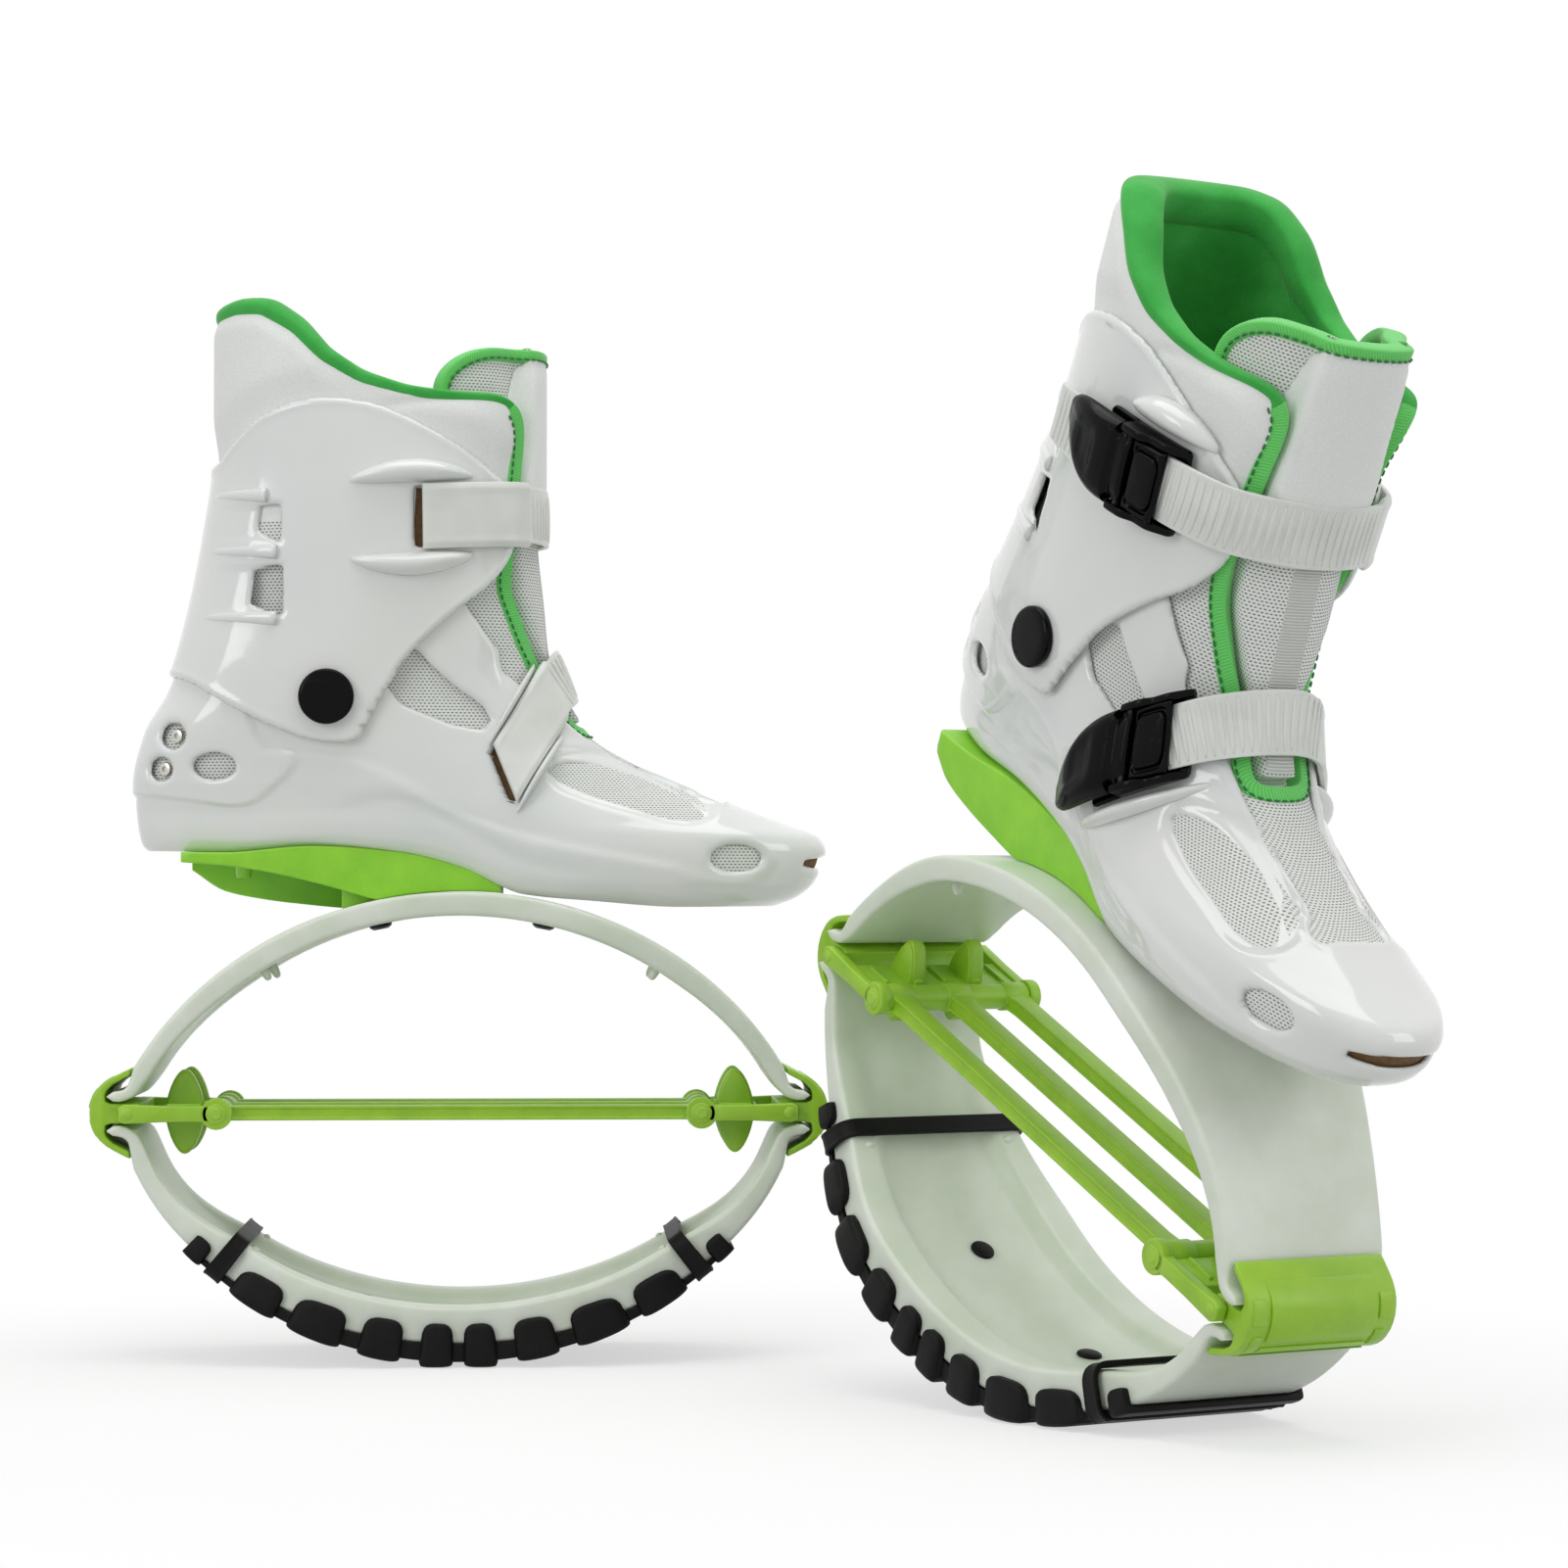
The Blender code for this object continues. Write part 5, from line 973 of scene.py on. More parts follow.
def socket_screw(head, along, radius, height, socket):
    """A button head with a hexagon socket, its top at head, facing along."""
    along = Vector(along).normalized()
    across = along.orthogonal().normalized()
    other = along.cross(across)
    rings = []
    for out, size, sides in ((-height, 1.0, 0), (-height * 0.55, 1.0, 0), (-height * 0.22, 0.90, 0), (0.0, 0.62, 0),
                             (0.0, socket / radius, 6), (-height * 0.6, socket / radius * 0.96, 6)):
        ring = []
        for k in range(24):
            turn = math.tau * k / 24
            reach = radius * size
            if sides:
                reach *= math.cos(math.pi / sides) / math.cos((turn % (math.tau / sides)) - math.pi / sides)
            ring.append(Vector(head) + along * out + across * (reach * math.cos(turn)) + other * (reach * math.sin(turn)))
        rings.append(ring)
    return loft(rings)


for name, x in (("rear_sole_bolt", -0.0360), ("front_sole_bolt", 0.0360)):
    slant = (upper_bow_top(x + 0.001) - upper_bow_top(x - 0.001)) / 0.002
    seat = upper_bow_top(x) - 0.0108 + 0.0030
    head = socket_screw((x - slant * 0.005, 0.0, seat - 0.0058), (slant, 0.0, -1.0), 0.0055, 0.0046, 0.0022)
    screw_mesh = outward(mesh_of(*head))
    screw_mesh.set_sharp_from_angle(angle=math.radians(35.0))
    add_pieces(name + "_head", "upper", screw_mesh, [bolt_steel], [name])


# Boot shell
# The hard shoe, injection moulded in glossy white polyurethane with a 3 mm wall: open along the
# instep, with windows at ankle, instep, toe and heel, moulded ledges, and a slot across the toe.

def softened(outline, rounds=2):
    """Cut the corners of a closed outline, so that it runs smoothly."""
    points = np.array(outline, dtype=float)
    for _ in range(rounds):
        after = np.roll(points, -1, axis=0)
        points = np.stack([points * 0.75 + after * 0.25, points * 0.25 + after * 0.75], axis=1).reshape(-1, 2)
    return points


def boot_outline(shares):
    """Side-view points given as shares of the boot's length and height."""
    return [(along_boot(a), up_boot(b)) for a, b in shares]


def inside_by(outline, u, v):
    """How far each point (u, v) lies inside a closed outline; outside it is negative."""
    outline = np.array(outline, dtype=float)
    near = np.full(u.shape, 1e9)
    within = np.zeros(u.shape, dtype=bool)
    for (ax, ay), (bx, by) in zip(outline, np.roll(outline, -1, axis=0)):
        dx, dy = bx - ax, by - ay
        t = np.clip(((u - ax) * dx + (v - ay) * dy) / max(dx * dx + dy * dy, 1e-18), 0.0, 1.0)
        near = np.minimum(near, (u - ax - t * dx) ** 2 + (v - ay - t * dy) ** 2)
        if ay != by:
            within ^= ((ay > v) != (by > v)) & (u < dx * (v - ay) / (by - ay) + ax)
    near = np.sqrt(near)
    return np.where(within, near, -near)


def beside_line(line, u, v):
    """Distance of each point from an open line, positive on its left."""
    near = np.full(u.shape, 1e9)
    signed = np.zeros(u.shape)
    share = np.zeros(u.shape)
    gone, total = 0.0, sum(math.dist(a, b) for a, b in zip(line, line[1:]))
    for (ax, ay), (bx, by) in zip(line, line[1:]):
        dx, dy = bx - ax, by - ay
        size = math.hypot(dx, dy)
        t = np.clip(((u - ax) * dx + (v - ay) * dy) / size ** 2, 0.0, 1.0)
        off = np.hypot(u - ax - t * dx, v - ay - t * dy)
        side = np.sign(dx * (v - ay) - dy * (u - ax))
        better = off < near
        near = np.where(better, off, near)
        signed = np.where(better, off * side, signed)
        share = np.where(better, (gone + t * size) / total, share)
        gone += size
    return signed, share


def level_rows(low, high, spacing):
    """Heights whose rings lie evenly along the front of the form."""
    fine = np.linspace(low, high, 600)
    front = last_row(fine)[1]
    gone = np.concatenate([[0], np.cumsum(np.hypot(np.diff(fine), 0.8 * np.diff(front)))])
    return np.interp(np.linspace(0, gone[-1], max(8, int(gone[-1] / spacing))), gone, fine)


def form_grid(low, high, spacing, columns, outset_at, sole=0):
    """A grid of points over the form; with sole rows it is closed underneath."""
    levels = level_rows(low, high, spacing)
    turn = np.linspace(-math.pi, math.pi, columns + 1)
    grid = form_points(turn[None, :], levels[:, None], outset_at(levels)[:, None])
    if sole:
        shares = np.sin(np.linspace(0, math.pi / 2, sole + 1))[:-1]
        under = np.repeat(grid[:1], sole, axis=0)
        under[:, :, 1] *= shares[:, None]
        under[:, :, 2] = arched(under[:, :, 0], levels[0])
        grid = np.concatenate([under, grid])
    return grid


def surface_map(grid):
    """Places on the surface in millimetres: round it and up it."""
    round_it = np.concatenate([np.zeros((len(grid), 1)), np.cumsum(
        np.linalg.norm(np.diff(grid, axis=1), axis=2), axis=1)], axis=1)
    middle = grid.shape[1] // 2
    round_it -= round_it[:, middle:middle + 1]
    up_it = np.concatenate([np.zeros((1, grid.shape[1])), np.cumsum(
        np.linalg.norm(np.diff(grid, axis=0), axis=2), axis=0)], axis=0)
    return np.stack([round_it, up_it], axis=-1) * 1000.0


def trimmed(grid, field, spots):
    """Keep a grid of points where the field is positive, cut cleanly along its edge."""
    rows, columns = field.shape
    flat, values, maps = grid.reshape(-1, 3), field.reshape(-1), spots.reshape(rows * columns, -1)
    kept = np.flatnonzero(values > 0)
    index = np.full(rows * columns, -1)
    index[kept] = np.arange(len(kept))
    points, level, flat_map = list(flat[kept]), list(values[kept]), list(maps[kept])
    corner = (np.arange(rows - 1)[:, None] * columns + np.arange(columns - 1)).reshape(-1)
    cells = np.stack([corner, corner + 1, corner + columns + 1, corner + columns], axis=1)
    signs = (values[cells] > 0).sum(axis=1)
    faces = [tuple(c) for c in index[cells[signs == 4]]]
    crossings = {}
    for cell in cells[(signs > 0) & (signs < 4)]:
        face = []
        for k in range(4):
            a, b = int(cell[k]), int(cell[(k + 1) % 4])
            if values[a] > 0:
                face.append(int(index[a]))
            if (values[a] > 0) != (values[b] > 0):
                key = (min(a, b), max(a, b))
                if key not in crossings:
                    t = values[key[0]] / (values[key[0]] - values[key[1]])
                    t = min(max(t, 0.06), 0.94)
                    crossings[key] = len(points)
                    points.append(flat[key[0]] * (1 - t) + flat[key[1]] * t)
                    level.append(0.0)
                    flat_map.append(maps[key[0]] * (1 - t) + maps[key[1]] * t)
                face.append(crossings[key])
        if len(face) > 2:
            faces.append(tuple(face))
    return np.array(points), faces, np.array(level), np.array(flat_map)


def walled(points, faces, level, flat_map, wall, finish_at=None, relief=None, padding=None):
    """Give a trimmed sheet its wall, with rounded rims; the sheet is the outer face, relief lifts
    both faces and padding thickens the wall inwards."""
    sheet = mesh_of(points, faces, None, flat_map)
    bm = bmesh.new()
    bm.from_mesh(sheet)
    bm.verts.ensure_lookup_table()
    depth = bm.verts.layers.float.new("level")
    lift = bm.verts.layers.float.new("lift")
    more = bm.verts.layers.float.new("more")
    for k, vert in enumerate(bm.verts):
        vert[depth] = float(level[k])
        vert[lift] = 0.0 if relief is None else float(relief[k])
        vert[more] = 0.0 if padding is None else float(padding[k])
    bmesh.ops.remove_doubles(bm, verts=bm.verts, dist=0.00002)
    bm.normal_update()
    middle = sum((v.co for v in bm.verts), Vector()) / len(bm.verts)
    facing = sum((f.normal.x * (f.calc_center_median().x - middle.x)
                  + f.normal.y * (f.calc_center_median().y - middle.y)) * f.calc_area() for f in bm.faces)
    if facing < 0:
        bmesh.ops.reverse_faces(bm, faces=bm.faces)
        bm.normal_update()
    rim = {v for e in bm.edges if len(e.link_faces) == 1 for v in e.verts}
    slivers = [f for f in bm.faces if all(v in rim for v in f.verts)]
    bmesh.ops.delete(bm, geom=slivers, context="FACES_ONLY")
    for vert in [v for v in bm.verts if not v.link_faces]:
        rim.discard(vert)
        bm.verts.remove(vert)
    for vert in bm.verts:
        vert.co += vert.normal * vert[lift]
    bm.normal_update()
    normals = {v: v.normal.copy() for v in bm.verts}
    inner = {}
    for vert in list(bm.verts):
        if vert in rim:
            inner[vert] = vert
            continue
        share = min(max(vert[depth], 0.0) / (wall * 0.75), 1.0)
        sink = wall / 2 * (1.0 - math.sqrt(max(0.0, 1.0 - (1.0 - share) ** 2)))
        inner[vert] = bm.verts.new(vert.co - normals[vert] * (wall + vert[more] - sink))
        vert.co -= normals[vert] * sink
    for vert in rim:
        vert.co -= normals[vert] * wall / 2
    layer = bm.loops.layers.uv.active
    for face in list(bm.faces):
        twin = bm.faces.new([inner[v] for v in reversed(face.verts)])
        twin.smooth = True
        for loop, source in zip(twin.loops, reversed(face.loops[:])):
            loop[layer].uv = source[layer].uv
        if finish_at:
            centre = face.calc_center_median()
            face.material_index = finish_at(centre, False)
            twin.material_index = finish_at(centre, True)
    bm.to_mesh(sheet)
    bm.free()
    sheet.shade_smooth()
    return sheet


def oval_outline(a, b, ra, rb, count=28):
    """A side-view oval from shares of the boot."""
    return [(along_boot(a) + boot_length * ra * math.cos(math.tau * k / count),
             up_boot(b) + boot_height * rb * math.sin(math.tau * k / count)) for k in range(count)]


ankle_window = softened(boot_outline(((0.352, 0.352), (0.395, 0.440), (0.445, 0.378), (0.520, 0.318), (0.494, 0.288))), 1)
instep_window = softened(boot_outline((
    (0.596, 0.236), (0.650, 0.246), (0.715, 0.224), (0.762, 0.199), (0.800, 0.173), (0.822, 0.155), (0.800, 0.148),
    (0.762, 0.152), (0.716, 0.170), (0.663, 0.186), (0.606, 0.214))), 3)
heel_holes = [oval_outline(*row) for row in ((0.060, 0.283, 0.0178, 0.0206), (0.042, 0.228, 0.0162, 0.0188),
                                             (0.120, 0.232, 0.030, 0.0206))]
toe_window = oval_outline(0.867, 0.079, 0.036, 0.023)
shell_edge = softened(boot_outline((
    (-0.10, 0.425), (0.16, 0.435), (0.30, 0.475), (0.42, 0.500), (0.50, 0.509), (0.535, 0.500), (0.565, 0.455),
    (0.62, 0.400), (0.70, 0.400), (0.70, 0.60), (-0.10, 0.60))), 2)
throat_half = [(0.45, 0.66), (0.515, 0.66), (0.585, 0.50), (0.615, 0.40), (0.665, 0.32), (0.77, 0.26), (0.812, 0.235),
               (0.822, 0.33), (0.843, 0.345), (0.850, 0.22)]
shell_throat = softened([(along_boot(a), ball_half_width * b) for a, b in throat_half]
                        + [(along_boot(a), -ball_half_width * b) for a, b in reversed(throat_half)], 1)
shell_front = softened([(-0.0200, 0.3850), (-0.0089, 0.3590), (0.0016, 0.3435), (0.0130, 0.3269), (0.0298, 0.3087),
                        (0.0430, 0.3020), (0.0800, 0.3020), (0.0800, 0.3850)], 1)
side_crease = [(-0.0950, 0.2762), (-0.0739, 0.2749), (-0.0613, 0.2749), (-0.0488, 0.2724), (-0.0362, 0.2678),
               (-0.0235, 0.2608), (-0.0109, 0.2531), (0.0017, 0.2467), (0.0164, 0.2413), (0.0312, 0.2366),
               (0.0523, 0.2320), (0.0734, 0.2282), (0.0945, 0.2244), (0.1156, 0.2187), (0.1325, 0.2166), (0.1600, 0.2155)]
arch_crease = [(-0.0600, 0.2485), (-0.0403, 0.2530), (-0.0277, 0.2539), (-0.0151, 0.2503), (-0.0025, 0.2434),
               (0.0101, 0.2356), (0.0228, 0.2288), (0.0375, 0.2240), (0.0607, 0.2204)]
heel_panel = softened([(-0.1700, 0.2565), (-0.1474, 0.2565), (-0.1261, 0.2544), (-0.1042, 0.2510), (-0.0937, 0.2521),
                       (-0.0854, 0.2586), (-0.0749, 0.2681), (-0.0739, 0.2740), (-0.0798, 0.2765), (-0.0896, 0.2761),
                       (-0.0980, 0.3000), (-0.1200, 0.3400), (-0.1700, 0.3500)], 1)


def strap_slot(strap, gap, wide, reach):
    """The slot in a wall from which a strap comes out: a side-view outline past the strap's medial end."""
    end = -strap.length(-1)
    corners = [strap.place(end - gap, -wide, 0.0), strap.place(end - gap, wide, 0.0),
               strap.place(end - gap + reach, wide, 0.0), strap.place(end - gap + reach, -wide, 0.0)]
    return [(p.x, p.z) for p in corners]


class Strap:
    """One ladder strap: where it crosses the middle, and how each side runs down the boot."""

    def __init__(self, crown, crown_angle, angles, surface, runs, buckle_front):
        self.crown_z, self.crown_angle, self.surface, self.buckle_front = crown, crown_angle, surface, buckle_front
        self.angles, self.runs = dict(zip((-1, 1), angles)), dict(zip((-1, 1), runs))
        self.lines = {(side, edge): self.trace(side, edge * 0.01275) for side in (-1, 1) for edge in (-1, 0, 1)}

    def trace(self, side, across):
        """Points along one line of the strap on one side, from the crown down."""
        angle = self.angles[side]
        height = self.crown_z + across * math.cos(self.crown_angle)
        front = float(last_row(height)[1]) + 0.0016 + 0.0012
        rows = [Vector((front, 0.0, height))]
        for k in range(1, 61):
            drop = self.runs[side] * (k / 60) ** 2
            x, z = front - math.cos(angle) * drop, height - math.sin(angle) * drop
            lift = self.surface + 0.0032 + (0.0027 if side > 0 else 0.0)
            outset = 0.0028 + (lift - 0.0028) * float(eased(drop / 0.0150))
            rows.append(Vector((x, side * float(half_width(x, z, outset)), z)))
        return rows

    def frame_at(self, distance):
        """Point, width direction and outward direction at a distance from the crown."""
        side = 1 if distance >= 0 else -1
        low, middle, high = (self.lines[side, edge] for edge in (-1, 0, 1))
        left = abs(distance)
        for k in range(len(middle) - 1):
            length = (middle[k + 1] - middle[k]).length
            if left <= length or k == len(middle) - 2:
                break
            left -= length
        part = left / length
        point = middle[k].lerp(middle[k + 1], part)
        edge_low, edge_high = low[k].lerp(low[k + 1], min(part, 1.0)), high[k].lerp(high[k + 1], min(part, 1.0))
        across = (edge_high - edge_low).normalized()
        ahead = (middle[min(k + 2, len(middle) - 1)] - middle[max(k - 1, 0)]).normalized() * side
        ahead = Vector((0.0, 1.0, 0.0)).lerp(ahead, min(1.0, abs(distance) / 0.0150)).normalized()
        out = ahead.cross(across).normalized()
        hollow = ((edge_low + edge_high) / 2 - point).dot(out)
        return point + out * max(0.0, hollow), across, out

    def length(self, side):
        """Length of the middle line on one side."""
        rows = self.lines[side, 0]
        return sum((b - a).length for a, b in zip(rows, rows[1:]))

    def place(self, distance, across, out):
        """A point by distance along, distance across and distance out from the middle line."""
        point, side, up = self.frame_at(distance)
        return point + side * float(across) + up * float(out)


upper_strap = Strap(0.3840, 0.0, (math.radians(3.0), math.radians(-3.0)), 0.0042, (0.0550, 0.1160), 0.0640)
lower_strap = Strap(0.3110, math.radians(34.0), (math.radians(60.0), math.radians(40.0)), 0.0, (0.0520, 0.0860), 0.0390)
shell_slot = strap_slot(lower_strap, 0.0038, 0.0130, 0.0060)
cuff_slot = strap_slot(upper_strap, 0.0038, 0.0135, 0.0060)


def shell_mesh():
    """The trimmed form with its ledges and rounded rims."""
    grid = form_grid(sole_height, up_boot(0.53), 0.00175, 340, lambda z: z * 0.0, 9)
    x, y, z = grid[..., 0], grid[..., 1], grid[..., 2]
    fields = [-inside_by(shell_edge, x, z)]
    throat = -inside_by(shell_throat, x, y)
    fields.append(np.where(z > up_boot(0.12), throat, 1.0))
    fields.append(-inside_by(shell_front, x, z))
    flank, end = np.abs(y) > 0.015, np.abs(y) > 0.006
    windows = []
    for outline, where in ((ankle_window, flank), (instep_window, flank), (toe_window, end), *[
            (hole, end) for hole in heel_holes]):
        windows.append(np.where(where, -inside_by(outline, x, z), 1.0))
    windows.append(np.where(y < -0.015, -inside_by(shell_slot, x, z), 1.0))
    slot = np.abs(z - up_boot(0.070)) - 0.0030 * np.sqrt(np.clip(1 - (y / 0.0225) ** 2, 0.0, 1.0))
    fields.append(np.where((x > along_boot(0.90)) & (np.abs(y) < 0.0225), slot, 1.0))
    field = np.minimum.reduce(fields + windows)
    lip = np.minimum.reduce(windows[:1] + windows[2:6])
    relief = -0.0009 * np.clip(1 - lip / 0.0035, 0, 1) ** 2
    ledge = -inside_by(softened(boot_outline((
        (0.590, 0.256), (0.655, 0.268), (0.720, 0.250), (0.775, 0.220), (0.815, 0.188), (0.842, 0.156), (0.806, 0.134),
        (0.762, 0.139), (0.716, 0.156), (0.663, 0.172), (0.596, 0.200))), 3), x, z)
    dish = np.where(flank, ledge, 1.0)
    relief += -0.0018 * np.clip(0.5 - dish / 0.0026, 0, 1)
    below, share = beside_line(side_crease, x, z)
    fade = np.clip(share / 0.10, 0, 1) * np.clip((1 - share) / 0.25, 0, 1)
    relief += 0.0016 * fade * np.clip(0.5 - below / 0.0030, 0, 1) * np.exp(np.minimum(below, 0) / 0.020)
    below, share = beside_line(arch_crease, x, z)
    fade = np.sin(np.clip(share, 0, 1) * math.pi) ** 0.6
    relief += -0.0010 * fade * np.exp(-(below / 0.0034) ** 2) + 0.0007 * fade * np.exp(-((below - 0.006) / 0.006) ** 2)
    panel = inside_by(heel_panel, x, z)
    relief += 0.0016 * np.clip(0.5 + panel / 0.0022, 0, 1)
    relief += 0.0006 * np.clip(1 - np.abs(fields[1] - 0.0022) / 0.0022, 0, 1)
    points, faces, level, spots = trimmed(grid, field, np.stack([x, relief], axis=-1))
    return walled(points, faces, level, spots, 0.0030, None, spots[:, 1])


def moulded_polyurethane():
    """White polyurethane, injection moulded in a polished mould: a glossy skin, a very slight
    orange-peel waviness, a cool-to-warm drift in the white, and hairline scuffs from use."""
    material, tree, shader = new_finish("white_moulded_polyurethane")
    place = add(tree, "ShaderNodeTexCoord")
    drift = add(tree, "ShaderNodeTexNoise", {"Vector": place.outputs["Object"], "Scale": 14.0, "Detail": 3.0})
    tone = add(tree, "ShaderNodeValToRGB", {"Fac": drift.outputs["Fac"]})
    tone.color_ramp.elements[0].position, tone.color_ramp.elements[1].position = 0.35, 0.65
    tone.color_ramp.elements[0].color = hex_colour("#E3E6E4")
    tone.color_ramp.elements[1].color = hex_colour("#EAEBE8")
    tree.links.new(tone.outputs["Color"], shader.inputs["Base Color"])
    peel = add(tree, "ShaderNodeTexNoise", {"Vector": place.outputs["Object"], "Scale": 210.0, "Detail": 1.0})
    scuff = add(tree, "ShaderNodeTexNoise", {"Vector": add(tree, "ShaderNodeMapping", {
        "Vector": place.outputs["Object"], "Rotation": (0.4, 0.7, 0.2), "Scale": (60.0, 900.0, 900.0)}).outputs[0],
        "Scale": 1.0, "Detail": 3.0})
    scratch = add(tree, "ShaderNodeMapRange", {"Value": scuff.outputs["Fac"], "From Min": 0.66, "From Max": 0.74,
                                               "To Min": 0.10, "To Max": 0.26})
    tree.links.new(scratch.outputs["Result"], shader.inputs["Roughness"])
    bump = add(tree, "ShaderNodeBump", {"Height": peel.outputs["Fac"], "Strength": 0.05, "Distance": 0.0008})
    tree.links.new(bump.outputs["Normal"], shader.inputs["Normal"])
    shader.inputs["IOR"].default_value = 1.50
    shader.inputs["Coat Weight"].default_value = 0.45
    shader.inputs["Coat Roughness"].default_value = 0.03
    shader.inputs["Subsurface Weight"].default_value = 0.10
    shader.inputs["Subsurface Radius"].default_value = (1.0, 1.0, 0.9)
    shader.inputs["Subsurface Scale"].default_value = 0.0015
    return material


shell_gloss = moulded_polyurethane()
add_pieces("shell_moulding", "upper", shell_mesh(), [shell_gloss], ["boot_shell"])


# Strap guards and heel screws
# Ribs moulded in one with the shell and the cuff shield the straps' edges; two small steel screws
# sit in the round holes at each side of the heel.

def guard(strap, start, end, across, surface, reach, thick, lens=0.0):
    """A rounded rib beside a strap; a lens rib is flat towards the strap and swells away from it."""
    side = 1 if start > 0 else -1
    away = math.copysign(1.0, across)
    rings = []
    for share in np.linspace(0.0, 1.0, 41):
        rise = max(0.02, math.sin(math.pi * share ** 1.15) ** 0.55) if 0 < share < 1 else 0.02
        swell = lens * (math.sin(math.pi * share) ** 0.8 if 0 < share < 1 else 0.0)
        distance = start + (end - start) * share
        ring = []
        for turn in np.linspace(0, math.pi, 13):
            half = thick / 2 * (0.55 + 0.45 * rise) * (1.25 - 0.25 * math.sin(turn)) + swell / 2
            point = strap.place(distance, across + away * swell / 2 + math.cos(turn) * half, 0.0)
            wall = float(half_width(point.x, point.z, surface))
            out = -0.0010 + (reach * rise + 0.0010) * math.sin(turn) ** (0.7 if not lens else 0.85)
            ring.append((point.x, side * (wall + out), point.z))
        rings.append(ring)
    return loft(rings)


medial_low, lateral_low = -lower_strap.length(-1), lower_strap.length(1)
rails = [guard(lower_strap, medial_low - 0.003, medial_low * 0.42, side * 0.0172, 0.0, 0.0078, 0.0036) for side in (-1, 1)]
rails.append(guard(lower_strap, lateral_low * 0.30, lateral_low * 0.90, -0.0212, 0.0, 0.0086, 0.0036, 0.0030))
add_pieces("shell_guards", "upper", outward(mesh_of(*joined_parts(rails))), [shell_gloss], ())


def plated_steel():
    """Zinc-plated steel: bright, faintly brushed round its axis, with a slight warm tint."""
    material, tree, shader = new_finish("zinc_plated_steel")
    place = add(tree, "ShaderNodeTexCoord")
    mark = add(tree, "ShaderNodeTexNoise", {"Vector": place.outputs["Object"], "Scale": 900.0, "Detail": 3.0})
    gloss = add(tree, "ShaderNodeMapRange", {"Value": mark.outputs["Fac"], "To Min": 0.18, "To Max": 0.42})
    tree.links.new(gloss.outputs["Result"], shader.inputs["Roughness"])
    shader.inputs["Base Color"].default_value = hex_colour("#C9C6C0")
    shader.inputs["Metallic"].default_value = 1.0
    return material


zinc_steel = plated_steel()
heel_screws = []
for side in (-1, 1):
    for a, b in ((0.060, 0.283), (0.042, 0.228)):
        x, z = along_boot(a) + 0.0012, up_boot(b)
        y = side * (float(half_width(x, z, 0.0)) - 0.0014)
        slope = (float(half_width(x + 0.002, z, 0.0)) - float(half_width(x - 0.002, z, 0.0))) / 0.004
        heel_screws.append(socket_screw((x, y, z), (-slope, side, 0.0), 0.0033, 0.0018, 0.0014))
heel_screw_mesh = outward(mesh_of(*joined_parts(heel_screws)))
heel_screw_mesh.set_sharp_from_angle(angle=math.radians(35.0))
add_pieces("heel_screws", "upper", heel_screw_mesh, [zinc_steel], ())


# Cuff
# A second white moulding round the ankle, open in front, that swings on the ankle rivets: two
# windows behind, wedge ribs beside them, and a lens-shaped rib above and below the upper strap.

cuff_outline = softened(boot_outline((
    (-0.05, 0.395), (0.058, 0.390), (0.136, 0.334), (0.203, 0.296), (0.260, 0.272), (0.321, 0.269),
    (0.331, 0.280), (0.354, 0.334), (0.370, 0.364), (0.393, 0.410), (0.432, 0.456), (0.471, 0.495),
    (0.517, 0.533), (0.551, 0.590), (0.553, 0.660), (0.545, 0.697), (0.506, 0.735), (0.461, 0.772),
    (0.394, 0.812), (0.341, 0.836), (0.263, 0.843), (0.188, 0.820), (0.140, 0.768), (0.114, 0.731),
    (-0.05, 0.727))), 2)
cuff_windows = [boot_outline(shares) for shares in (
    ((0.180, 0.622), (0.214, 0.604), (0.214, 0.663), (0.184, 0.660)),
    ((0.170, 0.500), (0.217, 0.482), (0.216, 0.562), (0.176, 0.556)))]


def cuff_mesh():
    """The trimmed collar with a raised rim line and sunk windows."""
    grid = form_grid(up_boot(0.24), up_boot(0.86), 0.00150, 300, lambda z: z * 0.0 + 0.0042)
    x, y, z = grid[..., 0], grid[..., 1], grid[..., 2]
    field = inside_by(cuff_outline, x, z)
    windows = [np.where(np.abs(y) > 0.020, -inside_by(outline, x, z), 1.0) for outline in cuff_windows]
    windows.append(np.where(y < -0.010, -inside_by(cuff_slot, x, z), 1.0))
    field = np.minimum.reduce([field] + windows)
    rim = np.clip(inside_by(cuff_outline, x, z), 0, 1)
    relief = 0.0005 * np.exp(-((rim - 0.0022) / 0.0011) ** 2)
    # each window has a ramp that runs in from the rear, under its rib
    for (a0, b0), (a1, b1) in (((0.115, 0.608), (0.212, 0.663)), ((0.110, 0.486), (0.216, 0.562))):
        ramp = inside_by(boot_outline(((a0, b0), (a1, b0), (a1, b1), (a0, b1))), x, z)
        share = np.clip((x - along_boot(a0)) / (along_boot(a1) - along_boot(a0)), 0, 1)
        relief -= np.where(np.abs(y) > 0.020, 0.0016 * share * np.clip(0.5 + ramp / 0.0022, 0, 1), 0.0)
    points, faces, level, spots = trimmed(grid, field, np.stack([x, relief], axis=-1))
    return walled(points, faces, level, spots, 0.0030, None, spots[:, 1])


def wedge_rib(a, b, length, side):
    """A rib that rises from the wall towards the front and ends square."""
    rings = []
    for share in np.linspace(0.0, 1.0, 13):
        x = along_boot(a) + boot_length * length * share
        z = up_boot(b) - 0.0012 * share
        tall = 0.0014 + 0.0020 * share
        out = 0.0002 + 0.0026 * share ** 0.8
        ring = []
        for turn in np.linspace(0, math.pi, 9):
            zz = z + math.cos(turn) * tall
            ring.append((x, side * (float(half_width(x, zz, 0.0042)) - 0.0008 + (out + 0.0008) * math.sin(turn) ** 0.6), zz))
        rings.append(ring)
    return loft(rings)


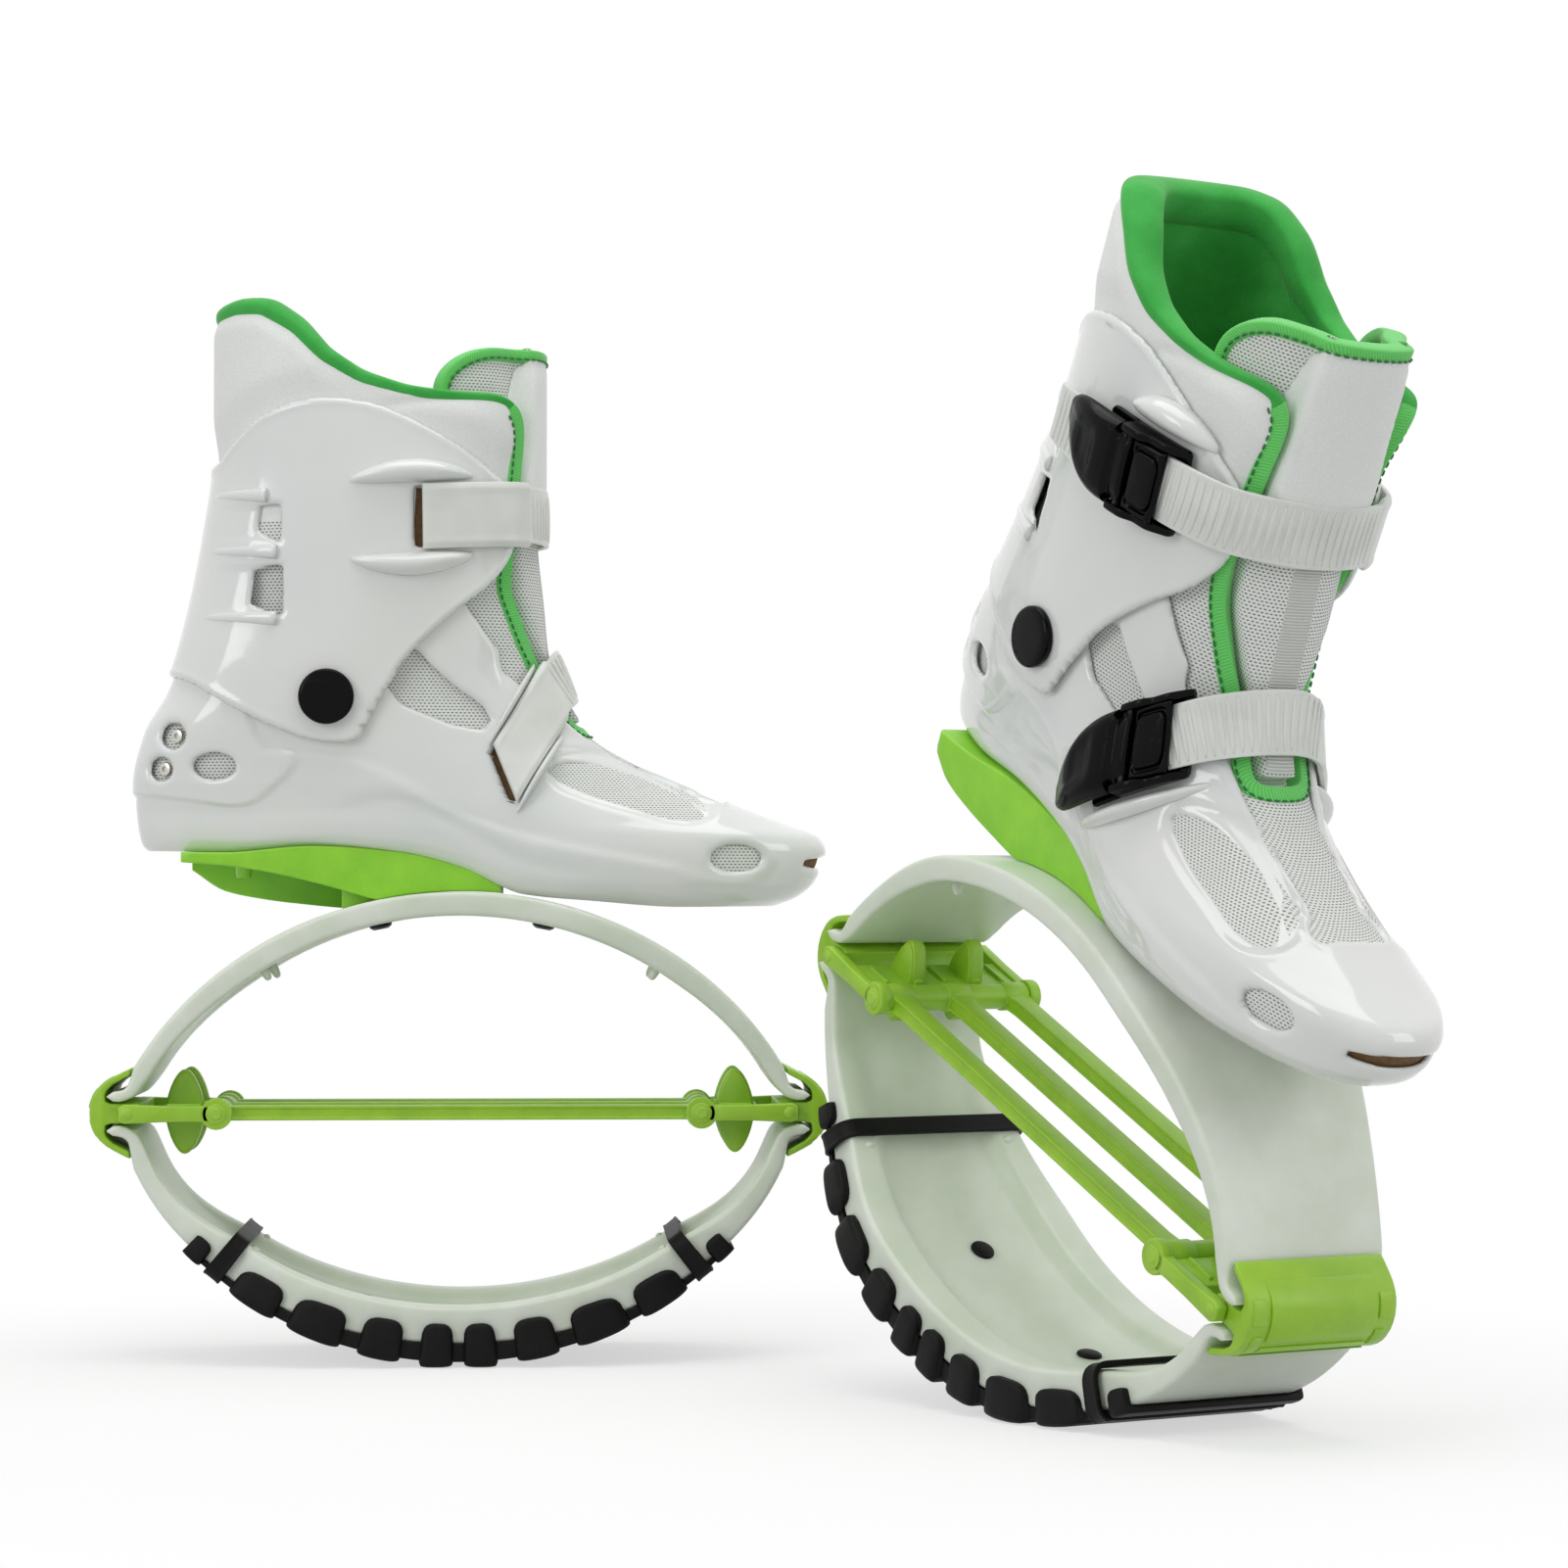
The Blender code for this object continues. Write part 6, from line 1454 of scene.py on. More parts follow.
ribs = [wedge_rib(a, b, length, side) for side in (-1, 1) for a, b, length in (
    (0.120, 0.684, 0.075), (0.115, 0.590, 0.095), (0.105, 0.480, 0.105))]
medial_high = -upper_strap.length(-1)
ribs += [guard(upper_strap, medial_high - 0.0330, medial_high + 0.0230, side * 0.0176, 0.0042, 0.0088, 0.0034, 0.0068)
         for side in (-1, 1)]
lateral_fin = upper_strap.buckle_front
ribs.append(guard(upper_strap, lateral_fin - 0.006, lateral_fin + 0.040, 0.0212, 0.0042, 0.0085, 0.0040, 0.0075))
add_pieces("cuff_moulding", "cuff", cuff_mesh(), [shell_gloss], ["cuff"])
add_pieces("cuff_ribs", "cuff", outward(mesh_of(*joined_parts(ribs))), [shell_gloss], ())


# Ankle rivets
# Black nylon caps pressed over the rivets on which the cuff turns.

def black_nylon():
    """Black nylon, injection moulded and polished: glossy, with light handling scratches that only
    show in reflections."""
    material, tree, shader = new_finish("black_polished_nylon")
    place = add(tree, "ShaderNodeTexCoord")
    scratch = add(tree, "ShaderNodeTexNoise", {"Vector": add(tree, "ShaderNodeMapping", {
        "Vector": place.outputs["Object"], "Rotation": (0.3, 0.5, 0.9), "Scale": (90.0, 1300.0, 700.0)}).outputs[0],
        "Scale": 1.0, "Detail": 4.0})
    tone = add(tree, "ShaderNodeValToRGB", {"Fac": scratch.outputs["Fac"]})
    tone.color_ramp.elements[0].position, tone.color_ramp.elements[1].position = 0.60, 0.80
    tone.color_ramp.elements[0].color = hex_colour("#050505")
    tone.color_ramp.elements[1].color = hex_colour("#161617")
    tree.links.new(tone.outputs["Color"], shader.inputs["Base Color"])
    gloss = add(tree, "ShaderNodeMapRange", {"Value": scratch.outputs["Fac"], "From Min": 0.5, "From Max": 0.75,
                                             "To Min": 0.12, "To Max": 0.30})
    tree.links.new(gloss.outputs["Result"], shader.inputs["Roughness"])
    peel = add(tree, "ShaderNodeTexNoise", {"Vector": place.outputs["Object"], "Scale": 600.0, "Detail": 1.0})
    bump = add(tree, "ShaderNodeBump", {"Height": peel.outputs["Fac"], "Strength": 0.05, "Distance": 0.0004})
    tree.links.new(bump.outputs["Normal"], shader.inputs["Normal"])
    shader.inputs["Specular IOR Level"].default_value = 0.10
    return material


black_gloss = black_nylon()
pivot_x, pivot_z = -0.0600, 0.3000
for name, side_sign in (("medial_pivot_rivet", -1), ("lateral_pivot_rivet", 1)):
    face = max(float(half_width(pivot_x + dx, pivot_z + dz, 0.0042)) for dx, dz in (
        (0, 0), (0.0125, 0), (-0.0125, 0), (0, 0.0125), (0, -0.0125)))
    cap = drum((pivot_x, side_sign * (face - 0.0040), pivot_z), (pivot_x, side_sign * (face + 0.0034), pivot_z), (
        (0.0, 0.0108), (0.50, 0.0118), (0.56, 0.0125), (0.80, 0.0125), (0.90, 0.0121), (0.96, 0.0112), (0.985, 0.0085),
        (1.0, 0.0045), (1.0, 0.0010)), 48)
    cap_mesh = outward(mesh_of(*cap))
    add_pieces(name + "_cap", "upper", cap_mesh, [black_gloss], [name])


# Inner boot
# The padded inner boot: spacer mesh below and in the windows, soft coated fabric above the cuff,
# green velour inside, and one green knit edge all round, rolled thick at the collar.

ankle_bend = ("upper", "cuff", (pivot_x, 0.0, pivot_z - 0.0150), (pivot_x, 0.0, pivot_z + 0.0550))
collar_edge = ((-0.10, 0.990), (0.118, 0.992), (0.150, 0.998), (0.187, 0.995), (0.234, 0.963), (0.275, 0.915),
               (0.330, 0.878), (0.393, 0.858), (0.460, 0.850), (0.560, 0.846), (0.72, 0.840))
collar_line = [(along_boot(a), up_boot(b)) for a, b in collar_edge]
throat_rows = ((0.2868, 0.0125), (0.3000, 0.0130), (0.3131, 0.0150), (0.3283, 0.0200), (0.3502, 0.0258), (0.3691, 0.0290),
               (0.3800, 0.0288), (0.3959, 0.0272), (0.4075, 0.0264), (0.4163, 0.0256), (0.4279, 0.0252), (0.5000, 0.0256))
throat_low = 0.2868
liner_wall = 0.0050
mesh_top = 0.3800


def liner_outset(z):
    """The inner boot's outer face against the form: inside the shell below, proud of it above."""
    share = np.clip((np.asarray(z) - up_boot(0.518)) / (boot_height * 0.082), 0, 1)
    return -0.0034 + 0.0042 * share * share * (3 - 2 * share)


def turn_at(x, z):
    """The turn round the form at which the inner boot's face passes x at height z."""
    rear, front = last_row(z)[:2]
    off = (x - (rear + front) / 2) / ((front - rear) / 2 + liner_outset(z))
    return np.arccos(np.clip(off, 0, 1) ** (roundness / 2))


def throat_turn(z):
    """The turn at which the throat's edge lies at height z."""
    turns = np.linspace(0, 1.3, 260)
    row = form_points(turns, np.full(260, z), np.full(260, liner_outset(z)))
    return float(np.interp(read_smooth(throat_rows, z)[0], row[:, 1], turns))


rim_heights = np.linspace(0.2700, 0.4700, 81)
rim_turns = np.array([throat_turn(z) for z in rim_heights])


def rounded_minimum(a, b, radius):
    """The smaller of two fields, with their corner rounded."""
    near = np.clip(radius - np.abs(a - b), 0, None) / radius
    return np.minimum(a, b) - near * near * radius / 4


def liner_fields(x, y, z):
    """How far a place lies inside the collar's edge and outside the throat."""
    top = np.interp(x, *zip(*collar_line))
    slope = np.interp(x, [p[0] for p in collar_line[1:]], np.diff([p[1] for p in collar_line])
                      / np.diff([p[0] for p in collar_line]))
    collar = (top - z) / np.sqrt(1 + slope ** 2)
    aside = (turn_at(x, z) - np.interp(z, rim_heights, rim_turns)) * 0.042
    return collar, -rounded_minimum(-aside, z - throat_low, 0.003)


def rim_line(points, faces, spacing, rounds):
    """The sheet's free edge as one even closed line of (place, normal, direction into the sheet)."""
    bm = bmesh.new()
    verts = [bm.verts.new(p) for p in points]
    for face in faces:
        bm.faces.new([verts[k] for k in face])
    bmesh.ops.remove_doubles(bm, verts=bm.verts, dist=0.00002)
    bm.normal_update()
    edges = {e for e in bm.edges if len(e.link_faces) == 1}
    loops = []
    while edges:
        edge = edges.pop()
        line = [edge.verts[0], edge.verts[1]]
        while True:
            ahead = [e for e in line[-1].link_edges if e in edges]
            if not ahead:
                break
            edges.discard(ahead[0])
            line.append(ahead[0].other_vert(line[-1]))
        loops.append(line)
    line = max(loops, key=len)[:-1]
    centre = np.mean([v.co for v in bm.verts], axis=0)
    rows = []
    for vert in line:
        normal = np.array(vert.normal)
        if normal[0] * (vert.co.x - centre[0]) + normal[1] * (vert.co.y - centre[1]) < 0:
            normal = -normal
        inward = np.mean([np.array(f.calc_center_median()) - np.array(vert.co) for f in vert.link_faces], axis=0)
        rows.append([*vert.co, *normal, *inward])
    bm.free()
    rows = np.array(rows)
    gone = np.concatenate([[0], np.cumsum(np.linalg.norm(np.diff(np.vstack([rows, rows[:1]])[:, :3], axis=0), axis=1))])
    at = np.linspace(0, gone[-1], max(12, int(gone[-1] / spacing)), endpoint=False)
    rows = np.column_stack([np.interp(at, gone, np.append(column, column[0])) for column in rows.T])
    for _ in range(rounds):
        rows = (np.roll(rows, 1, axis=0) + 2 * rows + np.roll(rows, -1, axis=0)) / 4
    places, normals, inwards = rows[:, :3], rows[:, 3:6], rows[:, 6:]
    ahead = np.roll(places, -1, axis=0) - np.roll(places, 1, axis=0)
    ahead /= np.linalg.norm(ahead, axis=1)[:, None]
    normals -= ahead * (normals * ahead).sum(axis=1)[:, None]
    normals /= np.linalg.norm(normals, axis=1)[:, None]
    across = np.cross(normals, ahead)
    across *= np.sign((across * inwards).sum(axis=1))[:, None]
    return places, normals, across


def swept(line, section_at, closed=True):
    """A solid along a line; section_at gives (out, in) places of its section at each row."""
    places, normals, across = line
    rings = []
    for k in range(len(places)):
        rings.append([places[k] + normals[k] * u + across[k] * v for u, v in section_at(k)])
    if closed:
        rings.append(rings[0])
        return loft(rings, True, False)
    return loft(rings)


def along_map(places, count, closed=True):
    """A map in millimetres along a swept line and round its section, from the section's inner side."""
    rows = np.vstack([places, places[:1]]) if closed else places
    gone = np.concatenate([[0], np.cumsum(np.linalg.norm(np.diff(rows, axis=0), axis=1))]) * 1000
    round_it = (np.arange(count) / count + 0.5) % 1.0 * 16.0
    return np.stack([np.repeat(gone, count), np.tile(round_it, len(rows))], axis=-1)


def spacer_mesh_fabric():
    """Polyester spacer mesh, knitted in rows of short openings, brick fashion, about 1.9 mm by
    1.4 mm: white yarn, painted shade in a darker grey inside the openings, and a fibrous sheen."""
    material, tree, shader = new_finish("polyester_spacer_mesh")
    flat = add(tree, "ShaderNodeUVMap", uv_map="surface_mm")
    parts = add(tree, "ShaderNodeSeparateXYZ", {"Vector": flat.outputs["UV"]})
    row = add(tree, "ShaderNodeMath", {0: parts.outputs["Y"], 1: 1.4}, operation="DIVIDE")
    floor = add(tree, "ShaderNodeMath", {0: row.outputs[0]}, operation="FLOOR")
    odd = add(tree, "ShaderNodeMath", {0: floor.outputs[0], 1: 2.0}, operation="FLOORED_MODULO")
    along = add(tree, "ShaderNodeMath", {0: parts.outputs["X"], 1: 1.9}, operation="DIVIDE")
    shifted = add(tree, "ShaderNodeMath", {0: odd.outputs[0], 1: 0.5, 2: along.outputs[0]}, operation="MULTIPLY_ADD")
    u = add(tree, "ShaderNodeMath", {0: shifted.outputs[0]}, operation="FRACT")
    v = add(tree, "ShaderNodeMath", {0: row.outputs[0]}, operation="FRACT")
    u = add(tree, "ShaderNodeMath", {0: u.outputs[0], 1: 0.5}, operation="SUBTRACT")
    v = add(tree, "ShaderNodeMath", {0: v.outputs[0], 1: 0.5}, operation="SUBTRACT")
    spot = add(tree, "ShaderNodeCombineXYZ", {
        "X": add(tree, "ShaderNodeMath", {0: u.outputs[0], 1: 2.9}, operation="MULTIPLY").outputs[0],
        "Y": add(tree, "ShaderNodeMath", {0: v.outputs[0], 1: 4.4}, operation="MULTIPLY").outputs[0]})
    reach = add(tree, "ShaderNodeVectorMath", {0: spot.outputs[0]}, operation="LENGTH")
    yarn = add(tree, "ShaderNodeTexNoise", {"Vector": flat.outputs["UV"], "Scale": 1.1, "Detail": 3.0})
    wobbly = add(tree, "ShaderNodeMath", {0: yarn.outputs["Fac"], 1: 0.7, 2: reach.outputs["Value"]},
                 operation="MULTIPLY_ADD")
    solid = add(tree, "ShaderNodeMapRange", {"Value": wobbly.outputs[0], "From Min": 1.05, "From Max": 1.40})
    # the openings take the darker grey as painted shade inside the mesh; the yarn stays white
    tone = add(tree, "ShaderNodeValToRGB", {"Fac": solid.outputs["Result"]})
    tone.color_ramp.elements[0].color = hex_colour("#777C74")
    tone.color_ramp.elements[1].color = hex_colour("#ECEEEA")
    tree.links.new(tone.outputs["Color"], shader.inputs["Base Color"])
    rough = add(tree, "ShaderNodeMapRange", {"Value": yarn.outputs["Fac"], "To Min": 0.72, "To Max": 0.90})
    tree.links.new(rough.outputs["Result"], shader.inputs["Roughness"])
    bump = add(tree, "ShaderNodeBump", {"Height": solid.outputs["Result"], "Strength": 0.6, "Distance": 0.0005})
    tree.links.new(bump.outputs["Normal"], shader.inputs["Normal"])
    shader.inputs["Sheen Weight"].default_value = 0.25
    shader.inputs["Specular IOR Level"].default_value = 0.3
    return material


def coated_fabric():
    """White coated fabric with a fine leather grain about 1 mm across: a soft low sheen, a slightly
    darker white in the grain's valleys, and long shallow wrinkles from wear."""
    material, tree, shader = new_finish("white_coated_fabric")
    place = add(tree, "ShaderNodeTexCoord")
    grain = add(tree, "ShaderNodeTexVoronoi", {"Vector": place.outputs["Object"], "Scale": 950.0}, feature="F1")
    wrinkle = add(tree, "ShaderNodeTexNoise", {"Vector": add(tree, "ShaderNodeMapping", {
        "Vector": place.outputs["Object"], "Scale": (60.0, 60.0, 22.0)}).outputs[0], "Scale": 1.0, "Detail": 3.0})
    # a slightly darker white towards the grain's valleys
    tone = add(tree, "ShaderNodeValToRGB", {"Fac": grain.outputs["Distance"]})
    tone.color_ramp.elements[0].position, tone.color_ramp.elements[1].position = 0.0, 0.55
    tone.color_ramp.elements[0].color = hex_colour("#F3F4F2")
    tone.color_ramp.elements[1].color = hex_colour("#E9EBE8")
    tree.links.new(tone.outputs["Color"], shader.inputs["Base Color"])
    rough = add(tree, "ShaderNodeMapRange", {"Value": wrinkle.outputs["Fac"], "To Min": 0.40, "To Max": 0.58})
    tree.links.new(rough.outputs["Result"], shader.inputs["Roughness"])
    low = add(tree, "ShaderNodeBump", {"Height": wrinkle.outputs["Fac"], "Strength": 0.35, "Distance": 0.0012})
    fine = add(tree, "ShaderNodeBump", {"Height": grain.outputs["Distance"], "Strength": 0.22, "Distance": 0.0003,
                                        "Normal": low.outputs["Normal"]})
    fine.invert = True
    tree.links.new(fine.outputs["Normal"], shader.inputs["Normal"])
    shader.inputs["Coat Weight"].default_value = 0.08
    shader.inputs["Coat Roughness"].default_value = 0.35
    return material


def green_velour():
    """Green velour: a short dense pile with a strong sheen at grazing angles, brushed patches a few
    centimetres wide, and fibre grain."""
    material, tree, shader = new_finish("green_velour")
    place = add(tree, "ShaderNodeTexCoord")
    nap = add(tree, "ShaderNodeTexNoise", {"Vector": place.outputs["Object"], "Scale": 45.0, "Detail": 4.0})
    fibre = add(tree, "ShaderNodeTexNoise", {"Vector": place.outputs["Object"], "Scale": 1500.0, "Detail": 2.0})
    tone = add(tree, "ShaderNodeValToRGB", {"Fac": nap.outputs["Fac"]})
    tone.color_ramp.elements[0].position, tone.color_ramp.elements[1].position = 0.35, 0.65
    tone.color_ramp.elements[0].color = hex_colour("#3DA847")
    tone.color_ramp.elements[1].color = hex_colour("#4EBB57")
    shade = add(tree, "ShaderNodeMapRange", {"Value": fibre.outputs["Fac"], "To Min": 0.86, "To Max": 1.08})
    mixed = add(tree, "ShaderNodeVectorMath", {0: tone.outputs["Color"], "Scale": shade.outputs["Result"]},
                operation="SCALE")
    tree.links.new(mixed.outputs["Vector"], shader.inputs["Base Color"])
    rough = add(tree, "ShaderNodeMapRange", {"Value": nap.outputs["Fac"], "To Min": 0.80, "To Max": 0.95})
    tree.links.new(rough.outputs["Result"], shader.inputs["Roughness"])
    bump = add(tree, "ShaderNodeBump", {"Height": fibre.outputs["Fac"], "Strength": 0.35, "Distance": 0.0004})
    tree.links.new(bump.outputs["Normal"], shader.inputs["Normal"])
    shader.inputs["Sheen Weight"].default_value = 0.6
    shader.inputs["Sheen Roughness"].default_value = 0.4
    shader.inputs["Sheen Tint"].default_value = hex_colour("#BFF0B8")
    shader.inputs["Specular IOR Level"].default_value = 0.15
    return material


def green_knit():
    """Green knitted binding tape: diagonal ribs about 0.9 mm apart, matt yarn with a soft sheen."""
    material, tree, shader = new_finish("green_knit_tape")
    flat = add(tree, "ShaderNodeUVMap", uv_map="surface_mm")
    rib = add(tree, "ShaderNodeTexWave", {"Vector": flat.outputs["UV"], "Scale": 0.5, "Distortion": 0.6,
                                          "Detail": 2.0, "Detail Scale": 3.0}, wave_type="BANDS",
              bands_direction="DIAGONAL")
    yarn = add(tree, "ShaderNodeTexNoise", {"Vector": flat.outputs["UV"], "Scale": 0.9, "Detail": 2.0})
    tone = add(tree, "ShaderNodeValToRGB", {"Fac": rib.outputs["Fac"]})
    tone.color_ramp.elements[0].color = hex_colour("#55C453")
    tone.color_ramp.elements[1].color = hex_colour("#74DC72")
    tree.links.new(tone.outputs["Color"], shader.inputs["Base Color"])
    rough = add(tree, "ShaderNodeMapRange", {"Value": yarn.outputs["Fac"], "To Min": 0.68, "To Max": 0.88})
    tree.links.new(rough.outputs["Result"], shader.inputs["Roughness"])
    bump = add(tree, "ShaderNodeBump", {"Height": rib.outputs["Fac"], "Strength": 0.25, "Distance": 0.0003})
    tree.links.new(bump.outputs["Normal"], shader.inputs["Normal"])
    shader.inputs["Sheen Weight"].default_value = 0.3
    return material


def sewing_thread():
    """Dark green polyester thread: twisted, slightly shiny."""
    material, tree, shader = new_finish("dark_green_thread")
    place = add(tree, "ShaderNodeTexCoord")
    twist = add(tree, "ShaderNodeTexWave", {"Vector": place.outputs["Object"], "Scale": 900.0}, wave_type="BANDS",
                bands_direction="DIAGONAL")
    tone = add(tree, "ShaderNodeValToRGB", {"Fac": twist.outputs["Fac"]})
    tone.color_ramp.elements[0].color = hex_colour("#14532A")
    tone.color_ramp.elements[1].color = hex_colour("#237A3C")
    tree.links.new(tone.outputs["Color"], shader.inputs["Base Color"])
    shader.inputs["Roughness"].default_value = 0.55
    return material


spacer_mesh, white_fabric, velour, knit = spacer_mesh_fabric(), coated_fabric(), green_velour(), green_knit()
thread = sewing_thread()


def stitches(line, spacing, length, thick, finish):
    """A row of stitches along an open or closed line of places, laid by a node group."""
    group = bpy.data.node_groups.new("stitch_row", "GeometryNodeTree")
    group.interface.new_socket("Geometry", in_out="INPUT", socket_type="NodeSocketGeometry")
    group.interface.new_socket("Spacing", in_out="INPUT", socket_type="NodeSocketFloat")
    group.interface.new_socket("Length", in_out="INPUT", socket_type="NodeSocketFloat")
    group.interface.new_socket("Thickness", in_out="INPUT", socket_type="NodeSocketFloat")
    group.interface.new_socket("Geometry", in_out="OUTPUT", socket_type="NodeSocketGeometry")
    given = add(group, "NodeGroupInput")
    curve = add(group, "GeometryNodeMeshToCurve", {"Mesh": given.outputs["Geometry"]})
    even = add(group, "GeometryNodeResampleCurve", {"Curve": curve.outputs["Curve"], "Length": given.outputs["Spacing"]},
               mode="LENGTH")
    tangent = add(group, "GeometryNodeInputTangent")
    facing = add(group, "FunctionNodeAlignRotationToVector", {"Vector": tangent.outputs["Tangent"]}, axis="Z")
    ball = add(group, "GeometryNodeMeshUVSphere", {"Segments": 8, "Rings": 6, "Radius": 1.0})
    size = add(group, "ShaderNodeCombineXYZ", {
        "X": given.outputs["Thickness"], "Y": given.outputs["Thickness"], "Z": given.outputs["Length"]})
    shaped = add(group, "GeometryNodeTransform", {"Geometry": ball.outputs["Mesh"], "Scale": size.outputs["Vector"]})
    placed = add(group, "GeometryNodeInstanceOnPoints", {
        "Points": even.outputs["Curve"], "Instance": shaped.outputs["Geometry"], "Rotation": facing.outputs["Rotation"]})
    real = add(group, "GeometryNodeRealizeInstances", {"Geometry": placed.outputs["Instances"]})
    given_finish = add(group, "GeometryNodeSetMaterial", {"Geometry": real.outputs["Geometry"]})
    given_finish.inputs["Material"].default_value = finish
    add(group, "NodeGroupOutput", {"Geometry": given_finish.outputs["Geometry"]})
    edges = [(k, k + 1) for k in range(len(line) - 1)]
    guide = bpy.data.meshes.new("guide")
    guide.from_pydata([tuple(map(float, p)) for p in line], edges, [])
    return evaluated(guide, group, {"Spacing": spacing, "Length": length / 2, "Thickness": thick / 2})


def evaluated(mesh, group, values):
    """The plain mesh that a node group makes of a mesh."""
    holder = bpy.data.objects.new("holder", mesh)
    bpy.context.scene.collection.objects.link(holder)
    modifier = holder.modifiers.new("nodes", "NODES")
    modifier.node_group = group
    for item in group.interface.items_tree:
        if item.in_out == "INPUT" and item.name in values:
            modifier[item.identifier] = values[item.name]
    depsgraph = bpy.context.evaluated_depsgraph_get()
    made = bpy.data.meshes.new_from_object(holder.evaluated_get(depsgraph))
    made.materials.clear()
    bpy.data.objects.remove(holder)
    made.shade_smooth()
    return made


def box_mapped(mesh):
    """Map each face in millimetres from the side it faces most: across the boot, or along its flank."""
    heights = np.linspace(sole_height - 0.01, up_boot(1.1), 300)
    front = last_row(heights)[1]
    climbed = np.concatenate([[0], np.cumsum(np.hypot(np.diff(heights), np.diff(front)))])
    layer = mesh.uv_layers["surface_mm"].data
    for face in mesh.polygons:
        flank = abs(face.normal.y) > 0.34
        foot = face.center.x > along_boot(0.57) and up_boot(0.12) < face.center.z < up_boot(0.30)
        for k in face.loop_indices:
            x, y, z = mesh.vertices[mesh.loops[k].vertex_index].co
            if foot and abs(face.center.y) > 0.0186:
                layer[k].uv = (x * 1050, z * 1400)
                continue
            if foot:
                layer[k].uv = (y * 1000, float(np.interp(z, heights, climbed)) * 1000)
                continue
            layer[k].uv = (x * 1000, z * 1000) if flank else (y * 1000, float(np.interp(z, heights, climbed)) * 1000)


# Side-view boxes of the strap slots: the inner boot's face behind them takes the dark brown finish as painted shade.
painted_shade_slot_floors = [(min(p[0] for p in slot), max(p[0] for p in slot), min(p[1] for p in slot), max(p[1] for p in slot))
               for slot in (shell_slot, cuff_slot)]
flap_fold = [(-0.0400, 0.4300), (-0.0304, 0.4320), (-0.0103, 0.4355), (0.0229, 0.4396), (0.0300, 0.4400)]


def board_and_painted_slot_shade():
    """The brown fibre board of the inner boot's sole, seen in the toe slot: coarse, matt, mottled; the same brown laid
    behind the strap slots is painted shade.
    """
    material, tree, shader = new_finish("brown_fibre_board_and_painted_slot_shade")
    place = add(tree, "ShaderNodeTexCoord")
    fibre = add(tree, "ShaderNodeTexNoise", {"Vector": place.outputs["Object"], "Scale": 420.0, "Detail": 5.0})
    tone = add(tree, "ShaderNodeValToRGB", {"Fac": fibre.outputs["Fac"]})
    tone.color_ramp.elements[0].color = hex_colour("#4A3520")
    tone.color_ramp.elements[1].color = hex_colour("#8C6A45")
    tree.links.new(tone.outputs["Color"], shader.inputs["Base Color"])
    bump = add(tree, "ShaderNodeBump", {"Height": fibre.outputs["Fac"], "Strength": 0.4, "Distance": 0.0004})
    tree.links.new(bump.outputs["Normal"], shader.inputs["Normal"])
    shader.inputs["Roughness"].default_value = 0.85
    return material


def liner_parts():
    """The padded wall, and its rim line for the knit edge."""
    grid = form_grid(sole_height + 0.0064, up_boot(1.03), 0.00190, 300, liner_outset, 9)
    x, y, z = grid[..., 0], grid[..., 1], grid[..., 2]
    collar, throat = liner_fields(x, y, z)
    field = rounded_minimum(collar, throat, 0.016)
    flare = np.clip((z - 0.4020) / 0.0360, 0, 1) * np.clip(1 - np.clip(throat, 0, None) / 0.038, 0, 1)
    grid[..., 1] -= np.where(y < 0, 0.0095 * flare * flare * (3 - 2 * flare), 0.0)
    above = np.where(z > up_boot(0.60), -inside_by(cuff_outline, x, z), 0.0)
    swell = np.clip(above / 0.016, 0, 1) * np.clip(field / 0.010, 0, 1)
    relief = 0.0026 * swell * swell * (3 - 2 * swell)
    fold, share = beside_line(flap_fold, x, z)
    relief -= 0.0014 * np.exp(-(fold / 0.0020) ** 2) * np.clip(np.minimum(share, 1 - share) * 6, 0, 1)
    flat = surface_map(grid)
    rear = np.clip((along_boot(0.50) - x) / 0.11, 0, 1)
    padding = 0.0098 * rear * rear * (3 - 2 * rear) * np.exp(-(np.clip(collar, 0, None) / 0.045) ** 2)
    points, faces, level, spots = trimmed(grid, field, np.concatenate([flat, np.stack([relief, padding], -1)], axis=-1))

    def finish_at(centre, inner):
        if inner:
            return 2
        if centre.x > along_boot(0.930) and centre.z < up_boot(0.105):
            return 3
        # behind the strap slots the dark brown finish is painted shade
        if centre.y < 0 and any(low_x < centre.x < high_x and low_z < centre.z < high_z
                                for low_x, high_x, low_z, high_z in painted_shade_slot_floors):
            return 3
        return 0 if centre.z < mesh_top else 1

    mesh = walled(points, faces, level, spots[:, :2], liner_wall, finish_at, spots[:, 2], spots[:, 3])
    box_mapped(mesh)
    return mesh, rim_line(points, faces, 0.0020, 4)


liner_mesh, liner_rim = liner_parts()
for side, item in add_pieces("inner_boot", ankle_bend, liner_mesh, [spacer_mesh, white_fabric, velour, board_and_painted_slot_shade()], ["liner"]):
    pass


def edge_section(k):
    """The knit edge's section: a thick roll at the collar that thins to a flat tape in the throat."""
    x, y, z = liner_rim[0][k]
    collar, throat = liner_fields(np.array(x), np.array(y), np.array(z))
    flat = eased(0.5 + (float(collar) - float(throat)) / 0.010)
    rear = eased((along_boot(0.50) - x) / 0.11) * (1 - flat)
    wide = 0.0068 + 0.0110 * rear
    outside = 0.0036 + 0.0032 * rear + 0.0030 * flat
    inside = 0.0036 + 0.0100 * rear + 0.0030 * flat
    top, bulge = 0.0011 + 0.0036 * rear, 0.0008 + 0.0010 * rear
    power = 2 / (2.2 + 2.4 * flat)
    section = []
    for turn in np.linspace(0, math.tau, 28, endpoint=False):
        c, s = math.cos(turn), math.sin(turn)
        u = bulge - wide / 2 + wide / 2 * math.copysign(abs(c) ** power, c)
        low = outside if c > 0 else inside
        v = -top * abs(s) ** power if s > 0 else low * abs(s) ** power
        section.append((u, v))
    return section


